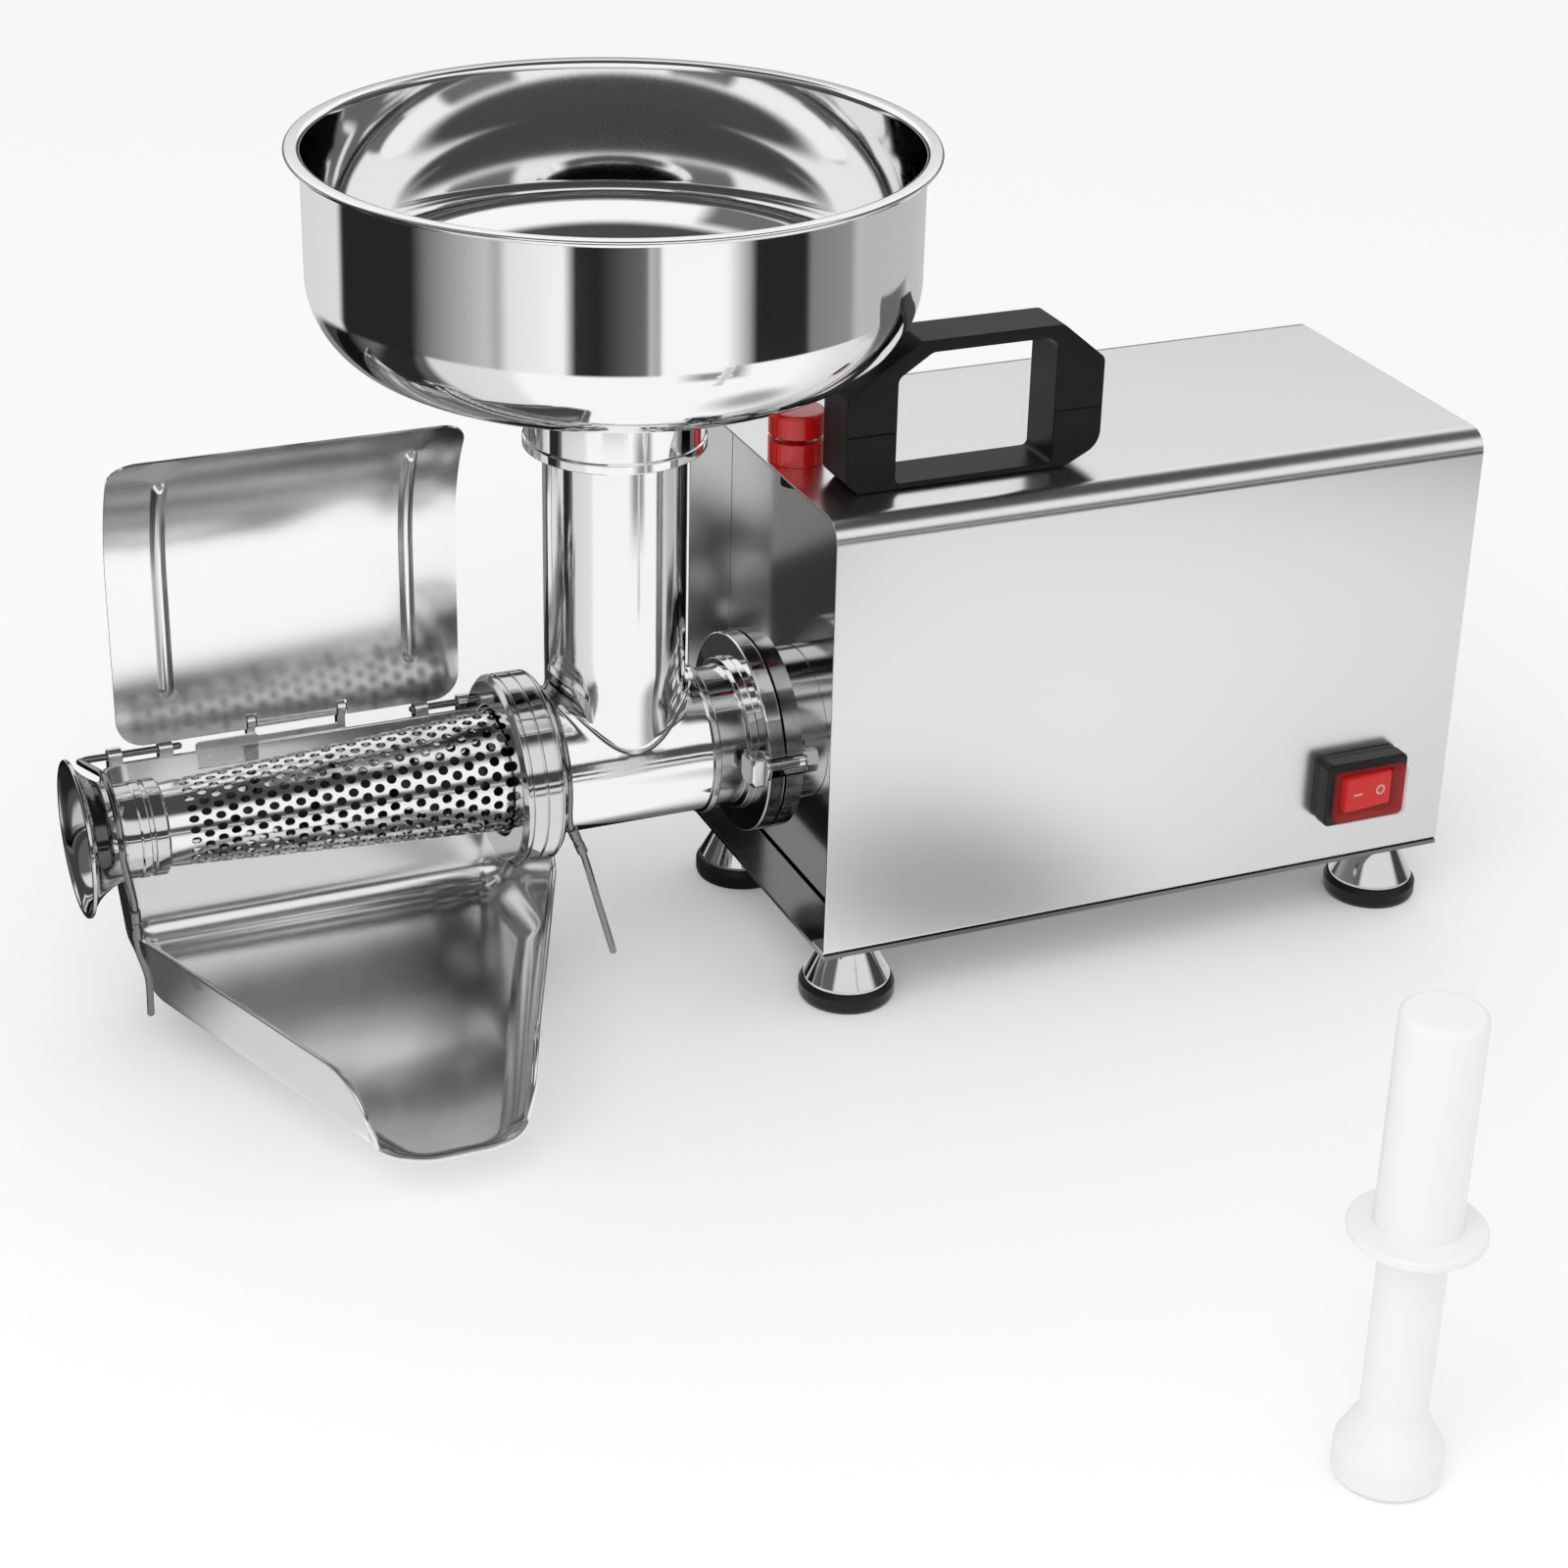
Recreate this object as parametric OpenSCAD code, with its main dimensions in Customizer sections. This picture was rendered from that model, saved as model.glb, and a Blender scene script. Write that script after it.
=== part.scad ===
// Screw press with a conical strainer, a feed pan and a geared motor in a sheet-metal housing.
// Millimetres. +X runs along the barrel to the rear panel, +Y to the splash cover, +Z up.
// Inside the modules x = 0 is the housing's front edge, y = 0 the barrel, z = 0 the base plate's underside.
// placed() moves that to the part's own origin, the middle of its bounding box on the floor.

/* [Housing] */
// Length of the housing along the barrel
housing_l = 306; // [296:1:340]
// Width of the housing
housing_w = 160; // [152:1:180]
// Height of the housing above the base plate's underside
housing_h = 200; // [185:1:220]
// Outer radius of the long top edges
edge_r = 10; // [5:1:16]
// Thickness of the housing's sheet metal
sheet_t = 1.2; // [0.8:0.1:1.6]
// Thickness of the base plate
base_t = 2; // [1.5:0.5:3]
// Width of the folded flanges
fold_w = 12; // [8:1:14]
// Distance from the shell's front edge to the front panel
front_inset = 20; // [19:0.5:21]
// Distance from the shell's rear edge to the rear panel
rear_inset = 1; // [0.5:0.5:3]

/* [Feet] */
// Height of a foot
foot_h = 30; // [24:1:40]
// Radius of a rubber pad
pad_r = 21; // [19:0.5:24]
// Height of a rubber pad
pad_h = 9; // [7:1:12]
// Radius of a foot's cone where it meets the base plate
cone_top_r = 9; // [8:0.5:12]
// Distance of a foot's axis from the housing's edges
foot_in = 20; // [18:0.5:24]

/* [Handle] */
// Length of the carry handle
handle_l = 116.4; // [110:0.2:126]
// Depth of the carry handle
handle_d = 24; // [20:1:26]
// Height of the carry handle above the housing
handle_rise = 62.7; // [56:0.1:63]
// Distance from the shell's front edge to the handle
handle_x = 14.6; // [12:0.2:20]
// Offset of the handle's middle from the barrel's plane
handle_y = -42; // [-46:1:-38]
// Width of a handle leg
leg_w = 22.4; // [18:0.2:26]
// Thickness of the grip bar
grip_t = 5.3; // [4.5:0.1:7]
// Height of the seam between the handle's halves
seam_rise = 25; // [20:1:32]

/* [Reset button] */
// Radius of the push button
button_r = 12; // [9:0.5:12.5]
// Distance of the button's axis from the shell's front edge
button_x = 13; // [12.8:0.1:15]
// Offset of the button from the barrel's plane
button_y = -7; // [-10:1:0]
// Height of the button's fixed collar
collar_rise = 10; // [8:0.5:12]
// Height of the button's cap
cap_rise = 11; // [8:0.5:14]
// Travel of the button
button_travel = 1.5; // [1:0.1:2]

/* [Switch] */
// Width of the mains switch's frame
switch_w = 41; // [38:0.5:44]
// Height of the mains switch's frame
switch_h = 30.3; // [28:0.1:34]
// Thickness of the mains switch's frame
switch_d = 10; // [8:0.5:12]
// Distance of the switch's middle from the shell's rear edge
switch_from_rear = 47.5; // [42:0.5:54]
// Height of the switch's middle
switch_z = 39.9; // [36:0.1:50]
// Depth of the clear splash boot
boot_d = 6; // [5.5:0.5:8]

/* [Press body] */
// Height of the barrel's axis above the base plate's underside
axis_z = 74.1; // [72:0.1:78]
// Outer radius of the barrel
barrel_r = 31; // [30:0.1:31.5]
// Bore radius of the barrel and of the feed tube
bore_r = 27; // [25:0.1:27.5]
// Radius of the two clamped flanges
flange_r = 43.8; // [43:0.1:46]
// Thickness of each clamped flange
flange_t = 7.4; // [6:0.1:8]
// Thickness of the gasket between the flanges
gasket_t = 0.8; // [0.5:0.1:1.5]
// Distance from the shell's front edge back to the gearbox flange's rear face
flange_x = 4; // [3:0.5:5]
// Outer radius of the feed tube
tube_r = 29.9; // [29:0.1:30]
// Distance of the feed tube's axis in front of the shell's edge
tube_x = 65; // [64.5:0.1:66]
// Height of the feed tube's top above the housing
tube_rise = 50; // [44:1:52]
// Outer radius of the gearbox hub
hub_r = 33.5; // [32:0.1:33.8]

/* [Ring nut] */
// Outer radius of the ring nut
nut_r = 40.7; // [39:0.1:42]
// Distance from the shell's front edge to the ring nut's rear face
nut_x = 100; // [99.5:0.1:101]
// Length of the ring nut
nut_l = 19.5; // [17:0.1:21]

/* [Strainer] */
// Outer radius of the cone at its large end
cone_big_r = 26.3; // [25.5:0.1:26.5]
// Outer radius of the cone at its small end
cone_small_r = 17.3; // [16.5:0.1:17.5]
// Length of the cone
cone_l = 151; // [140:1:156]
// Wall thickness of the cone
cone_t = 1; // [0.8:0.1:1.2]
// Radius of a perforation
hole_r = 2.5; // [1.6:0.1:2.7]
// Rows of perforations along the cone
hole_rows = 12; // [8:1:14]
// Perforations around each row
holes_round = 14; // [12:1:15]

/* [Outlet] */
// Radius of the collar behind the bell
end_collar_r = 20; // [19:0.1:20.4]
// Length of the collar behind the bell
end_collar_l = 12; // [10:0.5:14]
// Length of the outlet bell
bell_l = 23; // [20:0.5:26]
// Radius of the bell's rim
bell_rim_r = 32.5; // [30:0.1:34]
// Radius of the bell's bore
bell_bore_r = 14; // [13:0.1:14.5]

/* [Feed pan] */
// Outer radius of the pan's rim
pan_r = 129.3; // [120:0.1:135]
// Width of the pan's rim
rim_w = 6.3; // [5:0.1:8]
// Height of the pan from its underside to its rim
pan_h = 85.9; // [80:0.1:100]
// Height of the pan's underside above the feed tube's top
pan_rise = 4.5; // [4:0.1:8]
// Outer radius of the bend between the pan's floor and wall
pan_bend_r = 35; // [28:1:38]
// Thickness of the pan's metal
pan_t = 1.2; // [1:0.1:1.6]
// Outer radius of the pan's neck
neck_r = 37; // [35:0.1:40]
// Length of the pan's neck
neck_l = 39.5; // [34:0.5:42]

/* [Juice tray] */
// Distance of the tray's middle in front of the shell's edge
tray_x = 184; // [183.5:0.1:184.5]
// Half width of the tray's floor at the back
tray_half = 86; // [84:0.5:86.5]
// Half width of the tray's lip
lip_half = 29.5; // [26:0.5:34]
// Distance of the tray's back wall behind the barrel's plane
tray_back = 53; // [52.8:0.1:53.2]
// Reach of the tray's lip in front of the barrel's plane
tray_reach = 155; // [145:1:165]
// Flare of the tray's side walls, in degrees
tray_flare = 5.8; // [5:0.1:6]
// Height of the tray's back rim
tray_rim_z = 78; // [77:0.1:78.2]
// Thickness of the tray's metal
tray_t = 1.2; // [1:0.1:1.4]
// Radius along the tray's floor edges and corners
tray_r = 14; // [10:1:16]

/* [Splash cover] */
// Width of the splash cover
cover_w = 149; // [140:1:149.5]
// Height of the cover's top above the base plate's underside
cover_top_z = 219; // [205:1:225]
// Thickness of the cover's sheet
cover_t = 1; // [0.8:0.1:1.2]
// Radius of the curl along the cover's top
curl_r = 90; // [80:1:110]
// Radius of the cover's corners
cover_corner_r = 12; // [8:1:16]

/* [Wire clips] */
// Radius of the clips' wire
wire_r = 1.5; // [1.2:0.1:1.6]
// Outer radius of the sleeves on the clips
sleeve_r = 2.6; // [2.3:0.1:3]

/* [Food pusher] */
// Height of the food pusher
pusher_h = 187; // [170:1:210]
// Radius of the pusher's hand guard
guard_r = 24; // [22:0.5:26]
// Radius of the pusher's grip
pusher_grip_r = 15; // [13:0.5:16]
// Radius of the pusher's shaft
pusher_shaft_r = 12; // [10:0.5:12.5]
// Radius of the pusher's foot
pusher_foot_r = 19.5; // [18:0.5:21]
// Distance of the pusher behind the shell's front edge
pusher_x = 62; // [50:1:90]
// Distance of the pusher in front of the barrel's plane
pusher_y = 430; // [400:5:450]

/* [Motor] */
// Outer radius of the motor
motor_r = 50.5; // [48:0.1:50.8]
// Length of the stator core
core_l = 50; // [46:1:52]
// Radius of the motor's shaft
motor_shaft_r = 7.5; // [6.5:0.1:7.8]
// Radius of the rotor
rotor_r = 27.5; // [25:0.1:27.6]

/* [Gearbox] */
// Distance between the gearbox's two axes
gear_centres = 48; // [46:0.5:50]
// Wall thickness of the gearbox
case_t = 4; // [3.5:0.1:4.5]
// Length of the gearbox case behind the front panel
case_l = 58.6; // [58.4:0.1:59]
// Radius of the output shaft
out_shaft_r = 10; // [9.6:0.1:10]
// Radius of the intermediate shaft
mid_shaft_r = 5; // [4.6:0.1:5]

/* [Hidden] */

$fn = 64;
// Facets of rounded hull corners
corner_fn = 32;
// Overrun of every cut
cut = 1;
// Gap between a running shaft and its bore
run_gap = 0.05;
// Gap between fixed pieces that are slid together
fit_gap = 0.2;

// Derived heights and places of the housing
inner_w = housing_w - 2 * sheet_t;
panel_z = base_t + sheet_t + fit_gap;
panel_x = front_inset;
case_x = panel_x + sheet_t + fit_gap;
rear_x = housing_l - rear_inset - sheet_t;
fold_r = 2;
base_screw_r = 2;
base_screw_head_r = 3.6;
base_screw_head_h = 1.8;
base_screw_l = 7;
base_screw_shares = [0.2, 0.5, 0.8];
rear_screw_in = 8;
rear_screw_z_shares = [0.08, 0.92];
rear_tab_w = 15;
rear_screw_r = 2;
rear_screw_head_r = 4;
rear_screw_head_h = 2.2;
rear_screw_l = 8;
vent_w = 3.2;
vent_l = 38;
vent_pitch = 9;
vent_count = 9;
vent_columns = [-1, 1];
vent_column_y = 24;
vent_z = 120;

// Feet
pad_ledge = 2;
cone_base_r = pad_r - pad_ledge;
foot_bolt_r = 3;
foot_bolt_in = 12;
foot_head_r = 6;
foot_head_h = sheet_t - fit_gap;
pad_edge_r = 1.6;

// Handle
window_foot_t = 2.6;
chamfer_x = 20;
chamfer_z = 16.7;
front_chamfer_x = 32.4;
front_chamfer_z = 20.7;
window_chamfer_x = 15;
window_chamfer_z = 9.6;
foot_chamfer = 5.5;
toe_r = 16;
handle_screw_r = 2;
handle_screw_in = 11.2;
handle_screw_up = 12;
handle_screw_head_r = 3.6;
handle_screw_head_h = 2;

// Reset button
groove_h = 2;
stem_r = 4;
stem_down = 9;
cap_wall = 2;
collar_bore_r = stem_r + run_gap;
sheet_hole_r = 6.5;
switch_neck_r = 6.3;
reset_body_r = 6.4;
reset_body_h = 10;

// Mains switch
switch_x = housing_l - switch_from_rear;
switch_corner_r = 3;
switch_neck_w = 31;
switch_neck_h = 21;
switch_neck_d = 27;
rocker_w = 25;
rocker_h = 16.5;
rocker_d = 7;
rocker_rise = 1.6;
rocker_tilt = 6;
rocker_pivot_d = 3;
rocker_gap = 1;
rocker_pin_r = 1.2;
rocker_pin_in = 1.5;
well_d = 8.6;
boot_w = 36;
boot_h = 24.6;
boot_t = 1;

// Cable gland
gland_y = 45;
gland_z = 35;
gland_bore_r = 4.2;
gland_neck_r = 7.5;
gland_hex_r = 10.4;
gland_hex_h = 5;
gland_dome_r = 9;
gland_dome_l = 14;
gland_neck_l = 14;
gland_nut_r = 10.8;
gland_nut_h = 4;

// Press body and its clamp
gasket_x = -(flange_t + gasket_t - flange_x);
press_flange_x = gasket_x - flange_t;
shoulder_l = 4;
shoulder_r = 33;
waist_l = 12.9;
waist_r = 30;
lip_l = 3.5;
lip_r = 32.5;
thread_r = 33;
thread_l = 9;
barrel_front_x = -(nut_x + thread_l);
slot_y = 40;
slot_w = 9;
bolt_r = 3;
bolt_head = 13;
bolt_head_h = 7;
washer_r = slot_y - shoulder_r - fit_gap;
washer_t = 2;
clamp_nut_r = 5.7;
clamp_nut_h = 5.5;
clamp_washer_r = 6;
clamp_washer_t = 1.2;
slot_z = 2;
tube_z = housing_h + tube_rise;

// Ring nut
nut_lip_r = 28;
nut_lip_t = 8.3;
nut_chamfer = 2;
nut_groove_t = 1.2;
nut_groove_d = 1;
nut_groove_shares = [0.2, 0.52, 0.84];
nut_front_x = -(nut_x + nut_l);

// Strainer
cone_flange_t = 2;
cone_flange_r = 32.8;
cone_x = barrel_front_x - cone_flange_t;
cone_end_x = cone_x - cone_l;
cone_solid_big = 12;
cone_solid_small = 6;

// Outlet
end_collar_x = cone_end_x - end_collar_l;
bell_x = end_collar_x - bell_l;
bell_neck_r = 19.6;
bell_neck_l = 5;
bell_cone_r = 22;
bell_wall = 1.6;

// Press screw
screw_root_r = 9;
screw_tip_r = 8;
screw_gap = 1;
screw_hub_r = 16;
screw_hub_l = 14;
tang = 12;
tang_l = 16;
tang_gap = 0.1;
screw_rear_x = -6;
screw_over = 4;
screw_front_x = cone_end_x - screw_over;
flight_pitch = 33;
flight_t = 4;
flight_rings = 18;
flight_rear_x = screw_rear_x - screw_hub_l + flight_t / 2;
flight_front_x = cone_end_x + cone_solid_small;

// Feed pan
pan_wall_r = pan_r - rim_w;
pan_floor_z = tube_z + pan_rise;
pan_z = pan_floor_z + pan_h;
pan_rim_t = 2.4;
neck_gap = 0.2;
neck_bore_r = tube_r + neck_gap;
neck_step_h = 4;
neck_step = 1;
neck_step_r = neck_r + neck_step;

// Juice tray
tray_floor_z = -9;
tray_drop = 6;
tray_drop_shares = [0, 0.25, 1];
tray_top_z = 90;
tray_mid_y = -4;
tray_front_y = -140;
lip_round_r = 27;
rim_knee_z = 25;
rim_front_z = 20;
rim_front_y = -114;
rim_end_z = -9;
rim_end_y = -138;
rim_back_y = 50;
rim_steps = 6;
tongue_w = 27;
tongue_x = 220.5;
tongue_rise = 5;

// Hinge and splash cover
hinge_y = 54;
hinge_z = 88;
hinge_x = 190;
hinge_rod_r = 1.5;
knuckle_r = 3;
knuckle_l = 35;
ear_gap = 0.5;
ear_t = 3.5;
ear_r = 3.4;
bracket_t = 1.2;
bracket_h = 18;
rod_over = 2;
cover_mid_x = 192.5;
cover_y = hinge_y - knuckle_r;
cover_low_drop = 2.2;
cover_low_z = hinge_z - cover_low_drop;
curl_start_z = 160;
curl_steps = 10;
rib_w = 5;
rib_d = 1.6;
rib_low_z = 109;
rib_high_z = 203;
rib_offset = 52.5;

// Wire clips
clip_out = 2.6;
clip_rise = 3;
clip_y = tray_back + clip_out;
clip_z = tray_rim_z + clip_rise;
clip_gap = 0.5;
clip_sides = 10;
clip_arc_steps = 14;
lug_r = 3.2;
lug_l = 6;
lug_gap = 0.35;
lug_down = 9;
left_in = 14;
left_x = bell_x + left_in;
left_shift = 3;
left_end_shift = 6.5;
left_end_z = 2;
left_lug_shares = [0.35, 0.85];
left_rod_l = 43;
left_sleeve_z = 38;
right_in = 2.6;
right_x = nut_x - right_in;
right_end_z = -6;
right_bend_z = 33;
right_bend_shift = 12.4;
right_end_shift = 20.4;
right_lug_shares = [0.42, 0.9];
right_rod_l = 41;
right_sleeve_z = 43;
sleeve_l = 13;
clip_wrap_r_left = 24.8;
clip_wrap_r_right = barrel_r + wire_r + clip_gap;

// Food pusher
pusher_foot_h = 27;
pusher_edge = 3;
guard_z = 102;
guard_t = 4;

// Gearbox
case_r = 44;
case_in_r = case_r - case_t;
case_front_t = 5.6;
case_boss_r = 14;
case_boss_l = 4;
mid_bearing_r = 11;
mid_bearing_w = 8;
mid_seat_t = 2;
cover_plate_t = 5.7;
case_foot_x = 34;
case_foot_l = 36;
case_foot_half = 20;
out_bearing_r = 20;
out_bearing_w = 10;
out_bearing_x = flange_x;
out_bearing_gap = 1;
seal_l = 6.4;
out_gear_in = 12.6;
out_gear_x = case_x + out_gear_in;
out_gear_w = 14;
mid_pinion_in = 11.6;
mid_pinion_x = case_x + mid_pinion_in;
mid_pinion_w = 16;
mid_gear_in = 34.6;
mid_gear_x = case_x + mid_gear_in;
mid_gear_w = 10;
motor_pinion_in = 32.6;
motor_pinion_x = case_x + motor_pinion_in;
motor_pinion_w = 14;
out_shaft_in = 28.6;
out_shaft_end_x = case_x + out_shaft_in;
pressure = 20;
addendum_share = 0.8;
dedendum_share = 1.25;
backlash_share = 0.12;
out_teeth = 36;
mid_pinion_teeth = 12;
mid_gear_teeth = 48;
motor_teeth = 16;
output_module = 2 * gear_centres / (out_teeth + mid_pinion_teeth);
motor_module = 2 * gear_centres / (motor_teeth + mid_gear_teeth);
mid_hub_r = 8;

// Motor
bell_front_x = case_x + case_l + cover_plate_t + fit_gap;
motor_bell_l = 26;
motor_bell_t = 3;
core_x = bell_front_x + motor_bell_l;
air_gap = 0.5;
stator_bore_r = rotor_r + air_gap;
winding_in_r = 30.5;
winding_out_r = 45;
winding_l = 13;
bearing_seat_r = 18;
bearing_r = 15;
bearing_w = 9;
bearing_in = 2;
shaft_hole_r = 9;
rotor_side = 1;
fan_x = core_x + core_l + motor_bell_l + motor_bell_t;
fan_hub_r = 12;
fan_hub_l = 12;
fan_r = 41;
fan_blade_t = 1.6;
fan_blades = 8;
shaft_over = 2;
shaft_front_x = motor_pinion_x - tang_gap;
shaft_rear_x = fan_x + fan_hub_l + shaft_over;
saddle_l = 24;
saddle_half = 24;
saddle_top = 34;
saddle_gap = 0.2;
capacitor_r = 16;
capacitor_l = 70;
capacitor_side = 7;
capacitor_y = inner_w / 2 - capacitor_r - capacitor_side;
capacitor_x = 110;
strap_t = 1.5;
strap_l = 10;
strap_x = 140;
strap_foot = 4;
terminal_l = 40;
terminal_w = 20;
terminal_h = 18;
terminal_behind = 15.8;
terminal_x = rear_x - terminal_behind - terminal_l;
terminal_y = 20;
terminal_hole_r = 2.2;
terminal_holes = 4;

// Bounding box of the whole part, which sets its origin
x_min = bell_x;
x_max = housing_l - rear_inset + gland_hex_h + gland_dome_l;
y_min = -pusher_y - guard_r;
y_max = pan_r;

module placed() translate([-(x_min + x_max) / 2, -(y_min + y_max) / 2, foot_h]) children();

// Puts children that stand on z = 0 on the barrel's axis at x, pointing to +X
module on_axis(x, up = 0) translate([x, 0, axis_z + up]) rotate([0, 90, 0]) children();

// A ring around the barrel's axis from x0 to x1
module ring_x(x0, x1, r_out, r_in, up = 0) {
    on_axis(x0, up) difference() {
        cylinder(r = r_out, h = x1 - x0);
        translate([0, 0, -cut]) cylinder(r = r_in, h = x1 - x0 + 2 * cut);
    }
}

// A rod around the barrel's axis from x0 to x1
module rod_x(x0, x1, r, up = 0) on_axis(x0, up) cylinder(r = r, h = x1 - x0);

// A body turned around the barrel's axis from an outline of [radius, x] points
module turned(outline) on_axis(0) rotate_extrude() polygon(outline);

// A flat outline in Y and Z, extruded along X from x0 to x1
module along_x(x0, x1) translate([x0, 0, 0]) rotate([90, 0, 90]) linear_extrude(x1 - x0) children();

// A flat outline in X and Z, extruded along Y from y0 to y1
module along_y(y0, y1) translate([0, y1, 0]) rotate([90, 0, 0]) linear_extrude(y1 - y0) children();

// An upright rectangle with rounded corners, standing on y = low
module rounded_sheet(w, low, high, r_top, r_low) {
    translate([-w / 2, low + r_low]) square([w, high - low - r_top - r_low]);
    translate([r_top - w / 2, low + r_low]) square([w - 2 * r_top, high - low - r_low]);
    translate([r_low - w / 2, low]) square([w - 2 * r_low, high - low - r_top]);
    for (side = [-1, 1]) {
        translate([side * (w / 2 - r_top), high - r_top]) circle(r_top);
        translate([side * (w / 2 - r_low), low + r_low]) circle(r_low);
    }
}

// Points of an arc, both ends included
function arc(cx, cy, r, a0, a1, steps) =
    [for (i = [0 : steps]) let (a = a0 + (a1 - a0) * i / steps) [cx + r * cos(a), cy + r * sin(a)]];

// Places of the four feet
function foot_places() =
    [for (x = [foot_in, housing_l - foot_in], y = [-1, 1]) [x, y * (housing_w / 2 - foot_in)]];

module at_feet() for (p = foot_places()) translate([p[0], p[1], 0]) children();

module at_base_screws() for (s = base_screw_shares, side = [-1, 1])
    translate([s * housing_l, side * (inner_w - fold_w) / 2, 0]) children();

module at_rear_screws() for (s = rear_screw_z_shares, side = [-1, 1])
    translate([0, side * (inner_w / 2 - rear_screw_in), base_t + s * (housing_h - base_t)])
        rotate([0, 90, 0]) children();

function handle_screw_places() =
    [for (x = [handle_x + handle_screw_in, handle_x + handle_l - handle_screw_in]) [x, handle_y]];

module at_handle_screws() for (p = handle_screw_places()) translate([p[0], p[1], housing_h]) children();

// Housing

module housing_shell() placed() color("gainsboro") difference() {
    union() {
        difference() {
            along_x(0, housing_l) rounded_sheet(housing_w, base_t, housing_h, edge_r, fold_r);
            along_x(-cut, housing_l + cut)
                rounded_sheet(inner_w, base_t + sheet_t, housing_h - sheet_t,
                    edge_r - sheet_t, fold_r - sheet_t);
            translate([-cut, -inner_w / 2 + fold_w, base_t - cut])
                cube([housing_l + 2 * cut, inner_w - 2 * fold_w, sheet_t + 2 * cut]);
        }
        for (s = rear_screw_z_shares, side = [-1, 1])
            translate([rear_x - sheet_t, side * (inner_w - rear_tab_w + sheet_t) / 2 - rear_tab_w / 2,
                base_t + s * (housing_h - base_t) - rear_tab_w / 2])
                cube([sheet_t, rear_tab_w, rear_tab_w]);
    }
    translate([button_x, button_y, housing_h - sheet_t - cut])
        cylinder(r = sheet_hole_r, h = sheet_t + 2 * cut);
    at_handle_screws() translate([0, 0, -sheet_t - cut])
        cylinder(r = handle_screw_r + fit_gap, h = sheet_t + 2 * cut);
    at_base_screws() cylinder(r = base_screw_r + fit_gap, h = base_t + sheet_t + cut);
    translate([rear_x - sheet_t - cut, 0, 0]) at_rear_screws()
        cylinder(r = rear_screw_r + fit_gap, h = sheet_t + 2 * cut);
    translate([switch_x - switch_neck_w / 2 - fit_gap, -housing_w / 2 - cut,
        switch_z - switch_neck_h / 2 - fit_gap])
        cube([switch_neck_w + 2 * fit_gap, sheet_t + 2 * cut, switch_neck_h + 2 * fit_gap]);
}

module panel_outline() rounded_sheet(inner_w - 2 * fit_gap, panel_z, housing_h - sheet_t - fit_gap,
    edge_r - sheet_t - fit_gap, fold_r - sheet_t);

module front_panel() placed() color("dimgray") {
    side_y = inner_w / 2 - fit_gap;
    difference() {
        along_x(panel_x, panel_x + sheet_t) panel_outline();
        rod_x(panel_x - cut, panel_x + sheet_t + cut, hub_r + fit_gap);
    }
    for (side = [-1, 1])
        translate([panel_x + sheet_t, side * (side_y - sheet_t / 2) - sheet_t / 2, panel_z + fold_r])
            cube([fold_w - sheet_t, sheet_t, housing_h - panel_z - edge_r - fold_r]);
}

module rear_panel() placed() color("gainsboro") difference() {
    along_x(rear_x, rear_x + sheet_t) panel_outline();
    translate([rear_x - cut, gland_y, gland_z]) rotate([0, 90, 0])
        cylinder(r = gland_neck_r + fit_gap, h = sheet_t + 2 * cut);
    translate([rear_x - cut, 0, 0]) at_rear_screws()
        cylinder(r = rear_screw_r + fit_gap, h = sheet_t + 2 * cut);
    for (c = vent_columns, i = [0 : vent_count - 1])
        translate([rear_x - cut, c * vent_column_y - vent_l / 2,
            vent_z + (i - (vent_count - 1) / 2) * vent_pitch])
            cube([sheet_t + 2 * cut, vent_l, vent_w]);
}

module base_plate() placed() color("silver") difference() {
    translate([0, -housing_w / 2, 0]) cube([housing_l, housing_w, base_t]);
    at_feet() translate([0, 0, -cut]) cylinder(r = foot_bolt_r + fit_gap, h = base_t + 2 * cut);
    at_base_screws() translate([0, 0, -cut]) cylinder(r = base_screw_r + fit_gap, h = base_t + 2 * cut);
}

module base_screws() placed() color("silver") at_base_screws() {
    translate([0, 0, -base_screw_head_h]) cylinder(r = base_screw_head_r, h = base_screw_head_h);
    cylinder(r = base_screw_r, h = base_screw_l);
}

module rear_screws() placed() color("silver") translate([rear_x + sheet_t, 0, 0]) at_rear_screws() {
    cylinder(r = rear_screw_head_r, h = rear_screw_head_h);
    translate([0, 0, -rear_screw_l]) cylinder(r = rear_screw_r, h = rear_screw_l);
}

// Feet

module foot_cones() placed() color("silver") at_feet() difference() {
    rotate_extrude() polygon([[0, pad_h - foot_h], [cone_base_r, pad_h - foot_h], [cone_top_r, 0], [0, 0]]);
    translate([0, 0, -foot_bolt_in - fit_gap]) cylinder(r = foot_bolt_r + fit_gap, h = foot_bolt_in + cut);
}

module foot_pads() placed() color("black") at_feet() rotate_extrude()
    polygon([[0, -foot_h], [pad_r - pad_edge_r, -foot_h], [pad_r, pad_edge_r - foot_h],
        [pad_r, pad_h - foot_h - pad_edge_r], [pad_r - pad_edge_r, pad_h - foot_h], [0, pad_h - foot_h]]);

module foot_bolts() placed() color("silver") at_feet() {
    translate([0, 0, -foot_bolt_in]) cylinder(r = foot_bolt_r, h = foot_bolt_in + base_t);
    translate([0, 0, base_t]) cylinder(r = foot_head_r, h = foot_head_h);
}

// Carry handle

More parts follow.
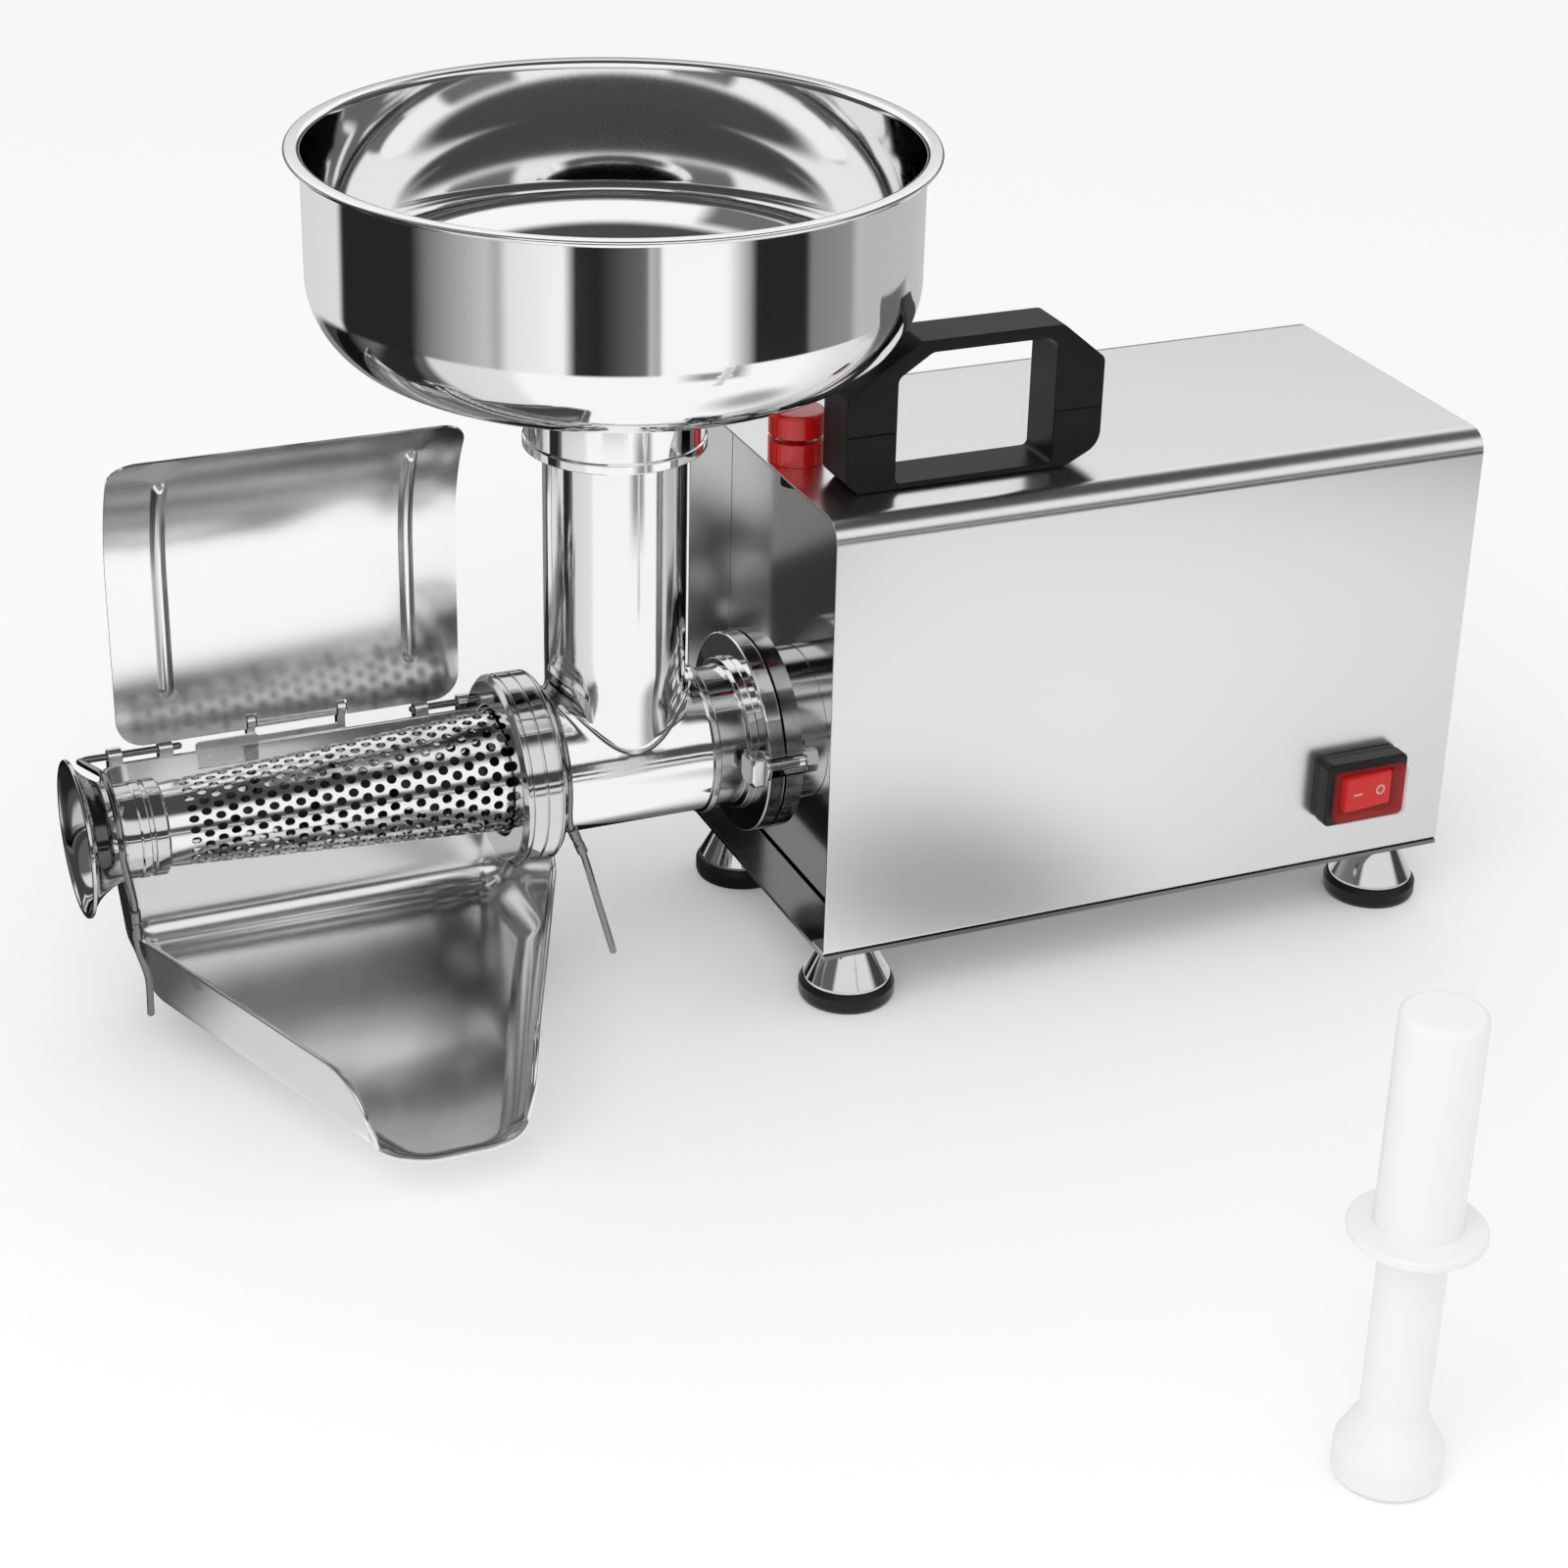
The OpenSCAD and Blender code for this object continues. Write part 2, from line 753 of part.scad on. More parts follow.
module handle_outline() {
    low = housing_h;
    high = housing_h + handle_rise;
    back = handle_x + handle_l;
    difference() {
        polygon(concat(
            [[handle_x + foot_chamfer, low]],
            [for (p = arc(0, 0, 1, -90, 0, 4))
                [back - toe_r + p[0] * toe_r, low + toe_r / 2 + p[1] * toe_r / 2]],
            [[back, high - chamfer_z], [back - chamfer_x, high], [handle_x + front_chamfer_x, high],
                [handle_x, high - front_chamfer_z], [handle_x, low + foot_chamfer]]));
        polygon([[handle_x + leg_w, low + window_foot_t], [back - leg_w, low + window_foot_t],
            [back - leg_w, high - grip_t], [handle_x + leg_w + window_chamfer_x, high - grip_t],
            [handle_x + leg_w, high - grip_t - window_chamfer_z]]);
    }
}

module handle_body() along_y(handle_y - handle_d / 2, handle_y + handle_d / 2) handle_outline();

module handle_slab(z0, z1) translate([handle_x - cut, handle_y - handle_d / 2 - cut, z0])
    cube([handle_l + 2 * cut, handle_d + 2 * cut, z1 - z0]);

module handle_lower() placed() color("#202020") difference() {
    handle_body();
    handle_slab(housing_h + seam_rise, housing_h + handle_rise + cut);
    at_handle_screws() translate([0, 0, -cut])
        cylinder(r = handle_screw_r + run_gap, h = handle_screw_up + 2 * cut);
}

module handle_upper() placed() color("#202020") difference() {
    handle_body();
    handle_slab(housing_h - cut, housing_h + seam_rise);
}

module handle_screws() placed() color("silver") at_handle_screws() {
    translate([0, 0, -sheet_t - handle_screw_head_h])
        cylinder(r = handle_screw_head_r, h = handle_screw_head_h);
    translate([0, 0, -sheet_t]) cylinder(r = handle_screw_r, h = sheet_t + handle_screw_up);
}

// Reset button

module at_button() translate([button_x, button_y, housing_h]) children();

module reset_cap() placed() color("red") at_button() {
    translate([0, 0, collar_rise + groove_h]) cylinder(r = button_r, h = cap_rise);
    translate([0, 0, -stem_down]) cylinder(r = stem_r, h = stem_down + collar_rise + groove_h + cap_wall);
}

module reset_collar() placed() color("darkred") at_button() difference() {
    cylinder(r = button_r, h = collar_rise);
    translate([0, 0, -cut]) cylinder(r = collar_bore_r, h = collar_rise + 2 * cut);
}

module reset_switch() placed() color("black") at_button() difference() {
    union() {
        translate([0, 0, -sheet_t]) cylinder(r = switch_neck_r, h = sheet_t);
        translate([0, 0, -sheet_t - reset_body_h]) cylinder(r = reset_body_r, h = reset_body_h);
    }
    translate([0, 0, -stem_down - button_travel - cut])
        cylinder(r = stem_r + run_gap, h = stem_down + button_travel + 2 * cut);
}

// Mains switch

module at_switch() translate([switch_x, -housing_w / 2, switch_z]) children();

module rounded_block(w, d, h, r) {
    for (sx = [-1, 1], sz = [-1, 1])
        translate([sx * (w / 2 - r), 0, sz * (h / 2 - r)]) rotate([90, 0, 0]) cylinder(r = r, h = d);
    translate([-w / 2, -d, r - h / 2]) cube([w, d, h - 2 * r]);
    translate([r - w / 2, -d, -h / 2]) cube([w - 2 * r, d, h]);
}

module switch_body() placed() color("#181818") at_switch() difference() {
    union() {
        rounded_block(switch_w, switch_d, switch_h, switch_corner_r);
        translate([-switch_neck_w / 2, 0, -switch_neck_h / 2])
            cube([switch_neck_w, switch_neck_d, switch_neck_h]);
    }
    translate([-rocker_w / 2 - rocker_gap, -switch_d - cut, -rocker_h / 2 - rocker_gap])
        cube([rocker_w + 2 * rocker_gap, well_d + cut, rocker_h + 2 * rocker_gap]);
    rocker_pin(rocker_pin_r + run_gap, rocker_pin_in + run_gap);
}

// A rod on the rocker's axis that reaches past the well by over at both ends
module rocker_pin(r, over) translate([0, rocker_pivot_d - switch_d, -rocker_h / 2 - rocker_gap - over])
    cylinder(r = r, h = rocker_h + 2 * rocker_gap + 2 * over);

module switch_rocker() placed() color("red") at_switch() {
    translate([0, rocker_pivot_d - switch_d, 0]) rotate([0, 0, rocker_tilt])
        translate([-rocker_w / 2, -rocker_pivot_d - rocker_rise, -rocker_h / 2])
            cube([rocker_w, rocker_d, rocker_h]);
    rocker_pin(rocker_pin_r, rocker_pin_in);
}

module switch_boot() placed() color([0.8, 0.1, 0.1, 0.5]) at_switch() translate([0, -switch_d, 0])
    difference() {
        rounded_block(boot_w, boot_d, boot_h, switch_corner_r);
        translate([boot_t - boot_w / 2, boot_t - boot_d, boot_t - boot_h / 2])
            cube([boot_w - 2 * boot_t, boot_d - boot_t + cut, boot_h - 2 * boot_t]);
    }

// Cable gland

module at_gland() translate([rear_x + sheet_t, gland_y, gland_z]) rotate([0, 90, 0]) children();

module cable_gland() placed() color("black") at_gland() difference() {
    union() {
        cylinder(r = gland_hex_r, h = gland_hex_h, $fn = 6);
        translate([0, 0, gland_hex_h]) cylinder(r = gland_dome_r, h = gland_dome_l);
        translate([0, 0, -gland_neck_l]) cylinder(r = gland_neck_r, h = gland_neck_l);
    }
    translate([0, 0, -gland_neck_l - cut])
        cylinder(r = gland_bore_r, h = gland_neck_l + gland_hex_h + gland_dome_l + 2 * cut);
}

module gland_nut() placed() color("black") at_gland() translate([0, 0, -sheet_t - gland_nut_h]) difference() {
    cylinder(r = gland_nut_r, h = gland_nut_h, $fn = 6);
    translate([0, 0, -cut]) cylinder(r = gland_neck_r + run_gap, h = gland_nut_h + 2 * cut);
}

// Motor

module motor_stator() placed() color("slategray") ring_x(core_x, core_x + core_l, motor_r, stator_bore_r);

module motor_windings() placed() color("chocolate") {
    ring_x(core_x - winding_l, core_x, winding_out_r, winding_in_r);
    ring_x(core_x + core_l, core_x + core_l + winding_l, winding_out_r, winding_in_r);
}

// An end bell whose closed end lies at x = 0 and whose mouth faces +X
module end_bell() difference() {
    union() {
        difference() {
            cylinder(r = motor_r, h = motor_bell_l);
            translate([0, 0, motor_bell_t]) cylinder(r = motor_r - motor_bell_t, h = motor_bell_l);
        }
        cylinder(r = bearing_seat_r, h = bearing_in + bearing_w);
    }
    translate([0, 0, bearing_in]) cylinder(r = bearing_r + run_gap, h = bearing_w + cut);
    translate([0, 0, -cut]) cylinder(r = shaft_hole_r, h = bearing_in + 2 * cut);
}

module motor_front_bell() placed() color("silver") on_axis(bell_front_x) end_bell();

module motor_rear_bell() placed() color("silver")
    on_axis(core_x + core_l + motor_bell_l) rotate([0, 180, 0]) end_bell();

module motor_rotor() placed() color("darkgray")
    ring_x(core_x + rotor_side, core_x + core_l - rotor_side, rotor_r, motor_shaft_r + run_gap);

module motor_shaft() placed() color("silver") rod_x(shaft_front_x, shaft_rear_x, motor_shaft_r);

module motor_bearings() placed() color("silver") {
    rear_end = core_x + core_l + motor_bell_l - bearing_in;
    ring_x(bell_front_x + bearing_in, bell_front_x + bearing_in + bearing_w,
        bearing_r, motor_shaft_r + run_gap);
    ring_x(rear_end - bearing_w, rear_end, bearing_r, motor_shaft_r + run_gap);
}

module motor_fan() placed() color("black") {
    ring_x(fan_x, fan_x + fan_hub_l, fan_hub_r, motor_shaft_r + run_gap);
    for (i = [0 : fan_blades - 1])
        on_axis(fan_x) rotate([0, 0, i * 360 / fan_blades])
            translate([fan_hub_r - fan_blade_t, -fan_blade_t / 2, 0])
                cube([fan_r - fan_hub_r + fan_blade_t, fan_blade_t, fan_hub_l]);
}

module motor_pinion() placed() color("silver") on_axis(motor_pinion_x)
    gear(motor_teeth, motor_module, motor_pinion_w, motor_shaft_r + run_gap);

module motor_saddle() placed() color("dimgray") difference() {
    translate([core_x + (core_l - saddle_l) / 2, -saddle_half, base_t])
        cube([saddle_l, 2 * saddle_half, saddle_top]);
    rod_x(core_x - cut, core_x + core_l + cut, motor_r + saddle_gap);
}

capacitor_z = base_t + capacitor_r + strap_t;

module capacitor() placed() color("whitesmoke")
    translate([capacitor_x, capacitor_y, capacitor_z]) rotate([0, 90, 0])
        cylinder(r = capacitor_r, h = capacitor_l);

module capacitor_strap() placed() color("silver") difference() {
    union() {
        translate([strap_x, capacitor_y, capacitor_z]) rotate([0, 90, 0])
            cylinder(r = capacitor_r + strap_t, h = strap_l);
        translate([strap_x, capacitor_y - capacitor_r / 2, base_t]) cube([strap_l, capacitor_r, strap_foot]);
    }
    translate([strap_x - cut, capacitor_y, capacitor_z]) rotate([0, 90, 0])
        cylinder(r = capacitor_r + run_gap, h = strap_l + 2 * cut);
}

module terminal_block() placed() color("ivory") difference() {
    translate([terminal_x, terminal_y, base_t]) cube([terminal_l, terminal_w, terminal_h]);
    for (i = [1 : terminal_holes])
        translate([terminal_x + i * terminal_l / (terminal_holes + 1), terminal_y - cut,
            base_t + terminal_h / 2])
            rotate([-90, 0, 0]) cylinder(r = terminal_hole_r, h = terminal_w + 2 * cut);
}

// Gears

function inv(a) = tan(a) * 180 / PI - a;

// Half the angle that a tooth fills at radius r
function tooth_half(teeth, module_size, r) =
    let (base_r = teeth * module_size * cos(pressure) / 2)
    90 / teeth - backlash_share * 90 / teeth + inv(pressure) - inv(acos(min(1, base_r / r)));

function gear_outline(teeth, module_size) =
    let (pitch_r = teeth * module_size / 2, base_r = pitch_r * cos(pressure),
        tip_r = pitch_r + addendum_share * module_size, root_r = pitch_r - dedendum_share * module_size,
        flank_r = max(base_r, root_r + module_size / 8),
        radii = [root_r, flank_r, (flank_r + pitch_r) / 2, pitch_r, (pitch_r + tip_r) / 2, tip_r])
    [for (i = [0 : teeth - 1])
        each concat(
            [for (r = radii) let (a = i * 360 / teeth - tooth_half(teeth, module_size, max(r, base_r)))
                r * [cos(a), sin(a)]],
            [for (k = [len(radii) - 1 : -1 : 0]) let (r = radii[k],
                a = i * 360 / teeth + tooth_half(teeth, module_size, max(r, base_r))) r * [cos(a), sin(a)]])];

module gear_blank(teeth, module_size, w, turn = 0)
    rotate([0, 0, turn]) linear_extrude(w) polygon(gear_outline(teeth, module_size));

module gear(teeth, module_size, w, bore) difference() {
    gear_blank(teeth, module_size, w);
    translate([0, 0, -cut]) cylinder(r = bore, h = w + 2 * cut);
}

// Gearbox

module case_outline(r) {
    translate([0, axis_z]) circle(r);
    translate([0, axis_z + gear_centres]) circle(r);
    translate([-r, axis_z]) square([2 * r, gear_centres]);
}

module gearbox_case() placed() color("lightgray") difference() {
    union() {
        rod_x(flange_x - flange_t, flange_x, flange_r);
        rod_x(flange_x, case_x + case_t, hub_r);
        difference() {
            along_x(case_x, case_x + case_l) case_outline(case_r);
            along_x(case_x + case_front_t, case_x + case_l + cut) case_outline(case_in_r);
        }
        rod_x(case_x + cut, case_x + case_front_t + case_boss_l, case_boss_r, gear_centres);
        translate([case_foot_x, -case_foot_half, base_t])
            cube([case_foot_l, 2 * case_foot_half, axis_z - base_t - case_in_r - case_t / 2]);
    }
    rod_x(flange_x - flange_t - cut, case_x + case_front_t + cut, out_bearing_r + run_gap);
    rod_x(case_x + mid_seat_t, case_x + case_front_t + case_boss_l + cut,
        mid_bearing_r + run_gap, gear_centres);
    clamp_slots(flange_x - flange_t - cut, flange_x + cut);
}

module clamp_slots(x0, x1) for (side = [-1, 1]) {
    translate([x0, side * slot_y, axis_z + slot_z]) rotate([0, 90, 0]) cylinder(r = slot_w / 2, h = x1 - x0);
    translate([x0, side * (slot_y + slot_w / 2) - slot_w / 2, axis_z + slot_z - slot_w / 2])
        cube([x1 - x0, slot_w, slot_w]);
}

module gearbox_cover() placed() color("lightgray") {
    x = case_x + case_l;
    difference() {
        union() {
            along_x(x, x + cover_plate_t) case_outline(case_r);
            rod_x(x - mid_bearing_w + mid_seat_t, x + cut, case_boss_r, gear_centres);
        }
        rod_x(x - mid_bearing_w, x + mid_seat_t, mid_bearing_r + run_gap, gear_centres);
        rod_x(x - cut, x + cover_plate_t + cut, shaft_hole_r);
    }
}

module middle_gears() placed() color("silver") difference() {
    union() {
        on_axis(mid_pinion_x, gear_centres)
            gear_blank(mid_pinion_teeth, output_module, mid_pinion_w, 180 / mid_pinion_teeth);
        on_axis(mid_gear_x, gear_centres)
            gear_blank(mid_gear_teeth, motor_module, mid_gear_w, 180 / mid_gear_teeth);
        rod_x(mid_pinion_x + cut, mid_gear_x + cut, mid_hub_r, gear_centres);
    }
    rod_x(mid_pinion_x - cut, mid_gear_x + mid_gear_w + cut, mid_shaft_r + run_gap, gear_centres);
}

module middle_shaft() placed() color("silver")
    rod_x(case_x + mid_seat_t + fit_gap, case_x + case_l + mid_seat_t - fit_gap, mid_shaft_r, gear_centres);

module middle_bearings() placed() color("silver") {
    ring_x(case_x + mid_seat_t, case_x + mid_seat_t + mid_bearing_w, mid_bearing_r,
        mid_shaft_r + run_gap, gear_centres);
    ring_x(case_x + case_l + mid_seat_t - mid_bearing_w, case_x + case_l + mid_seat_t, mid_bearing_r,
        mid_shaft_r + run_gap, gear_centres);
}

module output_gear() placed() color("silver") on_axis(out_gear_x)
    gear(out_teeth, output_module, out_gear_w, out_shaft_r + run_gap);

module output_shaft() placed() color("silver") {
    rod_x(screw_rear_x + fit_gap, out_shaft_end_x, out_shaft_r);
    translate([screw_rear_x + fit_gap - tang_l, -tang / 2, axis_z - tang / 2])
        cube([tang_l + cut, tang, tang]);
}

module output_bearings() placed() color("silver") for (i = [0, 1]) {
    x = out_bearing_x + i * (out_bearing_w + out_bearing_gap);
    ring_x(x, x + out_bearing_w, out_bearing_r, out_shaft_r + run_gap);
}

module shaft_seal() placed() color("black")
    ring_x(flange_x - fit_gap - seal_l, flange_x - fit_gap, out_bearing_r, out_shaft_r + run_gap);

// Press body

module flange_gasket() placed() color("black") ring_x(gasket_x, gasket_x + gasket_t, hub_r, bore_r);

module press_body() placed() color("whitesmoke") {
    shoulder_x = press_flange_x - shoulder_l;
    waist_x = shoulder_x - waist_l;
    lip_x = waist_x - lip_l;
    difference() {
        union() {
            turned([[0, barrel_front_x], [thread_r, barrel_front_x],
                [thread_r, barrel_front_x + thread_l - fit_gap],
                [barrel_r, barrel_front_x + thread_l], [barrel_r, lip_x], [lip_r, lip_x], [lip_r, waist_x],
                [waist_r, waist_x], [waist_r, shoulder_x], [shoulder_r, shoulder_x],
                [shoulder_r, press_flange_x],
                [flange_r, press_flange_x], [flange_r, gasket_x], [0, gasket_x]]);
            translate([-tube_x, 0, axis_z]) cylinder(r = tube_r, h = tube_z - axis_z);
        }
        rod_x(barrel_front_x - cut, gasket_x + cut, bore_r);
        translate([-tube_x, 0, axis_z]) cylinder(r = bore_r, h = tube_z - axis_z + cut);
        clamp_slots(press_flange_x - cut, gasket_x + cut);
    }
}

module at_clamps(x) for (side = [-1, 1])
    translate([x, side * slot_y, axis_z + slot_z]) rotate([0, 90, 0]) children();

module clamp_bolts() placed() color("silver") {
    at_clamps(press_flange_x - washer_t) {
        translate([-bolt_head / 2, -bolt_head / 2, -bolt_head_h]) cube([bolt_head, bolt_head, bolt_head_h]);
        cylinder(r = washer_r, h = washer_t);
    }
    at_clamps(press_flange_x - washer_t)
        cylinder(r = bolt_r, h = flange_x - press_flange_x + washer_t + clamp_washer_t + clamp_nut_h);
}

module clamp_nuts() placed() color("silver") at_clamps(flange_x) difference() {
    union() {
        cylinder(r = clamp_washer_r, h = clamp_washer_t);
        translate([0, 0, clamp_washer_t]) rotate([0, 0, 30])
            cylinder(r = clamp_nut_r, h = clamp_nut_h, $fn = 6);
    }
    translate([0, 0, -cut]) cylinder(r = bolt_r + run_gap, h = clamp_washer_t + clamp_nut_h + 2 * cut);
}

// Press screw

// Outer radius of the flight at x
function flight_r(x) = x > barrel_front_x ? bore_r - screw_gap
    : cone_big_r + (cone_small_r - cone_big_r) * (cone_x - x) / cone_l - cone_t - screw_gap;

function flight_points() =
    let (turns = (flight_rear_x - flight_front_x) / flight_pitch, rings = ceil(turns * flight_rings))
    [for (i = [0 : rings]) let (x = flight_rear_x + (flight_front_x - flight_rear_x) * i / rings,
        a = 360 * turns * i / rings, r = min(flight_r(x), flight_r(x - flight_t)),
        root = screw_tip_r - screw_gap)
        each [[x + flight_t / 2, root * cos(a), root * sin(a)], [x + flight_t / 4, r * cos(a), r * sin(a)],
            [x - flight_t / 4, r * cos(a), r * sin(a)], [x - flight_t / 2, root * cos(a), root * sin(a)]]];

// Faces of a tube of rings with n points each, with flat ends
function tube_faces(rings, n) = concat(
    [[for (k = [0 : n - 1]) k]],
    [for (i = [0 : rings - 2], k = [0 : n - 1], half = [0, 1])
        let (a = i * n + k, b = i * n + (k + 1) % n) half == 0 ? [a, a + n, b] : [b, a + n, b + n]],
    [[for (k = [n - 1 : -1 : 0]) (rings - 1) * n + k]]);

module press_screw() placed() color("gainsboro") difference() {
    union() {
        turned([[0, screw_front_x], [screw_tip_r, screw_front_x], [screw_root_r, barrel_front_x],
            [screw_root_r, screw_rear_x - screw_hub_l], [screw_hub_r, screw_rear_x - screw_hub_l],
            [screw_hub_r, screw_rear_x], [0, screw_rear_x]]);
        points = flight_points();
        translate([0, 0, axis_z]) polyhedron(points, tube_faces(len(points) / 4, 4));
    }
    translate([screw_rear_x - tang_l, -tang / 2 - tang_gap, axis_z - tang / 2 - tang_gap])
        cube([tang_l + cut, tang + 2 * tang_gap, tang + 2 * tang_gap]);
}

// Ring nut, strainer and outlet

module ring_nut() placed() color("silver") difference() {
    turned([[nut_lip_r, nut_front_x], [nut_r - nut_chamfer, nut_front_x], [nut_r, nut_front_x + nut_chamfer],
        [nut_r, -nut_x - nut_chamfer], [nut_r - nut_chamfer, -nut_x], [thread_r + run_gap, -nut_x],
        [thread_r + run_gap, nut_front_x + nut_lip_t], [nut_lip_r, nut_front_x + nut_lip_t]]);
    for (s = nut_groove_shares)
        ring_x(nut_front_x + s * nut_l - nut_groove_t / 2, nut_front_x + s * nut_l + nut_groove_t / 2,
            nut_r + cut, nut_r - nut_groove_d);
}

module strainer_cone() placed() color("silver") {
    slope = (cone_big_r - cone_small_r) / cone_l;
    pitch = (cone_l - cone_solid_big - cone_solid_small) / hole_rows;
    difference() {
        turned([[cone_big_r - cone_t, cone_x + cone_flange_t], [cone_flange_r, cone_x + cone_flange_t],
            [cone_flange_r, cone_x], [cone_big_r, cone_x], [cone_small_r, cone_end_x],
            [cone_small_r - cone_t, cone_end_x], [cone_big_r - cone_t, cone_x]]);
        for (i = [0 : hole_rows - 1], j = [0 : holes_round - 1])
            let (x = cone_x - cone_solid_big - (i + 1 / 2) * pitch)
            translate([x, 0, axis_z]) rotate([(j + (i % 2) / 2) * 360 / holes_round, 0, 0])
                cylinder(r = hole_r, h = cone_big_r + cut, $fn = 6);
    }
}

module end_collar() placed() color("silver") {
    x = end_collar_x;
    turned([[bell_bore_r, x], [end_collar_r - nut_groove_d, x], [end_collar_r, x + nut_groove_d],
        [end_collar_r, x + end_collar_l / 3], [end_collar_r - nut_groove_d, x + end_collar_l / 3],
        [end_collar_r - nut_groove_d, x + end_collar_l / 2], [end_collar_r, x + end_collar_l / 2],
        [end_collar_r, cone_end_x - nut_groove_d], [end_collar_r - nut_groove_d, cone_end_x],
        [bell_bore_r, cone_end_x]]);
}

module outlet_bell() placed() color("silver") {
    neck_x = end_collar_x - bell_neck_l;
    turned([[bell_bore_r, end_collar_x], [bell_neck_r, end_collar_x], [bell_neck_r, neck_x],
        [bell_cone_r, neck_x - bell_l / 4], [(bell_cone_r + bell_rim_r) / 2, bell_x + bell_l / 6],
        [bell_rim_r, bell_x + bell_wall], [bell_rim_r, bell_x], [bell_rim_r - bell_wall, bell_x],
        [(bell_cone_r + bell_rim_r) / 2 - bell_wall, bell_x + bell_l / 6],
        [bell_bore_r + bell_wall, neck_x - bell_l / 4], [bell_bore_r, neck_x]]);
}

// Juice tray

function tray_corners() = [
    [tray_half - tray_r, tray_back - tray_r, tray_drop_shares[0]],
    [tray_half - tray_r, tray_mid_y, tray_drop_shares[1]],
    [lip_half - tray_r / 2, tray_front_y + tray_r, tray_drop_shares[2]]];

// A tapered trough with rounded floor edges; grow is negative for the inside
module tray_block(grow) {
    r = tray_r + grow;
    hull() {
        for (side = [-1, 1], p = tray_corners()) let (flare = (tray_top_z - tray_floor_z) * tan(tray_flare),
            floor_z = tray_floor_z - tray_drop * p[2]) {
            translate([side * p[0], p[1], floor_z + tray_r]) sphere(r, $fn = corner_fn);
            translate([side * (p[0] + flare), p[1], tray_top_z]) cylinder(r = r, h = cut, $fn = corner_fn);
        }
        translate([0, lip_round_r - tray_reach, tray_floor_z - tray_drop + tray_r]) {
            translate([0, 0, -tray_r - grow])
                cylinder(r = lip_round_r + grow - tray_r / 2, h = cut, $fn = corner_fn);
            cylinder(r = lip_round_r + grow, h = cut, $fn = corner_fn);
        }
    }
}

// Everything above the tray's rim, as an outline in Y and Z
module above_rim() {
    polygon(concat(
        [[tray_back + tray_r, tray_rim_z], [rim_back_y, tray_rim_z], [tray_mid_y, rim_knee_z],
            [rim_front_y, rim_front_z]],
        [for (i = [1 : rim_steps]) let (s = i / rim_steps)
            [rim_front_y + (rim_end_y - rim_front_y) * sin(90 * s),
                rim_end_z + (rim_front_z - rim_end_z) * cos(90 * s)]],
        [[-tray_reach - tray_r, rim_end_z], [-tray_reach - tray_r, tray_top_z + 2 * tray_r],
            [tray_back + tray_r, tray_top_z + 2 * tray_r]]));
}

module juice_tray() placed() color("lightgray") translate([-tray_x, 0, 0]) {
    difference() {
        tray_block(0);
        tray_block(-tray_t);
        along_x(-2 * tray_half, 2 * tray_half) above_rim();
    }
    translate([tray_x - tongue_x - tongue_w / 2, tray_back - tray_t, tray_rim_z - cut])
        cube([tongue_w, tray_t, tongue_rise + cut]);
    for (s = left_lug_shares) clip_lug(tray_x + left_x + s * left_rod_l - lug_l / 2);
    for (s = right_lug_shares) clip_lug(tray_x - right_x - s * right_rod_l - lug_l / 2);
}

module clip_lug(x) difference() {
    union() {
        translate([x, clip_y, clip_z]) rotate([0, 90, 0]) cylinder(r = lug_r, h = lug_l);
        translate([x, tray_back - tray_t / 2, clip_z - lug_down])
            cube([lug_l, clip_y + lug_r - tray_back + tray_t / 2, lug_down]);
    }
    translate([x - cut, clip_y, clip_z]) rotate([0, 90, 0])
        cylinder(r = wire_r + lug_gap, h = lug_l + 2 * cut);
}

// Splash cover and its hinge

module ear_profile() {
    translate([hinge_y, hinge_z]) circle(ear_r);
    translate([tray_back + run_gap, hinge_z - bracket_h - ear_r])
        square([hinge_y + ear_r - tray_back - run_gap, bracket_h + ear_r]);
}

module hinge_bracket() placed() color("silver") translate([-hinge_x, 0, 0]) difference() {
    inner = knuckle_l / 2 + ear_gap;
    union() {
        along_x(-inner - ear_t, -inner) ear_profile();
        along_x(inner, inner + ear_t) ear_profile();
        translate([-inner - cut, tray_back + run_gap, hinge_z - bracket_h - ear_r])
            cube([2 * inner + 2 * cut, bracket_t, bracket_h - ear_r]);
    }
    translate([-inner - ear_t - cut, hinge_y, hinge_z]) rotate([0, 90, 0])
        cylinder(r = hinge_rod_r + run_gap, h = 2 * (inner + ear_t + cut));
}

module hinge_rod() placed() color("silver") {
    half = knuckle_l / 2 + ear_gap + ear_t + rod_over;
    translate([-hinge_x - half, hinge_y, hinge_z]) rotate([0, 90, 0]) cylinder(r = hinge_rod_r, h = 2 * half);
}

// The cover's section in Y and Z between two offsets from its front face, from z0 to z1
module cover_section(front, back, z0, z1) {
    polygon(concat(
        [[cover_y + front, z0], [cover_y + front, curl_start_z]],
        arc(cover_y - curl_r, curl_start_z, curl_r + front, 0, curl_angle(z1), curl_steps),
        arc(cover_y - curl_r, curl_start_z, curl_r + back, curl_angle(z1), 0, curl_steps),
        [[cover_y + back, curl_start_z], [cover_y + back, z0]]));
}

function curl_angle(z) = asin((z - curl_start_z) / curl_r);

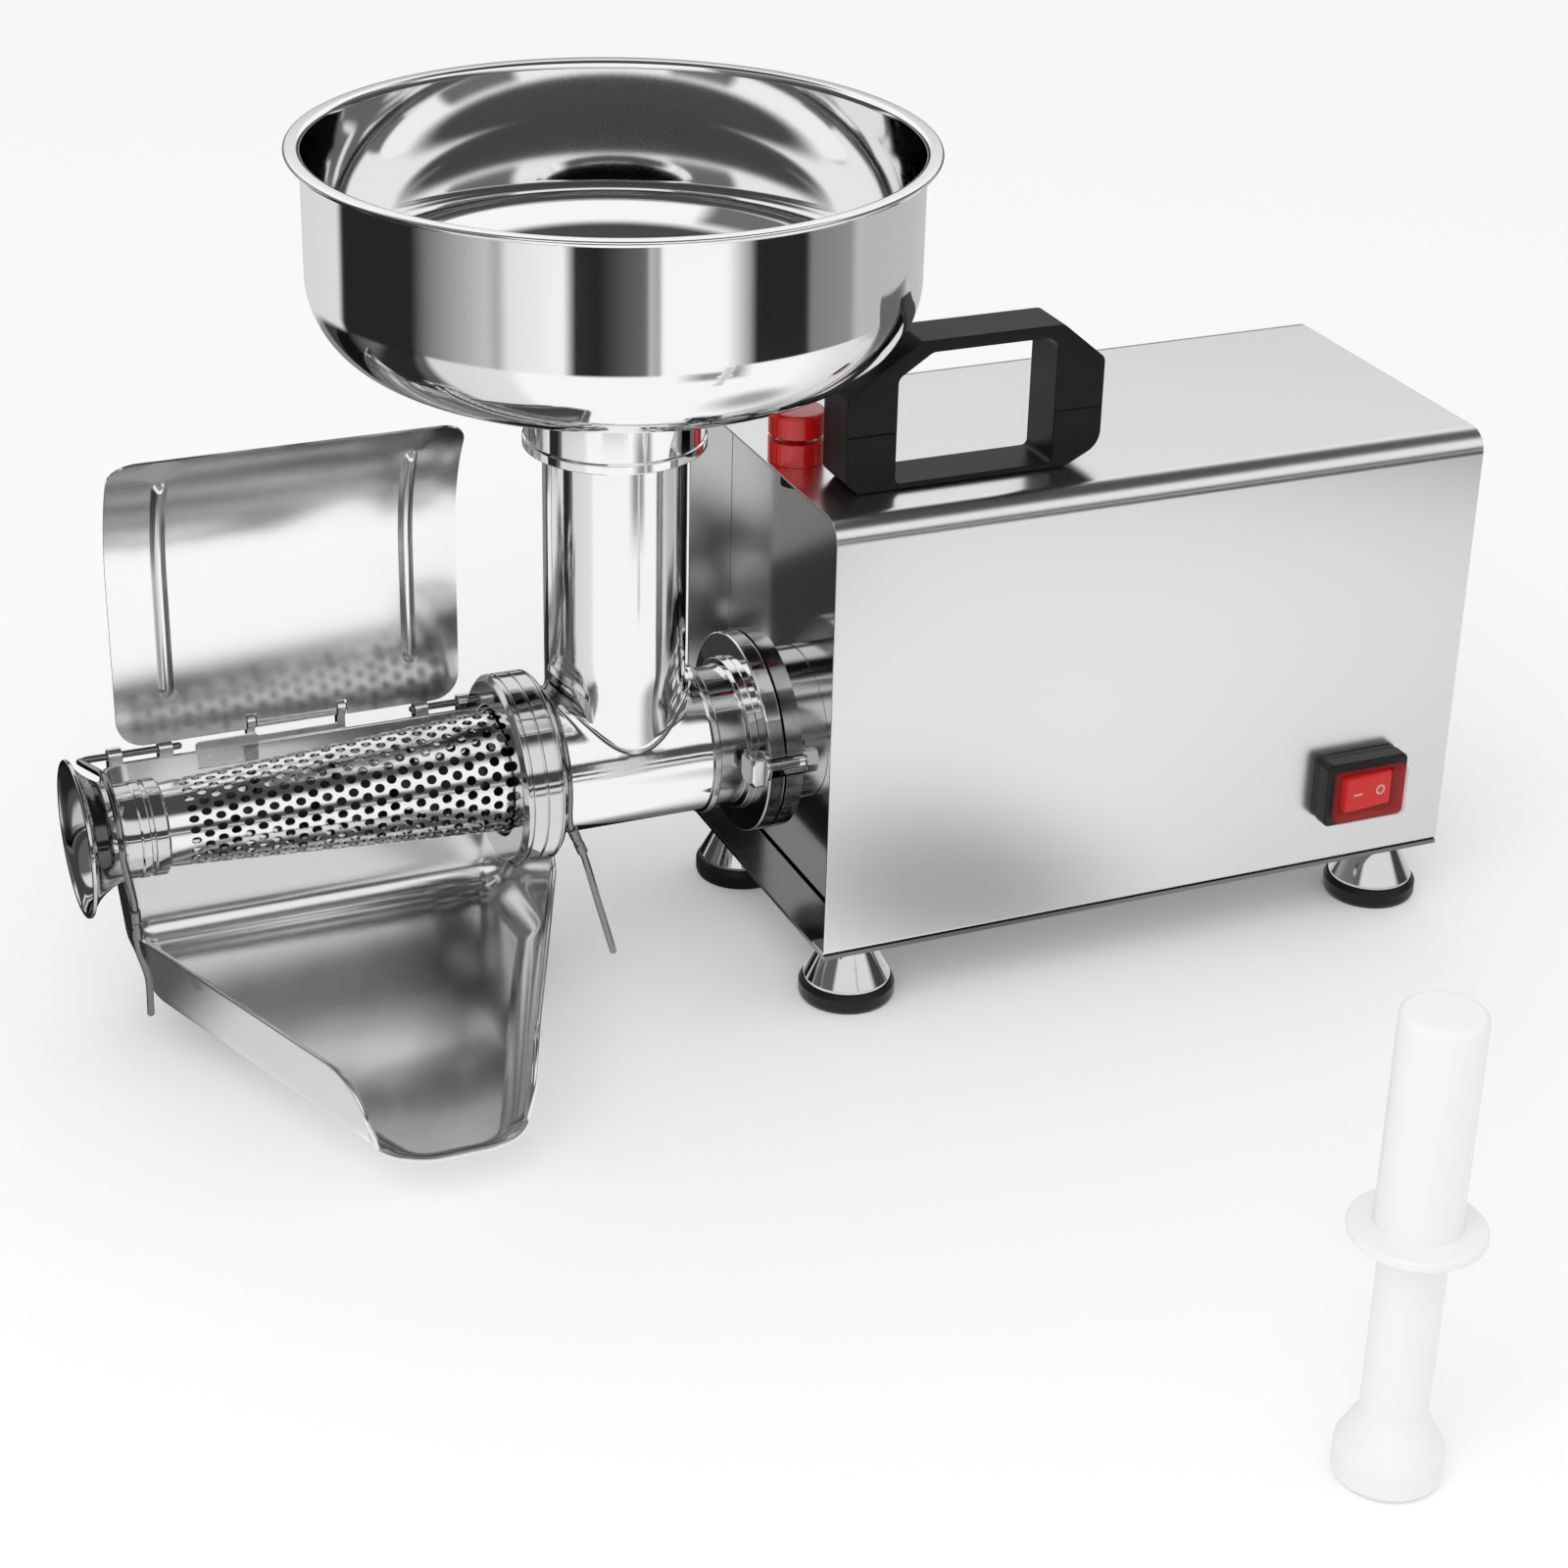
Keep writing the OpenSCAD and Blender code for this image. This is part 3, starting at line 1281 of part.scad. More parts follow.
module splash_cover() placed() color("gainsboro") {
    half = cover_w / 2;
    difference() {
        union() {
            intersection() {
                translate([-cover_mid_x, 0, 0]) along_x(-half, half)
                    cover_section(0, cover_t, cover_low_z, cover_top_z);
                translate([-cover_mid_x, 0, (cover_low_z + cover_top_z) / 2]) rotate([90, 0, 0])
                    translate([0, 0, -hinge_y - curl_r]) linear_extrude(2 * (hinge_y + curl_r))
                    translate([0, -(cover_top_z - cover_low_z) / 2 - cut])
                    rounded_sheet(cover_w, 0, cover_top_z - cover_low_z + 2 * cut,
                        cover_corner_r, cover_corner_r);
            }
            for (side = [-1, 1]) translate([-cover_mid_x + side * rib_offset, 0, 0])
                along_x(-rib_w / 2, rib_w / 2) cover_section(-rib_d, cover_t / 2, rib_low_z, rib_high_z);
            translate([-hinge_x - knuckle_l / 2, hinge_y, hinge_z]) rotate([0, 90, 0])
                cylinder(r = knuckle_r, h = knuckle_l);
        }
        translate([-hinge_x - knuckle_l / 2 - cut, hinge_y, hinge_z]) rotate([0, 90, 0])
            cylinder(r = hinge_rod_r + run_gap, h = knuckle_l + 2 * cut);
        notch = ear_t + 2 * ear_gap;
        for (side = [-1, 1])
            translate([-hinge_x + side * (knuckle_l + notch) / 2 - notch / 2,
                cover_y - cut, cover_low_z - cut])
                cube([notch, cover_t + 2 * cut, hinge_z + ear_r + ear_gap + cut - cover_low_z]);
    }
}

// Wire clips

function unit(v) = v / norm(v);

// A round wire along a path; aside is never in line with the path
module wire(path, aside) {
    last = len(path) - 1;
    points = [for (i = [0 : last])
        let (t = unit(path[min(i + 1, last)] - path[max(i - 1, 0)]),
            n = unit(cross(t, aside)), b = cross(t, n))
        each [for (k = [0 : clip_sides - 1]) let (a = k * 360 / clip_sides)
            path[i] + wire_r * (cos(a) * n + sin(a) * b)]];
    polyhedron(points, tube_faces(last + 1, clip_sides));
}

// The part of a clip that leaves its rod at x and wraps the barrel at radius r, in the plane of x
function clip_wrap(x, r) =
    let (rise = clip_z - axis_z, away = norm([clip_y, rise]), start = atan2(rise, clip_y) + acos(r / away))
    concat([[x, clip_y - lug_r, clip_z + lug_r * cos(start) / sin(start)]],
        [for (p = arc(0, axis_z, r, start, 180, clip_arc_steps)) [x, p[0], p[1]]]);

module sleeve(x, y, z) translate([x, y, z]) difference() {
    cylinder(r = sleeve_r, h = sleeve_l);
    translate([0, 0, -cut]) cylinder(r = wire_r + run_gap, h = sleeve_l + 2 * cut);
}

module clip_left() placed() color("silver") {
    r = clip_wrap_r_left;
    leg_x = left_x + left_shift;
    wire(concat(
        [[left_x + left_rod_l, clip_y, clip_z], [left_x + lug_r, clip_y, clip_z],
            [left_x + lug_r / 3, clip_y - lug_r / 3, clip_z]],
        clip_wrap(left_x, r),
        [[leg_x, -r, left_sleeve_z + sleeve_l + lug_r], [leg_x, -r, left_sleeve_z - lug_r],
            [left_x + left_end_shift, -r, left_sleeve_z / 2], [left_x + left_end_shift, -r, left_end_z]]),
        [1, -1, 0]);
    sleeve(leg_x, -r, left_sleeve_z);
}

module clip_right() placed() color("silver") {
    r = clip_wrap_r_right;
    wire(concat(
        [[-right_x - right_rod_l, clip_y, clip_z], [-right_x - lug_r, clip_y, clip_z],
            [-right_x - lug_r / 3, clip_y - lug_r / 3, clip_z]],
        clip_wrap(-right_x, r),
        [[-right_x, -r, right_sleeve_z - lug_r / 2], [-right_x + right_bend_shift, -r, right_bend_z],
            [-right_x + right_end_shift, -r, right_end_z]]), [1, 1, 0]);
    sleeve(-right_x, -r, right_sleeve_z);
}

// Feed pan

module feed_pan() placed() color("gainsboro") translate([-tube_x, 0, 0]) {
    bend_x = pan_wall_r - pan_bend_r;
    bend_z = pan_floor_z + pan_bend_r;
    neck_z = pan_floor_z - neck_l;
    rotate_extrude() polygon(concat(
        [[bore_r, tube_z + run_gap], [neck_bore_r, tube_z + run_gap], [neck_bore_r, neck_z],
            [neck_step_r, neck_z], [neck_step_r, neck_z + neck_step_h], [neck_r, neck_z + neck_step_h],
            [neck_r, pan_floor_z]],
        arc(bend_x, bend_z, pan_bend_r, -90, 0, 8),
        [[pan_wall_r, pan_z - pan_rim_t], [pan_r - pan_rim_t / 3, pan_z - pan_rim_t],
            [pan_r, pan_z - pan_rim_t / 2], [pan_r - pan_rim_t / 3, pan_z], [pan_wall_r - pan_t, pan_z]],
        arc(bend_x, bend_z, pan_bend_r - pan_t, 0, -90, 8),
        [[bore_r, pan_floor_z + pan_t]]));
}

// Food pusher

module food_pusher() placed() color("white") translate([pusher_x, -pusher_y, -foot_h])
    rotate_extrude() polygon([
        [0, 0], [pusher_foot_r - pusher_edge, 0], [pusher_foot_r, pusher_edge],
        [pusher_foot_r, pusher_foot_h / 2], [pusher_shaft_r, pusher_foot_h],
        [pusher_shaft_r, guard_z - guard_t / 2], [guard_r - guard_t / 4, guard_z - guard_t / 2],
        [guard_r, guard_z - guard_t / 4], [guard_r, guard_z + guard_t / 4],
        [guard_r - guard_t / 4, guard_z + guard_t / 2], [pusher_grip_r, guard_z + guard_t / 2],
        [pusher_grip_r, pusher_h - pusher_edge], [pusher_grip_r - pusher_edge, pusher_h], [0, pusher_h]]);

housing_shell();
front_panel();
rear_panel();
base_plate();
base_screws();
rear_screws();
foot_cones();
foot_pads();
foot_bolts();
handle_lower();
handle_upper();
handle_screws();
reset_cap();
reset_collar();
reset_switch();
switch_body();
switch_rocker();
switch_boot();
cable_gland();
gland_nut();
motor_stator();
motor_windings();
motor_front_bell();
motor_rear_bell();
motor_rotor();
motor_shaft();
motor_bearings();
motor_fan();
motor_pinion();
motor_saddle();
capacitor();
capacitor_strap();
terminal_block();
gearbox_case();
gearbox_cover();
middle_gears();
middle_shaft();
middle_bearings();
output_gear();
output_shaft();
output_bearings();
shaft_seal();
flange_gasket();
press_body();
clamp_bolts();
clamp_nuts();
press_screw();
ring_nut();
strainer_cone();
end_collar();
outlet_bell();
juice_tray();
hinge_bracket();
hinge_rod();
splash_cover();
clip_left();
clip_right();
feed_pan();
food_pusher();
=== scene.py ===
"""Looks of a screw press for fruit: chromed pan and barrel, satin housing, perforated cone and tray.

Every size is in metres. at(x, y, z) counts x from the housing's front edge, y from the barrel's plane
and z from the base plate's underside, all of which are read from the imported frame.
"""

import logging
import math
from dataclasses import dataclass
from enum import Enum
from typing import Any, Iterable, Optional, Sequence, Union

import bmesh
import bpy
from mathutils import Matrix, Vector
from mathutils.geometry import delaunay_2d_cdt


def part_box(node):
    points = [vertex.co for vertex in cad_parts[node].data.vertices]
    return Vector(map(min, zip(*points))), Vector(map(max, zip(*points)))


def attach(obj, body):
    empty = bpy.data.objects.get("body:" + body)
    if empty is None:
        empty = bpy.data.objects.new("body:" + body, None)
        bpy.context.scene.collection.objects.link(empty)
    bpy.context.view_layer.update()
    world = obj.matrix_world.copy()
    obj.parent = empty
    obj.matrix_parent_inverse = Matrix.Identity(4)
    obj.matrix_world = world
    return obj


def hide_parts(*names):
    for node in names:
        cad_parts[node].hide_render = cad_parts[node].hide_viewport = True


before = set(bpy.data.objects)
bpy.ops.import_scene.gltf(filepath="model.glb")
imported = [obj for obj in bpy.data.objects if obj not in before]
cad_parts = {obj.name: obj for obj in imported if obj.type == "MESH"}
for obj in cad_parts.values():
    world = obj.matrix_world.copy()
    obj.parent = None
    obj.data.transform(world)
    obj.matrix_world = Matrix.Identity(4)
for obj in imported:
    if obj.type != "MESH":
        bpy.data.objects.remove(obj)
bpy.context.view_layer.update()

log = logging.getLogger("press")

Pair = tuple[float, float]
Corner = tuple[float, float, float]

FRONT_X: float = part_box("housing_shell")[0].x
BARREL_Y: float = (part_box("ring_nut")[0].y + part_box("ring_nut")[1].y) / 2
BASE_Z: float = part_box("base_plate")[0].z
AXIS_Z: float = (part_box("ring_nut")[0].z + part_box("ring_nut")[1].z) / 2 - BASE_Z
WELD = 1e-5
OVER = 0.002

# The third column is the axis that a lathe's height runs along
TURNS = {"X": Matrix(((0, 0, 1), (1, 0, 0), (0, 1, 0))), "Z": Matrix.Identity(3)}
# Stands an outline's (a, b) up as (x, z)
UPRIGHT = Matrix(((1, 0, 0, 0), (0, 0, -1, 0), (0, 1, 0, 0), (0, 0, 0, 1)))


def at(x: float, y: float, z: float) -> Vector:
    """Place in the row frame of a point counted from the housing's front edge, barrel and base."""
    return Vector((FRONT_X + x, BARREL_Y + y, BASE_Z + z))


class Slot(Enum):
    """The record's material slots."""

    BRUSHED = "brushed_sheet"
    FRONT = "front_sheet"
    BASE = "base_sheet"
    POLISHED = "polished_steel"
    CAST = "cast_polished"
    PAN = "pan_steel"
    TRAY = "tray_steel"
    COVER = "cover_steel"
    PERFORATED = "perforated_steel"
    WIRE = "wire_steel"
    BOLT = "bolt_steel"
    GEAR = "gear_steel"
    CORE = "core_steel"
    COPPER = "copper_wire"
    ALUMINIUM = "cast_aluminium"
    GEARBOX = "gearbox_metal"
    BRACKET = "painted_bracket"
    RUBBER = "black_rubber"
    PLASTIC = "black_plastic"
    SWITCH = "switch_black"
    RED = "red_plastic"
    BOOT = "red_boot"
    CAN = "white_can"
    IVORY = "ivory_plastic"
    WHITE = "white_plastic"


# Node graphs

Link = Union[float, int, str, Sequence[float], bpy.types.NodeSocket, "Value", Any]


class Graph:
    """Adds nodes to a shader or geometry tree and links them."""

    def __init__(self, tree: bpy.types.NodeTree) -> None:
        """Starts on a tree, without its default nodes.

        Args:
            tree: the node tree to fill.
        """
        self.tree = tree
        tree.nodes.clear()

    def node(self, kind: str, settings: Optional[dict[str, Any]] = None,
             inputs: Optional[dict[Union[str, int], Link]] = None) -> bpy.types.Node:
        """Adds one node.

        Args:
            kind: the node's type.
            settings: its properties, and for a ramp its "stops" as (place, colour) pairs.
            inputs: values or sockets for its inputs, by name or index.

        Returns:
            The new node.
        """
        made = self.tree.nodes.new(kind)
        for name, value in (settings or {}).items():
            if name == "stops":
                ramp = made.color_ramp.elements
                while len(ramp) < len(value):
                    ramp.new(0.5)
                for stop, (place, color) in zip(ramp, value):
                    stop.position = place
                    stop.color = color
            else:
                setattr(made, name, value)
        for name, value in (inputs or {}).items():
            self.put(made.inputs[name], value)
        return made

    def put(self, target: bpy.types.NodeSocket, value: Link) -> None:
        """Links an input to a socket, or sets its constant."""
        value = value.socket if isinstance(value, Value) else value
        if isinstance(value, bpy.types.NodeSocket):
            self.tree.links.new(value, target)
        else:
            target.default_value = value

    def value(self, socket: Union[bpy.types.NodeSocket, float]) -> "Value":
        """Wraps a socket for arithmetic."""
        return Value(self, socket)


class Value:
    """A number socket with arithmetic operators, each of which adds one Math node."""

    def __init__(self, graph: Graph, socket: Union[bpy.types.NodeSocket, float]) -> None:
        """Wraps a socket or a plain number.

        Args:
            graph: the graph that new nodes go to.
            socket: the output socket, or a number.
        """
        self.graph = graph
        self.socket = socket

    def made(self, operation: str, *operands: Any) -> "Value":
        """The result of a new Math node."""
        node = self.graph.node("ShaderNodeMath", {"operation": operation}, dict(enumerate(operands)))
        return Value(self.graph, node.outputs[0])

    def math(self, operation: str, *others: Any) -> "Value":
        """Adds a Math node on this value.

        Args:
            operation: the Math node's operation.
            others: the further operands, as values or numbers.

        Returns:
            The node's result.
        """
        return self.made(operation, self, *others)

    def __add__(self, other: Any) -> "Value":
        """Sum."""
        return self.math("ADD", other)

    def __sub__(self, other: Any) -> "Value":
        """Difference."""
        return self.math("SUBTRACT", other)

    def __rsub__(self, other: float) -> "Value":
        """Difference with a number in front."""
        return self.made("SUBTRACT", other, self)

    def __mul__(self, other: Any) -> "Value":
        """Product."""
        return self.math("MULTIPLY", other)

    def __truediv__(self, other: Any) -> "Value":
        """Quotient."""
        return self.math("DIVIDE", other)

    __radd__ = __add__
    __rmul__ = __mul__

    def step(self, low: float, high: float) -> "Value":
        """Rises smoothly from 0 at low to 1 at high, or falls where low is the larger."""
        node = self.graph.node("ShaderNodeMapRange", {"interpolation_type": "SMOOTHSTEP"},
                               {0: self, 1: low, 2: high, 3: 0.0, 4: 1.0})
        return Value(self.graph, node.outputs[0])


class Shader(Graph):
    """A material with one Principled shader, patterned on the piece's own coordinates."""

    def __init__(self, name: str) -> None:
        """Makes the material.

        Args:
            name: the material's name.
        """
        self.material = bpy.data.materials.new(name)
        self.material.use_nodes = True
        super().__init__(self.material.node_tree)
        self.surface = self.node("ShaderNodeBsdfPrincipled")
        self.node("ShaderNodeOutputMaterial", None, {"Surface": self.surface.outputs[0]})
        self.place = self.node("ShaderNodeTexCoord").outputs["Object"]

    def axes(self) -> tuple[Value, Value, Value]:
        """The piece's own X, Y and Z."""
        split = self.node("ShaderNodeSeparateXYZ", None, {0: self.place})
        return tuple(self.value(o) for o in split.outputs)

    def noise(self, scale: float, stretch: Corner = (1.0, 1.0, 1.0), detail: float = 3.0,
              roughness: float = 0.55) -> Value:
        """Noise on the piece's own coordinates.

        Args:
            scale: features per metre.
            stretch: factor on each axis, small along the grain.
            detail: octaves.
            roughness: weight of the finer octaves.

        Returns:
            The noise, from 0 to 1.
        """
        mapped = self.node("ShaderNodeMapping", None, {"Vector": self.place, "Scale": stretch})
        node = self.node("ShaderNodeTexNoise", None, {
            "Vector": mapped.outputs[0], "Scale": scale, "Detail": detail, "Roughness": roughness})
        return self.value(node.outputs["Fac"])

    def mixed(self, factor: Value, dark: Sequence[float], light: Sequence[float]) -> bpy.types.NodeSocket:
        """A colour between two by a factor."""
        node = self.node("ShaderNodeMix", {"data_type": "RGBA", "clamp_factor": True},
                         {"Factor": factor, 6: (*dark, 1.0), 7: (*light, 1.0)})
        return node.outputs[2]

    def tint(self, factor: Value, color: Corner, share: float) -> None:
        """Feeds the base colour, from a share darker to a share lighter than a colour."""
        dark = tuple(c * (1 - share) for c in color)
        light = tuple(min(1.0, c * (1 + share)) for c in color)
        self.feed("Base Color", self.mixed(factor, dark, light))

    def bump(self, height: Value, distance: float, strength: float = 1.0) -> None:
        """Feeds the shader's normal from a height."""
        node = self.node("ShaderNodeBump", None,
                         {"Height": height, "Distance": distance, "Strength": strength})
        self.tree.links.new(node.outputs[0], self.surface.inputs["Normal"])

    def feed(self, name: str, value: Link) -> None:
        """Links or sets one socket of the surface shader."""
        self.put(self.surface.inputs[name], value)


class Grain(Enum):
    """The way a metal's fine scratches run, as factors on each axis."""

    ALONG_X = (0.02, 1.0, 1.0)
    ALONG_Y = (1.0, 0.02, 1.0)
    ROUND = (1.0, 0.25, 0.25)
    NONE = (1.0, 1.0, 1.0)


@dataclass(frozen=True)
class Metal:
    """A metal finish: tint, gloss, grain and the faint clouding that handling leaves."""

    color: Corner = (0.86, 0.86, 0.865)
    roughness: float = 0.08
    spread: float = 0.04
    grain: Grain = Grain.NONE
    grain_scale: float = 1400.0
    grain_depth: float = 0.000004
    cloud_and_shade_spot: float = 0.03

    def make(self, name: str) -> bpy.types.Material:
        """Builds the material.

        Args:
            name: the material's name.

        Returns:
            The material.
        """
        shader = Shader(name)
        grain = shader.noise(self.grain_scale, self.grain.value, 2.0)
        cloud_and_shade_spot = shader.noise(9.0, detail=4.0)
        shader.tint(cloud_and_shade_spot * 0.7 + grain * 0.3, self.color, self.cloud_and_shade_spot)
        shader.feed("Metallic", 1.0)
        shader.feed("Roughness", self.roughness + (cloud_and_shade_spot - 0.5) * self.spread + (grain - 0.5) * self.spread)
        shader.bump(grain, self.grain_depth)
        return shader.material


@dataclass(frozen=True)
class CastMetal:
    """Sand-cast or painted metal with a rough skin."""

    color: Corner = (0.5, 0.5, 0.5)
    metallic: float = 1.0
    roughness: float = 0.5
    pebble: float = 900.0
    depth: float = 0.00012

    def make(self, name: str) -> bpy.types.Material:
        """Builds the material."""
        shader = Shader(name)
        pebble = shader.noise(self.pebble, detail=3.0)
        cloud_and_shade_spot = shader.noise(25.0)
        dark = tuple(c * 0.85 for c in self.color)
        shader.feed("Base Color", shader.mixed(cloud_and_shade_spot * 0.6 + pebble * 0.4, dark, self.color))
        shader.feed("Metallic", self.metallic)
        shader.feed("Roughness", self.roughness + (pebble - 0.5) * 0.2)
        shader.bump(pebble, self.depth, 0.5)
        return shader.material


@dataclass(frozen=True)
class Moulded:
    """Moulded plastic or rubber with a fine texture and slight wear."""

    color: Corner = (0.02, 0.02, 0.02)
    roughness: float = 0.4
    coat: float = 0.0
    texture: float = 2600.0
    depth: float = 0.00003
    alpha: float = 1.0
    specular: float = 0.5
    cloud_and_shade_spot: float = 0.1

    def make(self, name: str) -> bpy.types.Material:
        """Builds the material."""
        shader = Shader(name)
        fine = shader.noise(self.texture, detail=1.0)
        cloud_and_shade_spot = shader.noise(40.0)
        shader.tint(cloud_and_shade_spot, self.color, self.cloud_and_shade_spot)
        shader.feed("Roughness", self.roughness + (cloud_and_shade_spot - 0.5) * 0.08 + (fine - 0.5) * 0.08)
        shader.feed("Coat Weight", self.coat)
        shader.feed("Coat Roughness", 0.08)
        shader.feed("Specular IOR Level", self.specular)
        if self.alpha < 1:
            shader.feed("Alpha", self.alpha)
        shader.bump(fine, self.depth, 0.4)
        return shader.material


@dataclass(frozen=True)
class Winding:
    """Enamelled copper wire laid in turns round the barrel's axis."""

    color: Corner = (0.55, 0.2, 0.08)
    turns: float = 520.0

    def make(self, name: str) -> bpy.types.Material:
        """Builds the material."""
        shader = Shader(name)
        wave = shader.node("ShaderNodeTexWave", {"wave_type": "BANDS", "bands_direction": "DIAGONAL"},
                           {"Vector": shader.place, "Scale": self.turns, "Distortion": 1.5})
        strand = shader.value(wave.outputs["Fac"])
        # The colour darkens between the turns: painted shade in the gaps between wires.
        shader.feed("Base Color", shader.mixed(strand, tuple(c * 0.35 for c in self.color), self.color))
        shader.feed("Metallic", 0.8)
        shader.feed("Roughness", 0.3 + (1 - strand) * 0.25)
        shader.bump(strand, 0.0004)
        return shader.material


FINISHES: dict[Slot, Any] = {
    Slot.BRUSHED: Metal((0.8, 0.8, 0.805), 0.24, 0.02, Grain.ALONG_X, 2400.0, 0.000001, 0.01),
    Slot.FRONT: Metal((0.7, 0.7, 0.705), 0.11, 0.02, Grain.ALONG_Y, 1800.0, 0.000001, 0.01),
    Slot.BASE: Metal((0.22, 0.22, 0.225), 0.14, 0.05, Grain.ALONG_X, 1500.0, 0.000003, 0.02),
    Slot.POLISHED: Metal((0.66, 0.66, 0.665), 0.07, 0.03, Grain.ROUND, 1500.0, 0.000002, 0.02),
    Slot.CAST: Metal((0.9, 0.9, 0.905), 0.075, 0.03, Grain.NONE, 500.0, 0.000006, 0.02),
    Slot.PAN: Metal((0.92, 0.92, 0.925), 0.05, 0.02, Grain.ROUND, 1200.0, 0.000001, 0.015),
    Slot.TRAY: Metal((0.82, 0.82, 0.83), 0.17, 0.05, Grain.ALONG_Y, 1700.0, 0.000003, 0.03),
    Slot.COVER: Metal((0.96, 0.96, 0.965), 0.18, 0.03, Grain.ALONG_X, 1700.0, 0.000003, 0.02),
    Slot.PERFORATED: Metal((0.88, 0.88, 0.885), 0.13, 0.06, Grain.ROUND, 1500.0, 0.000003, 0.03),
    Slot.WIRE: Metal((0.24, 0.24, 0.245), 0.1, 0.04, Grain.NONE, 1500.0, 0.000002, 0.02),
    Slot.BOLT: Metal((0.82, 0.82, 0.83), 0.12, 0.05, Grain.NONE, 1500.0, 0.000003, 0.03),
    Slot.GEAR: Metal((0.55, 0.56, 0.58), 0.3, 0.1, Grain.ROUND, 900.0, 0.00001, 0.08),
    Slot.CORE: Metal((0.4, 0.41, 0.43), 0.4, 0.1, Grain.ROUND, 1800.0, 0.0001, 0.1),
    Slot.COPPER: Winding(),
    Slot.ALUMINIUM: CastMetal((0.62, 0.63, 0.64), 1.0, 0.48, 800.0, 0.00015),
    Slot.GEARBOX: Metal((0.62, 0.62, 0.63), 0.12, 0.05, Grain.ROUND, 1200.0, 0.000004, 0.03),
    Slot.BRACKET: CastMetal((0.12, 0.125, 0.13), 0.0, 0.45, 1500.0, 0.00006),
    Slot.RUBBER: Moulded((0.008, 0.008, 0.008), 0.38, 0.0, 1800.0, 0.00003, 1.0, 0.25),
    Slot.PLASTIC: Moulded((0.009, 0.009, 0.0095), 0.36, 0.0, 3200.0, 0.00003, 1.0, 0.2),
    Slot.SWITCH: Moulded((0.008, 0.008, 0.0085), 0.28, 0.0, 3000.0, 0.00002, 1.0, 0.35),
    Slot.RED: Moulded((0.78, 0.012, 0.01), 0.22, 0.5, 1500.0, 0.00001),
    Slot.BOOT: Moulded((0.7, 0.008, 0.008), 0.1, 0.2, 1500.0, 0.00001, 0.18),
    Slot.CAN: Moulded((0.75, 0.75, 0.73), 0.35, 0.1, 1500.0, 0.00002),
    Slot.IVORY: Moulded((0.78, 0.72, 0.58), 0.4, 0.0, 1500.0, 0.00002),
    Slot.WHITE: Moulded((0.93, 0.93, 0.935), 0.4, 0.0, 900.0, 0.00002, 1.0, 0.3, 0.01),
}


class Paints:
    """The materials, each made once."""

    made: dict[str, bpy.types.Material] = {}

    @classmethod
    def kept(cls, name: str, finish: Any) -> bpy.types.Material:
        """The material of a name, made from its finish the first time."""
        if name not in cls.made:
            cls.made[name] = finish.make(name)
        return cls.made[name]

    @classmethod
    def inner_shade(cls) -> bpy.types.Material:
        """Near-black steel for the cone's inside and the screw: painted shade for the dark inside of the
        press.
        """
        return cls.kept("inner_shade_steel", Metal((0.07, 0.07, 0.072), 0.5, 0.1, Grain.NONE, 900.0, 0.00001, 0.1))

    @classmethod
    def turned(cls) -> bpy.types.Material:
        """Bare turned steel of the casting's machined rear end, which isn't polished."""
        finish = Metal((0.42, 0.42, 0.43), 0.16, 0.05, Grain.ROUND, 1500.0, 0.000004, 0.03)
        return cls.kept("turned_steel", finish)

    @classmethod
    def of(cls, slot: Slot) -> bpy.types.Material:
        """The slot's material."""
        return cls.kept(slot.value, FINISHES[slot])

# Meshes

def arc(cx: float, cy: float, r: float, start: float, end: float, steps: int) -> list[Pair]:
    """Points of an arc, both ends included.

    Args:
        cx: centre, first axis.
        cy: centre, second axis.
        r: radius.
        start: first angle in degrees.
        end: last angle in degrees.
        steps: number of steps.

    Returns:
        The points.
    """
    turns = [math.radians(start + (end - start) * i / steps) for i in range(steps + 1)]
    return [(cx + r * math.cos(a), cy + r * math.sin(a)) for a in turns]


def rounded(corners: Sequence[Sequence[float]], closed: bool = True, steps: int = 6) -> list[Pair]:
    """An outline whose corners are rounded.

    Args:
        corners: points (a, b) or (a, b, radius).
        closed: whether the last corner joins the first.
        steps: steps of each rounding.

    Returns:
        The outline's points.
    """
    made: list[Pair] = []
    count = len(corners)
    for i, corner in enumerate(corners):
        here = Vector(corner[:2])
        radius = corner[2] if len(corner) > 2 else 0.0
        if radius <= 0 or (not closed and i in (0, count - 1)):
            made.append((here.x, here.y))
            continue
        before = (Vector(corners[i - 1][:2]) - here).normalized()
        after = (Vector(corners[(i + 1) % count][:2]) - here).normalized()
        half = before.angle(after) / 2
        if half > math.radians(89.5):
            made.append((here.x, here.y))
            continue
        reach = radius / math.tan(half)
        centre = here + (before + after).normalized() * (radius / math.sin(half))
        first = here + before * reach - centre
        last = here + after * reach - centre
        turn = first.angle_signed(last)
        for k in range(steps + 1):
            a = math.atan2(first.y, first.x) - turn * k / steps
            made.append((centre.x + radius * math.cos(a), centre.y + radius * math.sin(a)))
    return made


def linked(name: str, data: Any) -> bpy.types.Object:
    """A new object in the scene that holds some data."""
    obj = bpy.data.objects.new(name, data)
    bpy.context.scene.collection.objects.link(obj)
    return obj

def mesh_object(name: str, points: Iterable[Sequence[float]], faces: Iterable[Sequence[int]],
                weld: float = WELD) -> bpy.types.Object:
    """A linked object from points and faces, welded, with its faces turned outwards.

    Args:
        name: the object's name.
        points: vertices in the row frame.
        faces: vertex numbers of each face.
        weld: distance below which vertices become one.

    Returns:
        The object.
    """
    mesh = bpy.data.meshes.new(name)
    mesh.from_pydata([tuple(p) for p in points], [], [tuple(f) for f in faces])
    obj = linked(name, mesh)
    tidy(obj, weld)
    return obj


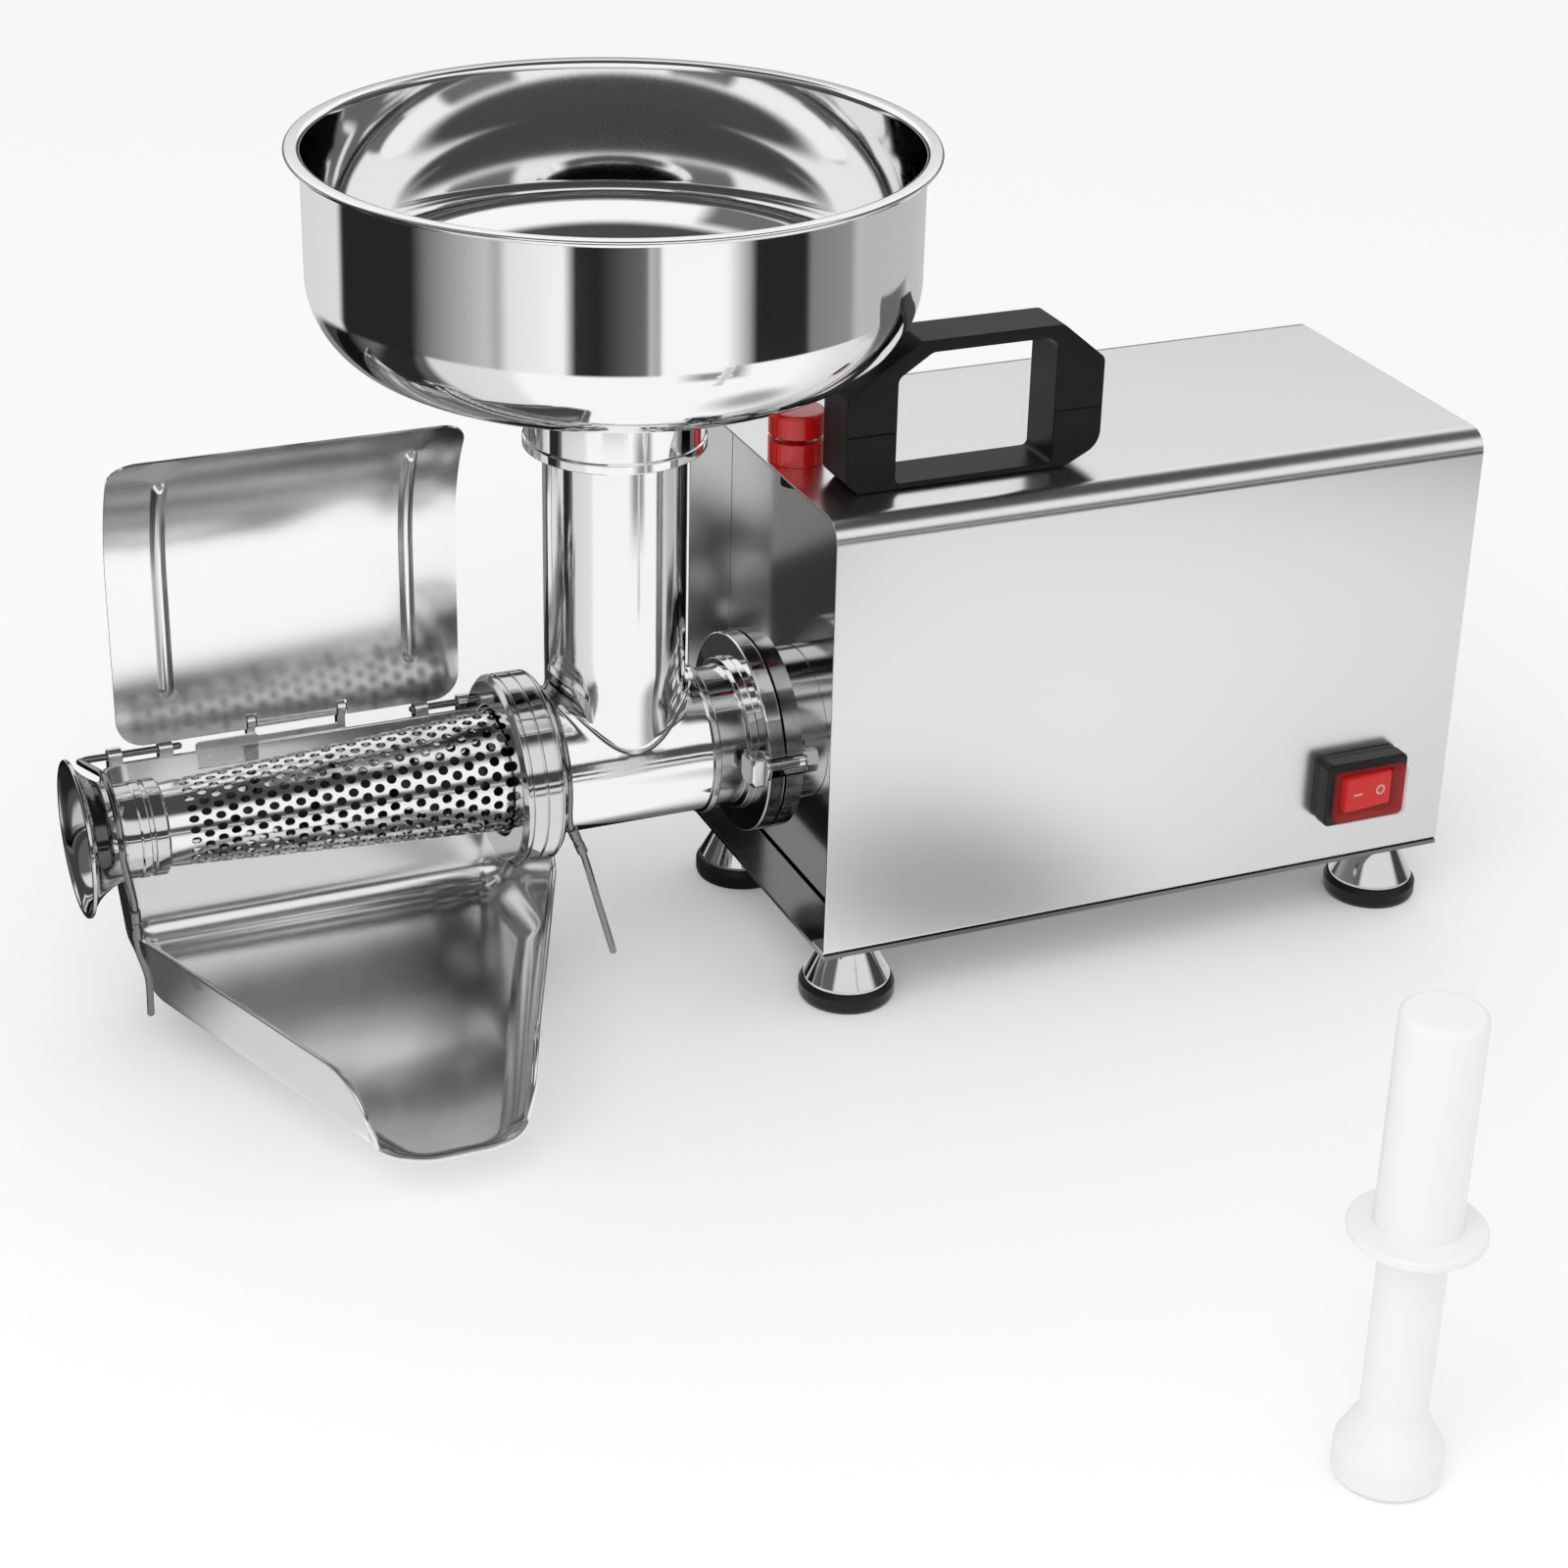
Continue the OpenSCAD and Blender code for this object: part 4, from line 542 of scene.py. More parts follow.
def tidy(obj: bpy.types.Object, weld: float = WELD) -> None:
    """Welds doubles and turns the faces outwards."""
    work = bmesh.new()
    work.from_mesh(obj.data)
    bmesh.ops.remove_doubles(work, verts=work.verts, dist=weld)
    bmesh.ops.dissolve_degenerate(work, edges=work.edges, dist=weld / 10)
    bmesh.ops.recalc_face_normals(work, faces=work.faces)
    work.to_mesh(obj.data)
    work.free()


def applied(obj: bpy.types.Object) -> bpy.types.Object:
    """Bakes the object's modifiers into its mesh."""
    graph = bpy.context.evaluated_depsgraph_get()
    graph.update()
    mesh = bpy.data.meshes.new_from_object(obj.evaluated_get(graph), preserve_all_data_layers=True,
                                           depsgraph=graph)
    old = obj.data
    obj.modifiers.clear()
    obj.data = mesh
    bpy.data.meshes.remove(old)
    return obj


def modified(obj: bpy.types.Object, kind: str, **settings: Any) -> bpy.types.Object:
    """Adds a modifier and bakes it.

    Args:
        obj: the object.
        kind: the modifier's type.
        settings: its properties.

    Returns:
        The object.
    """
    modifier = obj.modifiers.new(kind, kind)
    for name, value in settings.items():
        setattr(modifier, name, value)
    return applied(obj)


def cut_away(obj: bpy.types.Object, *cutters: bpy.types.Object) -> bpy.types.Object:
    """Subtracts closed meshes from a closed mesh and removes them."""
    for cutter in cutters:
        modified(obj, "BOOLEAN", operation="DIFFERENCE", object=cutter, solver="EXACT")
        bpy.data.objects.remove(cutter)
    tidy(obj)
    return obj


def shaded(obj: bpy.types.Object, angle: float = 32.0) -> bpy.types.Object:
    """Smooths every face, keeps edges above an angle sharp and lets large faces set the normals."""
    obj.data.shade_smooth()
    obj.data.set_sharp_from_angle(angle=math.radians(angle))
    return modified(obj, "WEIGHTED_NORMAL", keep_sharp=True, weight=60)


def dressed(obj: bpy.types.Object, body: str, slot: Slot, *nodes: str) -> bpy.types.Object:
    """Gives a finished piece its slot's material and its body, and hides the nodes that it stands for."""
    obj.data.materials.clear()
    obj.data.materials.append(Paints.of(slot))
    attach(obj, body)
    if nodes:
        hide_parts(*nodes)
    log.info("%s: %d faces on %s", obj.name, len(obj.data.polygons), body)
    return obj



def lathe(name: str, outline: Sequence[Pair], origin: Vector, axis: str = "X",
          segments: int = 144) -> bpy.types.Object:
    """Turns a closed outline round an axis.

    Args:
        name: the object's name.
        outline: closed (radius, height) points.
        origin: point of the axis where height is zero.
        axis: "X" or "Z".
        segments: steps of the turn.

    Returns:
        The object.
    """
    turn = TURNS[axis]
    points: list[Vector] = []
    rings: list[list[int]] = []
    for radius, height in outline:
        if radius < WELD:
            rings.append([len(points)] * segments)
            points.append(origin + turn @ Vector((0, 0, height)))
            continue
        rings.append(list(range(len(points), len(points) + segments)))
        for k in range(segments):
            a = math.tau * k / segments
            points.append(origin + turn @ Vector((radius * math.cos(a), radius * math.sin(a), height)))
    faces = []
    for i, ring in enumerate(rings):
        other = rings[(i + 1) % len(rings)]
        if ring[0] == ring[1] and other[0] == other[1]:
            continue
        for k in range(segments):
            n = (k + 1) % segments
            quad = dict.fromkeys((ring[k], ring[n], other[n], other[k]))
            faces.append(tuple(quad))
    return mesh_object(name, points, faces)


def slab(name: str, outlines: Sequence[Sequence[Pair]], depth: float, edge: float, place: Matrix,
         steps: int = 2) -> bpy.types.Object:
    """A flat outline with a thickness and rounded edges.

    Args:
        name: the object's name.
        outlines: the outer outline, then any holes.
        depth: thickness, half of it on each side of the outline's plane.
        edge: radius of the edges.
        place: matrix from the outline's plane to the row frame.
        steps: bevel resolution of the edges.

    Returns:
        The object.
    """
    curve = bpy.data.curves.new(name, "CURVE")
    curve.dimensions = "2D"
    curve.fill_mode = "BOTH"
    curve.extrude = depth / 2 - edge
    curve.bevel_depth = edge
    curve.bevel_resolution = steps
    curve.offset = -edge
    for outline in outlines:
        spline = curve.splines.new("POLY")
        spline.points.add(len(outline) - 1)
        for point, (a, b) in zip(spline.points, outline):
            point.co = (a, b, 0, 1)
        spline.use_cyclic_u = True
    source = linked(name + "_flat", curve)
    graph = bpy.context.evaluated_depsgraph_get()
    mesh = bpy.data.meshes.new_from_object(source.evaluated_get(graph), depsgraph=graph)
    bpy.data.objects.remove(source)
    mesh.name = name
    mesh.transform(place)
    obj = linked(name, mesh)
    tidy(obj)
    return obj


def across_x(x: float) -> Matrix:
    """Plane whose outline is (y, z) at a place along X."""
    return Matrix.Translation(at(x, 0, 0)) @ TURNS["X"].to_4x4()


def across_y(y: float) -> Matrix:
    """Plane whose outline is (x, z) at a place along Y."""
    return Matrix.Translation(at(0, y, 0)) @ UPRIGHT



def block(name: str, low: Vector, high: Vector, edge: float = 0.0) -> bpy.types.Object:
    """A box between two corners, with bevelled edges if edge is above zero."""
    corners = [Vector((x, y, z)) for x in (low.x, high.x) for y in (low.y, high.y) for z in (low.z, high.z)]
    faces = [(0, 1, 3, 2), (4, 6, 7, 5), (0, 4, 5, 1), (2, 3, 7, 6), (0, 2, 6, 4), (1, 5, 7, 3)]
    obj = mesh_object(name, corners, faces)
    if edge:
        modified(obj, "BEVEL", width=edge, segments=3)
    return obj


def joined(name: str, parts: Sequence[bpy.types.Object]) -> bpy.types.Object:
    """One object that holds the meshes of several."""
    work = bmesh.new()
    for part in parts:
        work.from_mesh(part.data)
    mesh = bpy.data.meshes.new(name)
    work.to_mesh(mesh)
    work.free()
    for part in parts:
        bpy.data.objects.remove(part)
    obj = linked(name, mesh)
    return obj


def refined(node: str, name: str, edge: float = 0.0003, angle: float = 40.0) -> bpy.types.Object:
    """A copy of a CAD node with welded vertices and small bevels on its sharp edges.

    Args:
        node: the CAD node.
        name: the new object's name.
        edge: bevel width, or zero for none.
        angle: edges above this angle are bevelled.

    Returns:
        The object.
    """
    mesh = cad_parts[node].data.copy()
    mesh.name = name
    obj = linked(name, mesh)
    work = bmesh.new()
    work.from_mesh(mesh)
    bmesh.ops.remove_doubles(work, verts=work.verts, dist=WELD / 5)
    bmesh.ops.dissolve_limit(work, angle_limit=math.radians(0.2), verts=work.verts, edges=work.edges)
    work.to_mesh(mesh)
    work.free()
    if edge:
        modified(obj, "BEVEL", width=edge, segments=2, limit_method="ANGLE",
                 angle_limit=math.radians(angle), use_clamp_overlap=True)
    return obj


def swept(name: str, path: Sequence[Vector], radius: float, sides: int = 16) -> bpy.types.Object:
    """A round wire along a path, with closed rounded ends.

    Args:
        name: the object's name.
        path: points of the centre line.
        radius: radius of the wire.
        sides: sides of the wire.

    Returns:
        The object.
    """
    points: list[Vector] = []
    ahead = (path[1] - path[0]).normalized()
    normal = ahead.orthogonal().normalized()
    stations = [(path[0] - ahead * radius * 0.5, radius * 0.55)]
    stations += [(p, radius) for p in path]
    tail = (path[-1] - path[-2]).normalized()
    stations.append((path[-1] + tail * radius * 0.5, radius * 0.55))
    count = len(stations)
    for i, (place, r) in enumerate(stations):
        along = (stations[min(i + 1, count - 1)][0] - stations[max(i - 1, 0)][0]).normalized()
        normal = (normal - along * normal.dot(along)).normalized()
        other = along.cross(normal)
        for k in range(sides):
            a = math.tau * k / sides
            points.append(place + normal * (r * math.cos(a)) + other * (r * math.sin(a)))
    faces = quads(count, sides, False)
    faces += [tuple(range(sides)), tuple(range((count - 1) * sides, count * sides))]
    return mesh_object(name, points, faces, WELD / 10)


def flowing(points: Sequence[Vector], steps: int = 6) -> list[Vector]:
    """A smooth path through points, by Catmull-Rom with a share of tension."""
    made: list[Vector] = []
    count = len(points)
    for i in range(count - 1):
        before, here, there, after = (points[max(0, i - 1)], points[i], points[i + 1],
                                      points[min(count - 1, i + 2)])
        span = (there - here).length
        out = (there - before).normalized() * span * 0.8
        into = (after - here).normalized() * span * 0.8
        for k in range(steps):
            t = k / steps
            made.append(here * (2 * t ** 3 - 3 * t ** 2 + 1) + out * (t ** 3 - 2 * t ** 2 + t)
                        + there * (-2 * t ** 3 + 3 * t ** 2) + into * (t ** 3 - t ** 2))
    made.append(points[-1])
    return made


def filled(outline: Sequence[Pair], holes: Sequence[Sequence[Pair]],
           inner: Sequence[Pair]) -> tuple[list[Pair], list[tuple[int, ...]]]:
    """Triangles inside an outline and outside its holes, with extra inner points.

    Args:
        outline: the outer boundary.
        holes: the inner boundaries.
        inner: further points to use where they lie in the region.

    Returns:
        The points and the triangles.
    """
    def within(p: Pair, loop: Sequence[Pair]) -> bool:
        """Whether a point lies in a closed loop."""
        hit = False
        for (ax, ay), (bx, by) in zip(loop, (*loop[1:], loop[0])):
            if (ay > p[1]) != (by > p[1]) and p[0] < (bx - ax) * (p[1] - ay) / (by - ay) + ax:
                hit = not hit
        return hit

    points: list[Vector] = []
    edges: list[tuple[int, int]] = []
    for loop in (outline, *holes):
        start = len(points)
        points += [Vector(p) for p in loop]
        edges += [(start + i, start + (i + 1) % len(loop)) for i in range(len(loop))]
    points += [Vector(p) for p in inner if within(p, outline) and not any(within(p, h) for h in holes)]
    verts, _, faces, *_ = delaunay_2d_cdt(points, edges, [], 0, 1e-9)
    kept = []
    for face in faces:
        centre = sum((verts[v] for v in face), Vector((0, 0))) / len(face)
        if within(centre[:], outline) and not any(within(centre[:], h) for h in holes):
            kept.append(tuple(face))
    return [(v.x, v.y) for v in verts], kept


def resampled(outline: Sequence[Pair], step: float) -> list[Pair]:
    """A closed outline at even steps of about a given length."""
    made: list[Pair] = []
    for (ax, ay), (bx, by) in zip(outline, (*outline[1:], outline[0])):
        count = max(1, round(math.dist((ax, ay), (bx, by)) / step))
        made += [(ax + (bx - ax) * k / count, ay + (by - ay) * k / count) for k in range(count)]
    return made

def quads(rows: int, sides: int, closed: bool) -> list[tuple[int, ...]]:
    """Faces between rings of vertices, with the last ring joined to the first if closed."""
    return [(i * sides + k, i * sides + (k + 1) % sides, (i + 1) % rows * sides + (k + 1) % sides,
             (i + 1) % rows * sides + k) for i in range(rows if closed else rows - 1) for k in range(sides)]

# Copies by geometry nodes

@dataclass
class Copies:
    """Copies of one mesh at several places, made by a geometry tree and turned into a plain mesh."""

    name: str
    material: bpy.types.Material

    def make(self, piece: bpy.types.Object, places: Sequence[Vector], turn: float = 0.0) -> bpy.types.Object:
        """Builds the copies.

        Args:
            piece: the mesh to copy, modelled round the origin; it is removed.
            places: where the copies go, in the row frame.
            turn: turn of each copy about Z, in radians.

        Returns:
            One object with every copy.
        """
        tree = bpy.data.node_groups.new(self.name, "GeometryNodeTree")
        graph = Graph(tree)
        tree.interface.new_socket("Places", in_out="INPUT", socket_type="NodeSocketGeometry")
        piece_in = tree.interface.new_socket("Piece", in_out="INPUT", socket_type="NodeSocketObject")
        turn_in = tree.interface.new_socket("Turn", in_out="INPUT", socket_type="NodeSocketFloat")
        tree.interface.new_socket("Geometry", in_out="OUTPUT", socket_type="NodeSocketGeometry")
        source = graph.node("NodeGroupInput")
        held = graph.node("GeometryNodeObjectInfo", {"transform_space": "ORIGINAL"},
                          {"Object": source.outputs["Piece"]})
        turned = graph.node("ShaderNodeCombineXYZ", None, {"Z": source.outputs["Turn"]})
        placed = graph.node("GeometryNodeInstanceOnPoints", None, {
            "Points": source.outputs["Places"], "Instance": held.outputs["Geometry"],
            "Rotation": turned.outputs[0]})
        real = graph.node("GeometryNodeRealizeInstances", None, {"Geometry": placed.outputs[0]})
        done = graph.node("GeometryNodeSetMaterial", None,
                          {"Geometry": real.outputs[0], "Material": self.material})
        graph.node("NodeGroupOutput", None, {"Geometry": done.outputs[0]})
        mesh = bpy.data.meshes.new(self.name)
        mesh.from_pydata([tuple(p) for p in places], [], [])
        obj = linked(self.name, mesh)
        modifier = obj.modifiers.new("copies", "NODES")
        modifier.node_group = tree
        modifier[piece_in.identifier] = piece
        modifier[turn_in.identifier] = turn
        applied(obj)
        bpy.data.objects.remove(piece)
        return obj


@dataclass
class PerforatedWall:
    """A cone's wall with staggered round holes, laid out as a honeycomb and rolled up by a geometry tree."""

    name: str
    material: bpy.types.Material
    around: int = 25
    rows: int = 27
    open_share: float = 0.7
    big_r: float = 0.0263
    small_r: float = 0.0173

    def make(self, big_end: Vector, length: float) -> bpy.types.Object:
        """Builds the open wall, without thickness.

        Args:
            big_end: middle of the large end, on the cone's axis.
            length: length of the wall, towards -X.

        Returns:
            The wall.
        """
        tree = bpy.data.node_groups.new(self.name, "GeometryNodeTree")
        graph = Graph(tree)
        sizes = {"Around": self.around, "Rows": self.rows, "Open share": self.open_share,
                 "Large radius": self.big_r, "Small radius": self.small_r, "Length": length}
        tree.interface.new_socket("Geometry", in_out="INPUT", socket_type="NodeSocketGeometry")
        sockets = {}
        for label, size in sizes.items():
            kind = "NodeSocketInt" if isinstance(size, int) else "NodeSocketFloat"
            sockets[label] = tree.interface.new_socket(label, in_out="INPUT", socket_type=kind)
        middle = tree.interface.new_socket("Large end", in_out="INPUT", socket_type="NodeSocketVector")
        tree.interface.new_socket("Geometry", in_out="OUTPUT", socket_type="NodeSocketGeometry")
        source = graph.node("NodeGroupInput")
        put = {label: graph.value(source.outputs[label]) for label in sizes}
        row_step = math.sqrt(3) / 2
        grid = graph.node("GeometryNodeMeshGrid", None, {
            "Size X": put["Around"] - 1, "Size Y": (put["Rows"] - 1) * row_step,
            "Vertices X": put["Around"], "Vertices Y": put["Rows"]})
        split = graph.node("ShaderNodeSeparateXYZ", None,
                           {0: graph.node("GeometryNodeInputPosition").outputs[0]})
        row = (graph.value(split.outputs[1]) / row_step + (put["Rows"] - 1) / 2).math("ROUND")
        shift = row.math("MODULO", 2.0) * 0.5
        offset = graph.node("ShaderNodeCombineXYZ", None, {"X": shift})
        points = graph.node("GeometryNodeSetPosition", None,
                            {"Geometry": grid.outputs["Mesh"], "Offset": offset.outputs[0]})
        cell = graph.node("GeometryNodeMeshCircle", {"fill_type": "NGON"},
                          {"Vertices": 6, "Radius": 1 / math.sqrt(3)})
        placed = graph.node("GeometryNodeInstanceOnPoints", None, {
            "Points": points.outputs[0], "Instance": cell.outputs[0], "Rotation": (0, 0, math.pi / 6)})
        real = graph.node("GeometryNodeRealizeInstances", None, {"Geometry": placed.outputs[0]})
        comb = graph.node("GeometryNodeMergeByDistance", None,
                          {"Geometry": real.outputs[0], "Distance": 0.01})
        inset = graph.node("GeometryNodeExtrudeMesh", {"mode": "FACES"},
                           {"Mesh": comb.outputs[0], "Offset Scale": 0.0, "Individual": True})
        shrunk = graph.node("GeometryNodeScaleElements", {"domain": "FACE"}, {
            "Geometry": inset.outputs["Mesh"], "Selection": inset.outputs["Top"], "Scale": put["Open share"]})
        holed = graph.node("GeometryNodeDeleteGeometry", {"domain": "FACE", "mode": "ALL"},
                           {"Geometry": shrunk.outputs[0], "Selection": inset.outputs["Top"]})
        soft = graph.node("GeometryNodeSubdivisionSurface", None, {"Mesh": holed.outputs[0], "Level": 1})
        flat = graph.node("ShaderNodeSeparateXYZ", None,
                          {0: graph.node("GeometryNodeInputPosition").outputs[0]})
        share = graph.value(flat.outputs[1]) / ((put["Rows"] - 1) * row_step) + 0.5
        turn = graph.value(flat.outputs[0]) * math.tau / put["Around"]
        radius = put["Large radius"] + (put["Small radius"] - put["Large radius"]) * share
        rolled = graph.node("ShaderNodeCombineXYZ", None, {
            "X": share * put["Length"] * -1.0, "Y": radius * turn.math("COSINE"),
            "Z": radius * turn.math("SINE")})
        moved = graph.node("ShaderNodeVectorMath", {"operation": "ADD"},
                           {0: rolled.outputs[0], 1: source.outputs["Large end"]})
        wrapped = graph.node("GeometryNodeSetPosition", None,
                             {"Geometry": soft.outputs[0], "Position": moved.outputs[0]})
        seamed = graph.node("GeometryNodeMergeByDistance", None,
                            {"Geometry": wrapped.outputs[0], "Distance": 2e-5})
        done = graph.node("GeometryNodeSetMaterial", None,
                          {"Geometry": seamed.outputs[0], "Material": self.material})
        ended = graph.node("GeometryNodeRealizeInstances", None, {"Geometry": done.outputs[0]})
        graph.node("NodeGroupOutput", None, {"Geometry": ended.outputs[0]})
        obj = linked(self.name, bpy.data.meshes.new(self.name))
        modifier = obj.modifiers.new("perforations", "NODES")
        modifier.node_group = tree
        for label, size in sizes.items():
            modifier[sockets[label].identifier] = size
        modifier[middle.identifier] = tuple(big_end)
        return applied(obj)


# The press

@dataclass
class Housing:
    """Sheet-metal shell, front panel and base plate; the screws that close them stay as the frame has them.
    """

    length: float = 0.306
    width: float = 0.16
    top: float = 0.2
    low: float = 0.002
    sheet: float = 0.0012
    edge_r: float = 0.01
    fold_r: float = 0.002
    flange: float = 0.012
    button_hole_r: float = 0.0065

    def build(self) -> None:
        """Makes the shell and dresses the panels."""
        half = self.width / 2
        inner = half - self.sheet
        mouth = inner - self.flange
        floor = self.low + self.sheet
        roof = self.top - self.sheet
        bend = self.edge_r - self.sheet
        fold = self.fold_r - self.sheet
        outline = rounded([
            (mouth, self.low), (half, self.low, self.fold_r), (half, self.top, self.edge_r),
            (-half, self.top, self.edge_r), (-half, self.low, self.fold_r), (-mouth, self.low),
            (-mouth, floor), (-inner, floor, fold), (-inner, roof, bend), (inner, roof, bend),
            (inner, floor, fold), (mouth, floor)], steps=14)
        shell = slab("shell", [outline], self.length, 0.0003, across_x(self.length / 2), 1)
        button = at(0, 0, self.top)
        button.x = (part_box("reset_collar")[0].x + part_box("reset_collar")[1].x) / 2
        button.y = (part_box("reset_collar")[0].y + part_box("reset_collar")[1].y) / 2
        hole = lathe("hole", [(0, -OVER), (self.button_hole_r, -OVER), (self.button_hole_r, OVER), (0, OVER)],
                     button, "Z", 48)
        neck_low, neck_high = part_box("switch_body")
        mid = (neck_low + neck_high) / 2
        grip = Vector((0.0157, 0, 0.0107))
        window = block("window", Vector((mid.x - grip.x, BARREL_Y - half - OVER, mid.z - grip.z)),
                       Vector((mid.x + grip.x, BARREL_Y - half + OVER, mid.z + grip.z)))
        cut_away(shell, hole, window)
        dressed(shaded(shell, 30), "housing", Slot.BRUSHED, "housing_shell")
        for node, name, slot in (("front_panel", "front_plate", Slot.FRONT),
                                 ("base_plate", "base_sheet", Slot.BASE),
                                 ("rear_panel", "rear_plate", Slot.BRUSHED)):
            dressed(shaded(refined(node, name, 0.00025)), "housing", slot, node)


@dataclass
class Feet:
    """Four feet: a bright cone on a black ring."""

    foot_h: float = 0.03
    pad_h: float = 0.009
    pad_r: float = 0.021
    ledge_r: float = 0.019
    top_r: float = 0.009

    def build(self) -> None:
        """Makes one cone and one ring and copies them to the four feet."""
        low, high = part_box("foot_pads")
        places = [Vector((x, y, BASE_Z)) for x in (low.x + self.pad_r, high.x - self.pad_r)
                  for y in (low.y + self.pad_r, high.y - self.pad_r)]
        top = self.pad_h - self.foot_h
        cone = rounded([(0, top), (self.ledge_r, top), (self.ledge_r, top + 0.0012, 0.0006),
                        (self.top_r, -0.0012, 0.001), (self.top_r, 0), (0, 0)])
        ring = rounded([(0, -self.foot_h), (self.pad_r - 0.0008, -self.foot_h, 0.0006),
                        (self.pad_r, -self.foot_h + 0.002, 0.001), (self.pad_r, top - 0.0022, 0.0012),
                        (self.pad_r - 0.0014, top, 0.0008), (0, top)])
        for name, outline, slot, node in (("foot_cone", cone, Slot.POLISHED, "foot_cones"),
                                          ("foot_ring", ring, Slot.RUBBER, "foot_pads")):
            piece = lathe(name + "_one", outline, Vector((0, 0, 0)), "Z", 96)
            copies = Copies(name + "s", Paints.of(slot)).make(piece, places)
            tidy(copies)
            dressed(shaded(copies), "housing", slot, node)


@dataclass
class Handle:
    """Carry handle in two moulded halves that meet in a fine seam."""

    front: float = 0.0146
    back: float = 0.131
    foot: float = 0.2
    seam: float = 0.225
    high: float = 0.2627
    depth: float = 0.024
    middle: float = -0.042
    window_front: float = 0.037
    window_back: float = 0.1086
    window_low: float = 0.2026
    window_high: float = 0.2574
    edge: float = 0.0009
    window_knee: Pair = (0.052, 0.2478)
    back_knee: Pair = (0.111, 0.246)
    front_knee: Pair = (0.047, 0.242)
    knee_r: float = 0.004

    def build(self) -> None:
        """Makes both halves."""
        lower = rounded([
            (self.front + 0.0055, self.foot, 0.002), (self.back - 0.016, self.foot, 0.012),
            (self.back, self.foot + 0.008, 0.01), (self.back, self.seam), (self.window_back, self.seam),
            (self.window_back, self.window_low, 0.0025), (self.window_front, self.window_low, 0.0025),
            (self.window_front, self.seam), (self.front, self.seam), (self.front, self.foot + 0.0055, 0.003)])
        upper = rounded([
            (self.front, self.seam), (self.window_front, self.seam),
            (self.window_front, self.window_knee[1], self.knee_r),
            (self.window_knee[0], self.window_high, 0.005), (self.window_back, self.window_high, 0.005),
            (self.window_back, self.seam), (self.back, self.seam),
            (self.back, self.back_knee[1], self.knee_r), (self.back_knee[0], self.high, self.knee_r),
            (self.front_knee[0], self.high, self.knee_r), (self.front, self.front_knee[1], self.knee_r)])
        for name, outline, node in (("grip_lower", lower, "handle_lower"),
                                    ("grip_upper", upper, "handle_upper")):
            half = slab(name, [outline], self.depth, self.edge, across_y(self.middle), 3)
            dressed(shaded(half, 40), "housing", Slot.PLASTIC, node)


@dataclass
class Button:
    """Red push button: a cap above a fixed collar, with a dark groove between them."""

    radius: float = 0.012
    collar_h: float = 0.01
    groove_h: float = 0.002
    cap_h: float = 0.011
    stem_r: float = 0.004
    stem_down: float = 0.009
    crown: float = 0.0008

    def build(self) -> None:
        """Makes the cap with its stem, and the collar."""
        low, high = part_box("reset_collar")
        foot = Vector(((low.x + high.x) / 2, (low.y + high.y) / 2, low.z))
        cap_low = self.collar_h + self.groove_h
        cap_high = cap_low + self.cap_h
        cap = [(0, -self.stem_down), (self.stem_r, -self.stem_down), (self.stem_r, cap_low)]
        cap += rounded([(self.stem_r, cap_low), (self.radius, cap_low, 0.0006),
                        (self.radius, cap_high - self.crown, 0.0016), (0, cap_high)], False, 8)[1:]
        collar = rounded([(self.stem_r + 0.0001, 0), (self.radius, 0, 0.0004),
                          (self.radius, self.collar_h, 0.0007),
                          (self.radius - 0.0025, self.collar_h, 0.0004),
                          (self.radius - 0.003, self.collar_h - 0.0015, 0.0003),
                          (self.stem_r + 0.0001, self.collar_h - 0.0015)], steps=5)
        dressed(shaded(lathe("button_cap", cap, foot, "Z", 96), 40), "button", Slot.RED, "reset_cap")
        dressed(shaded(lathe("button_collar", collar, foot, "Z", 96), 40), "housing", Slot.RED,
                "reset_collar")


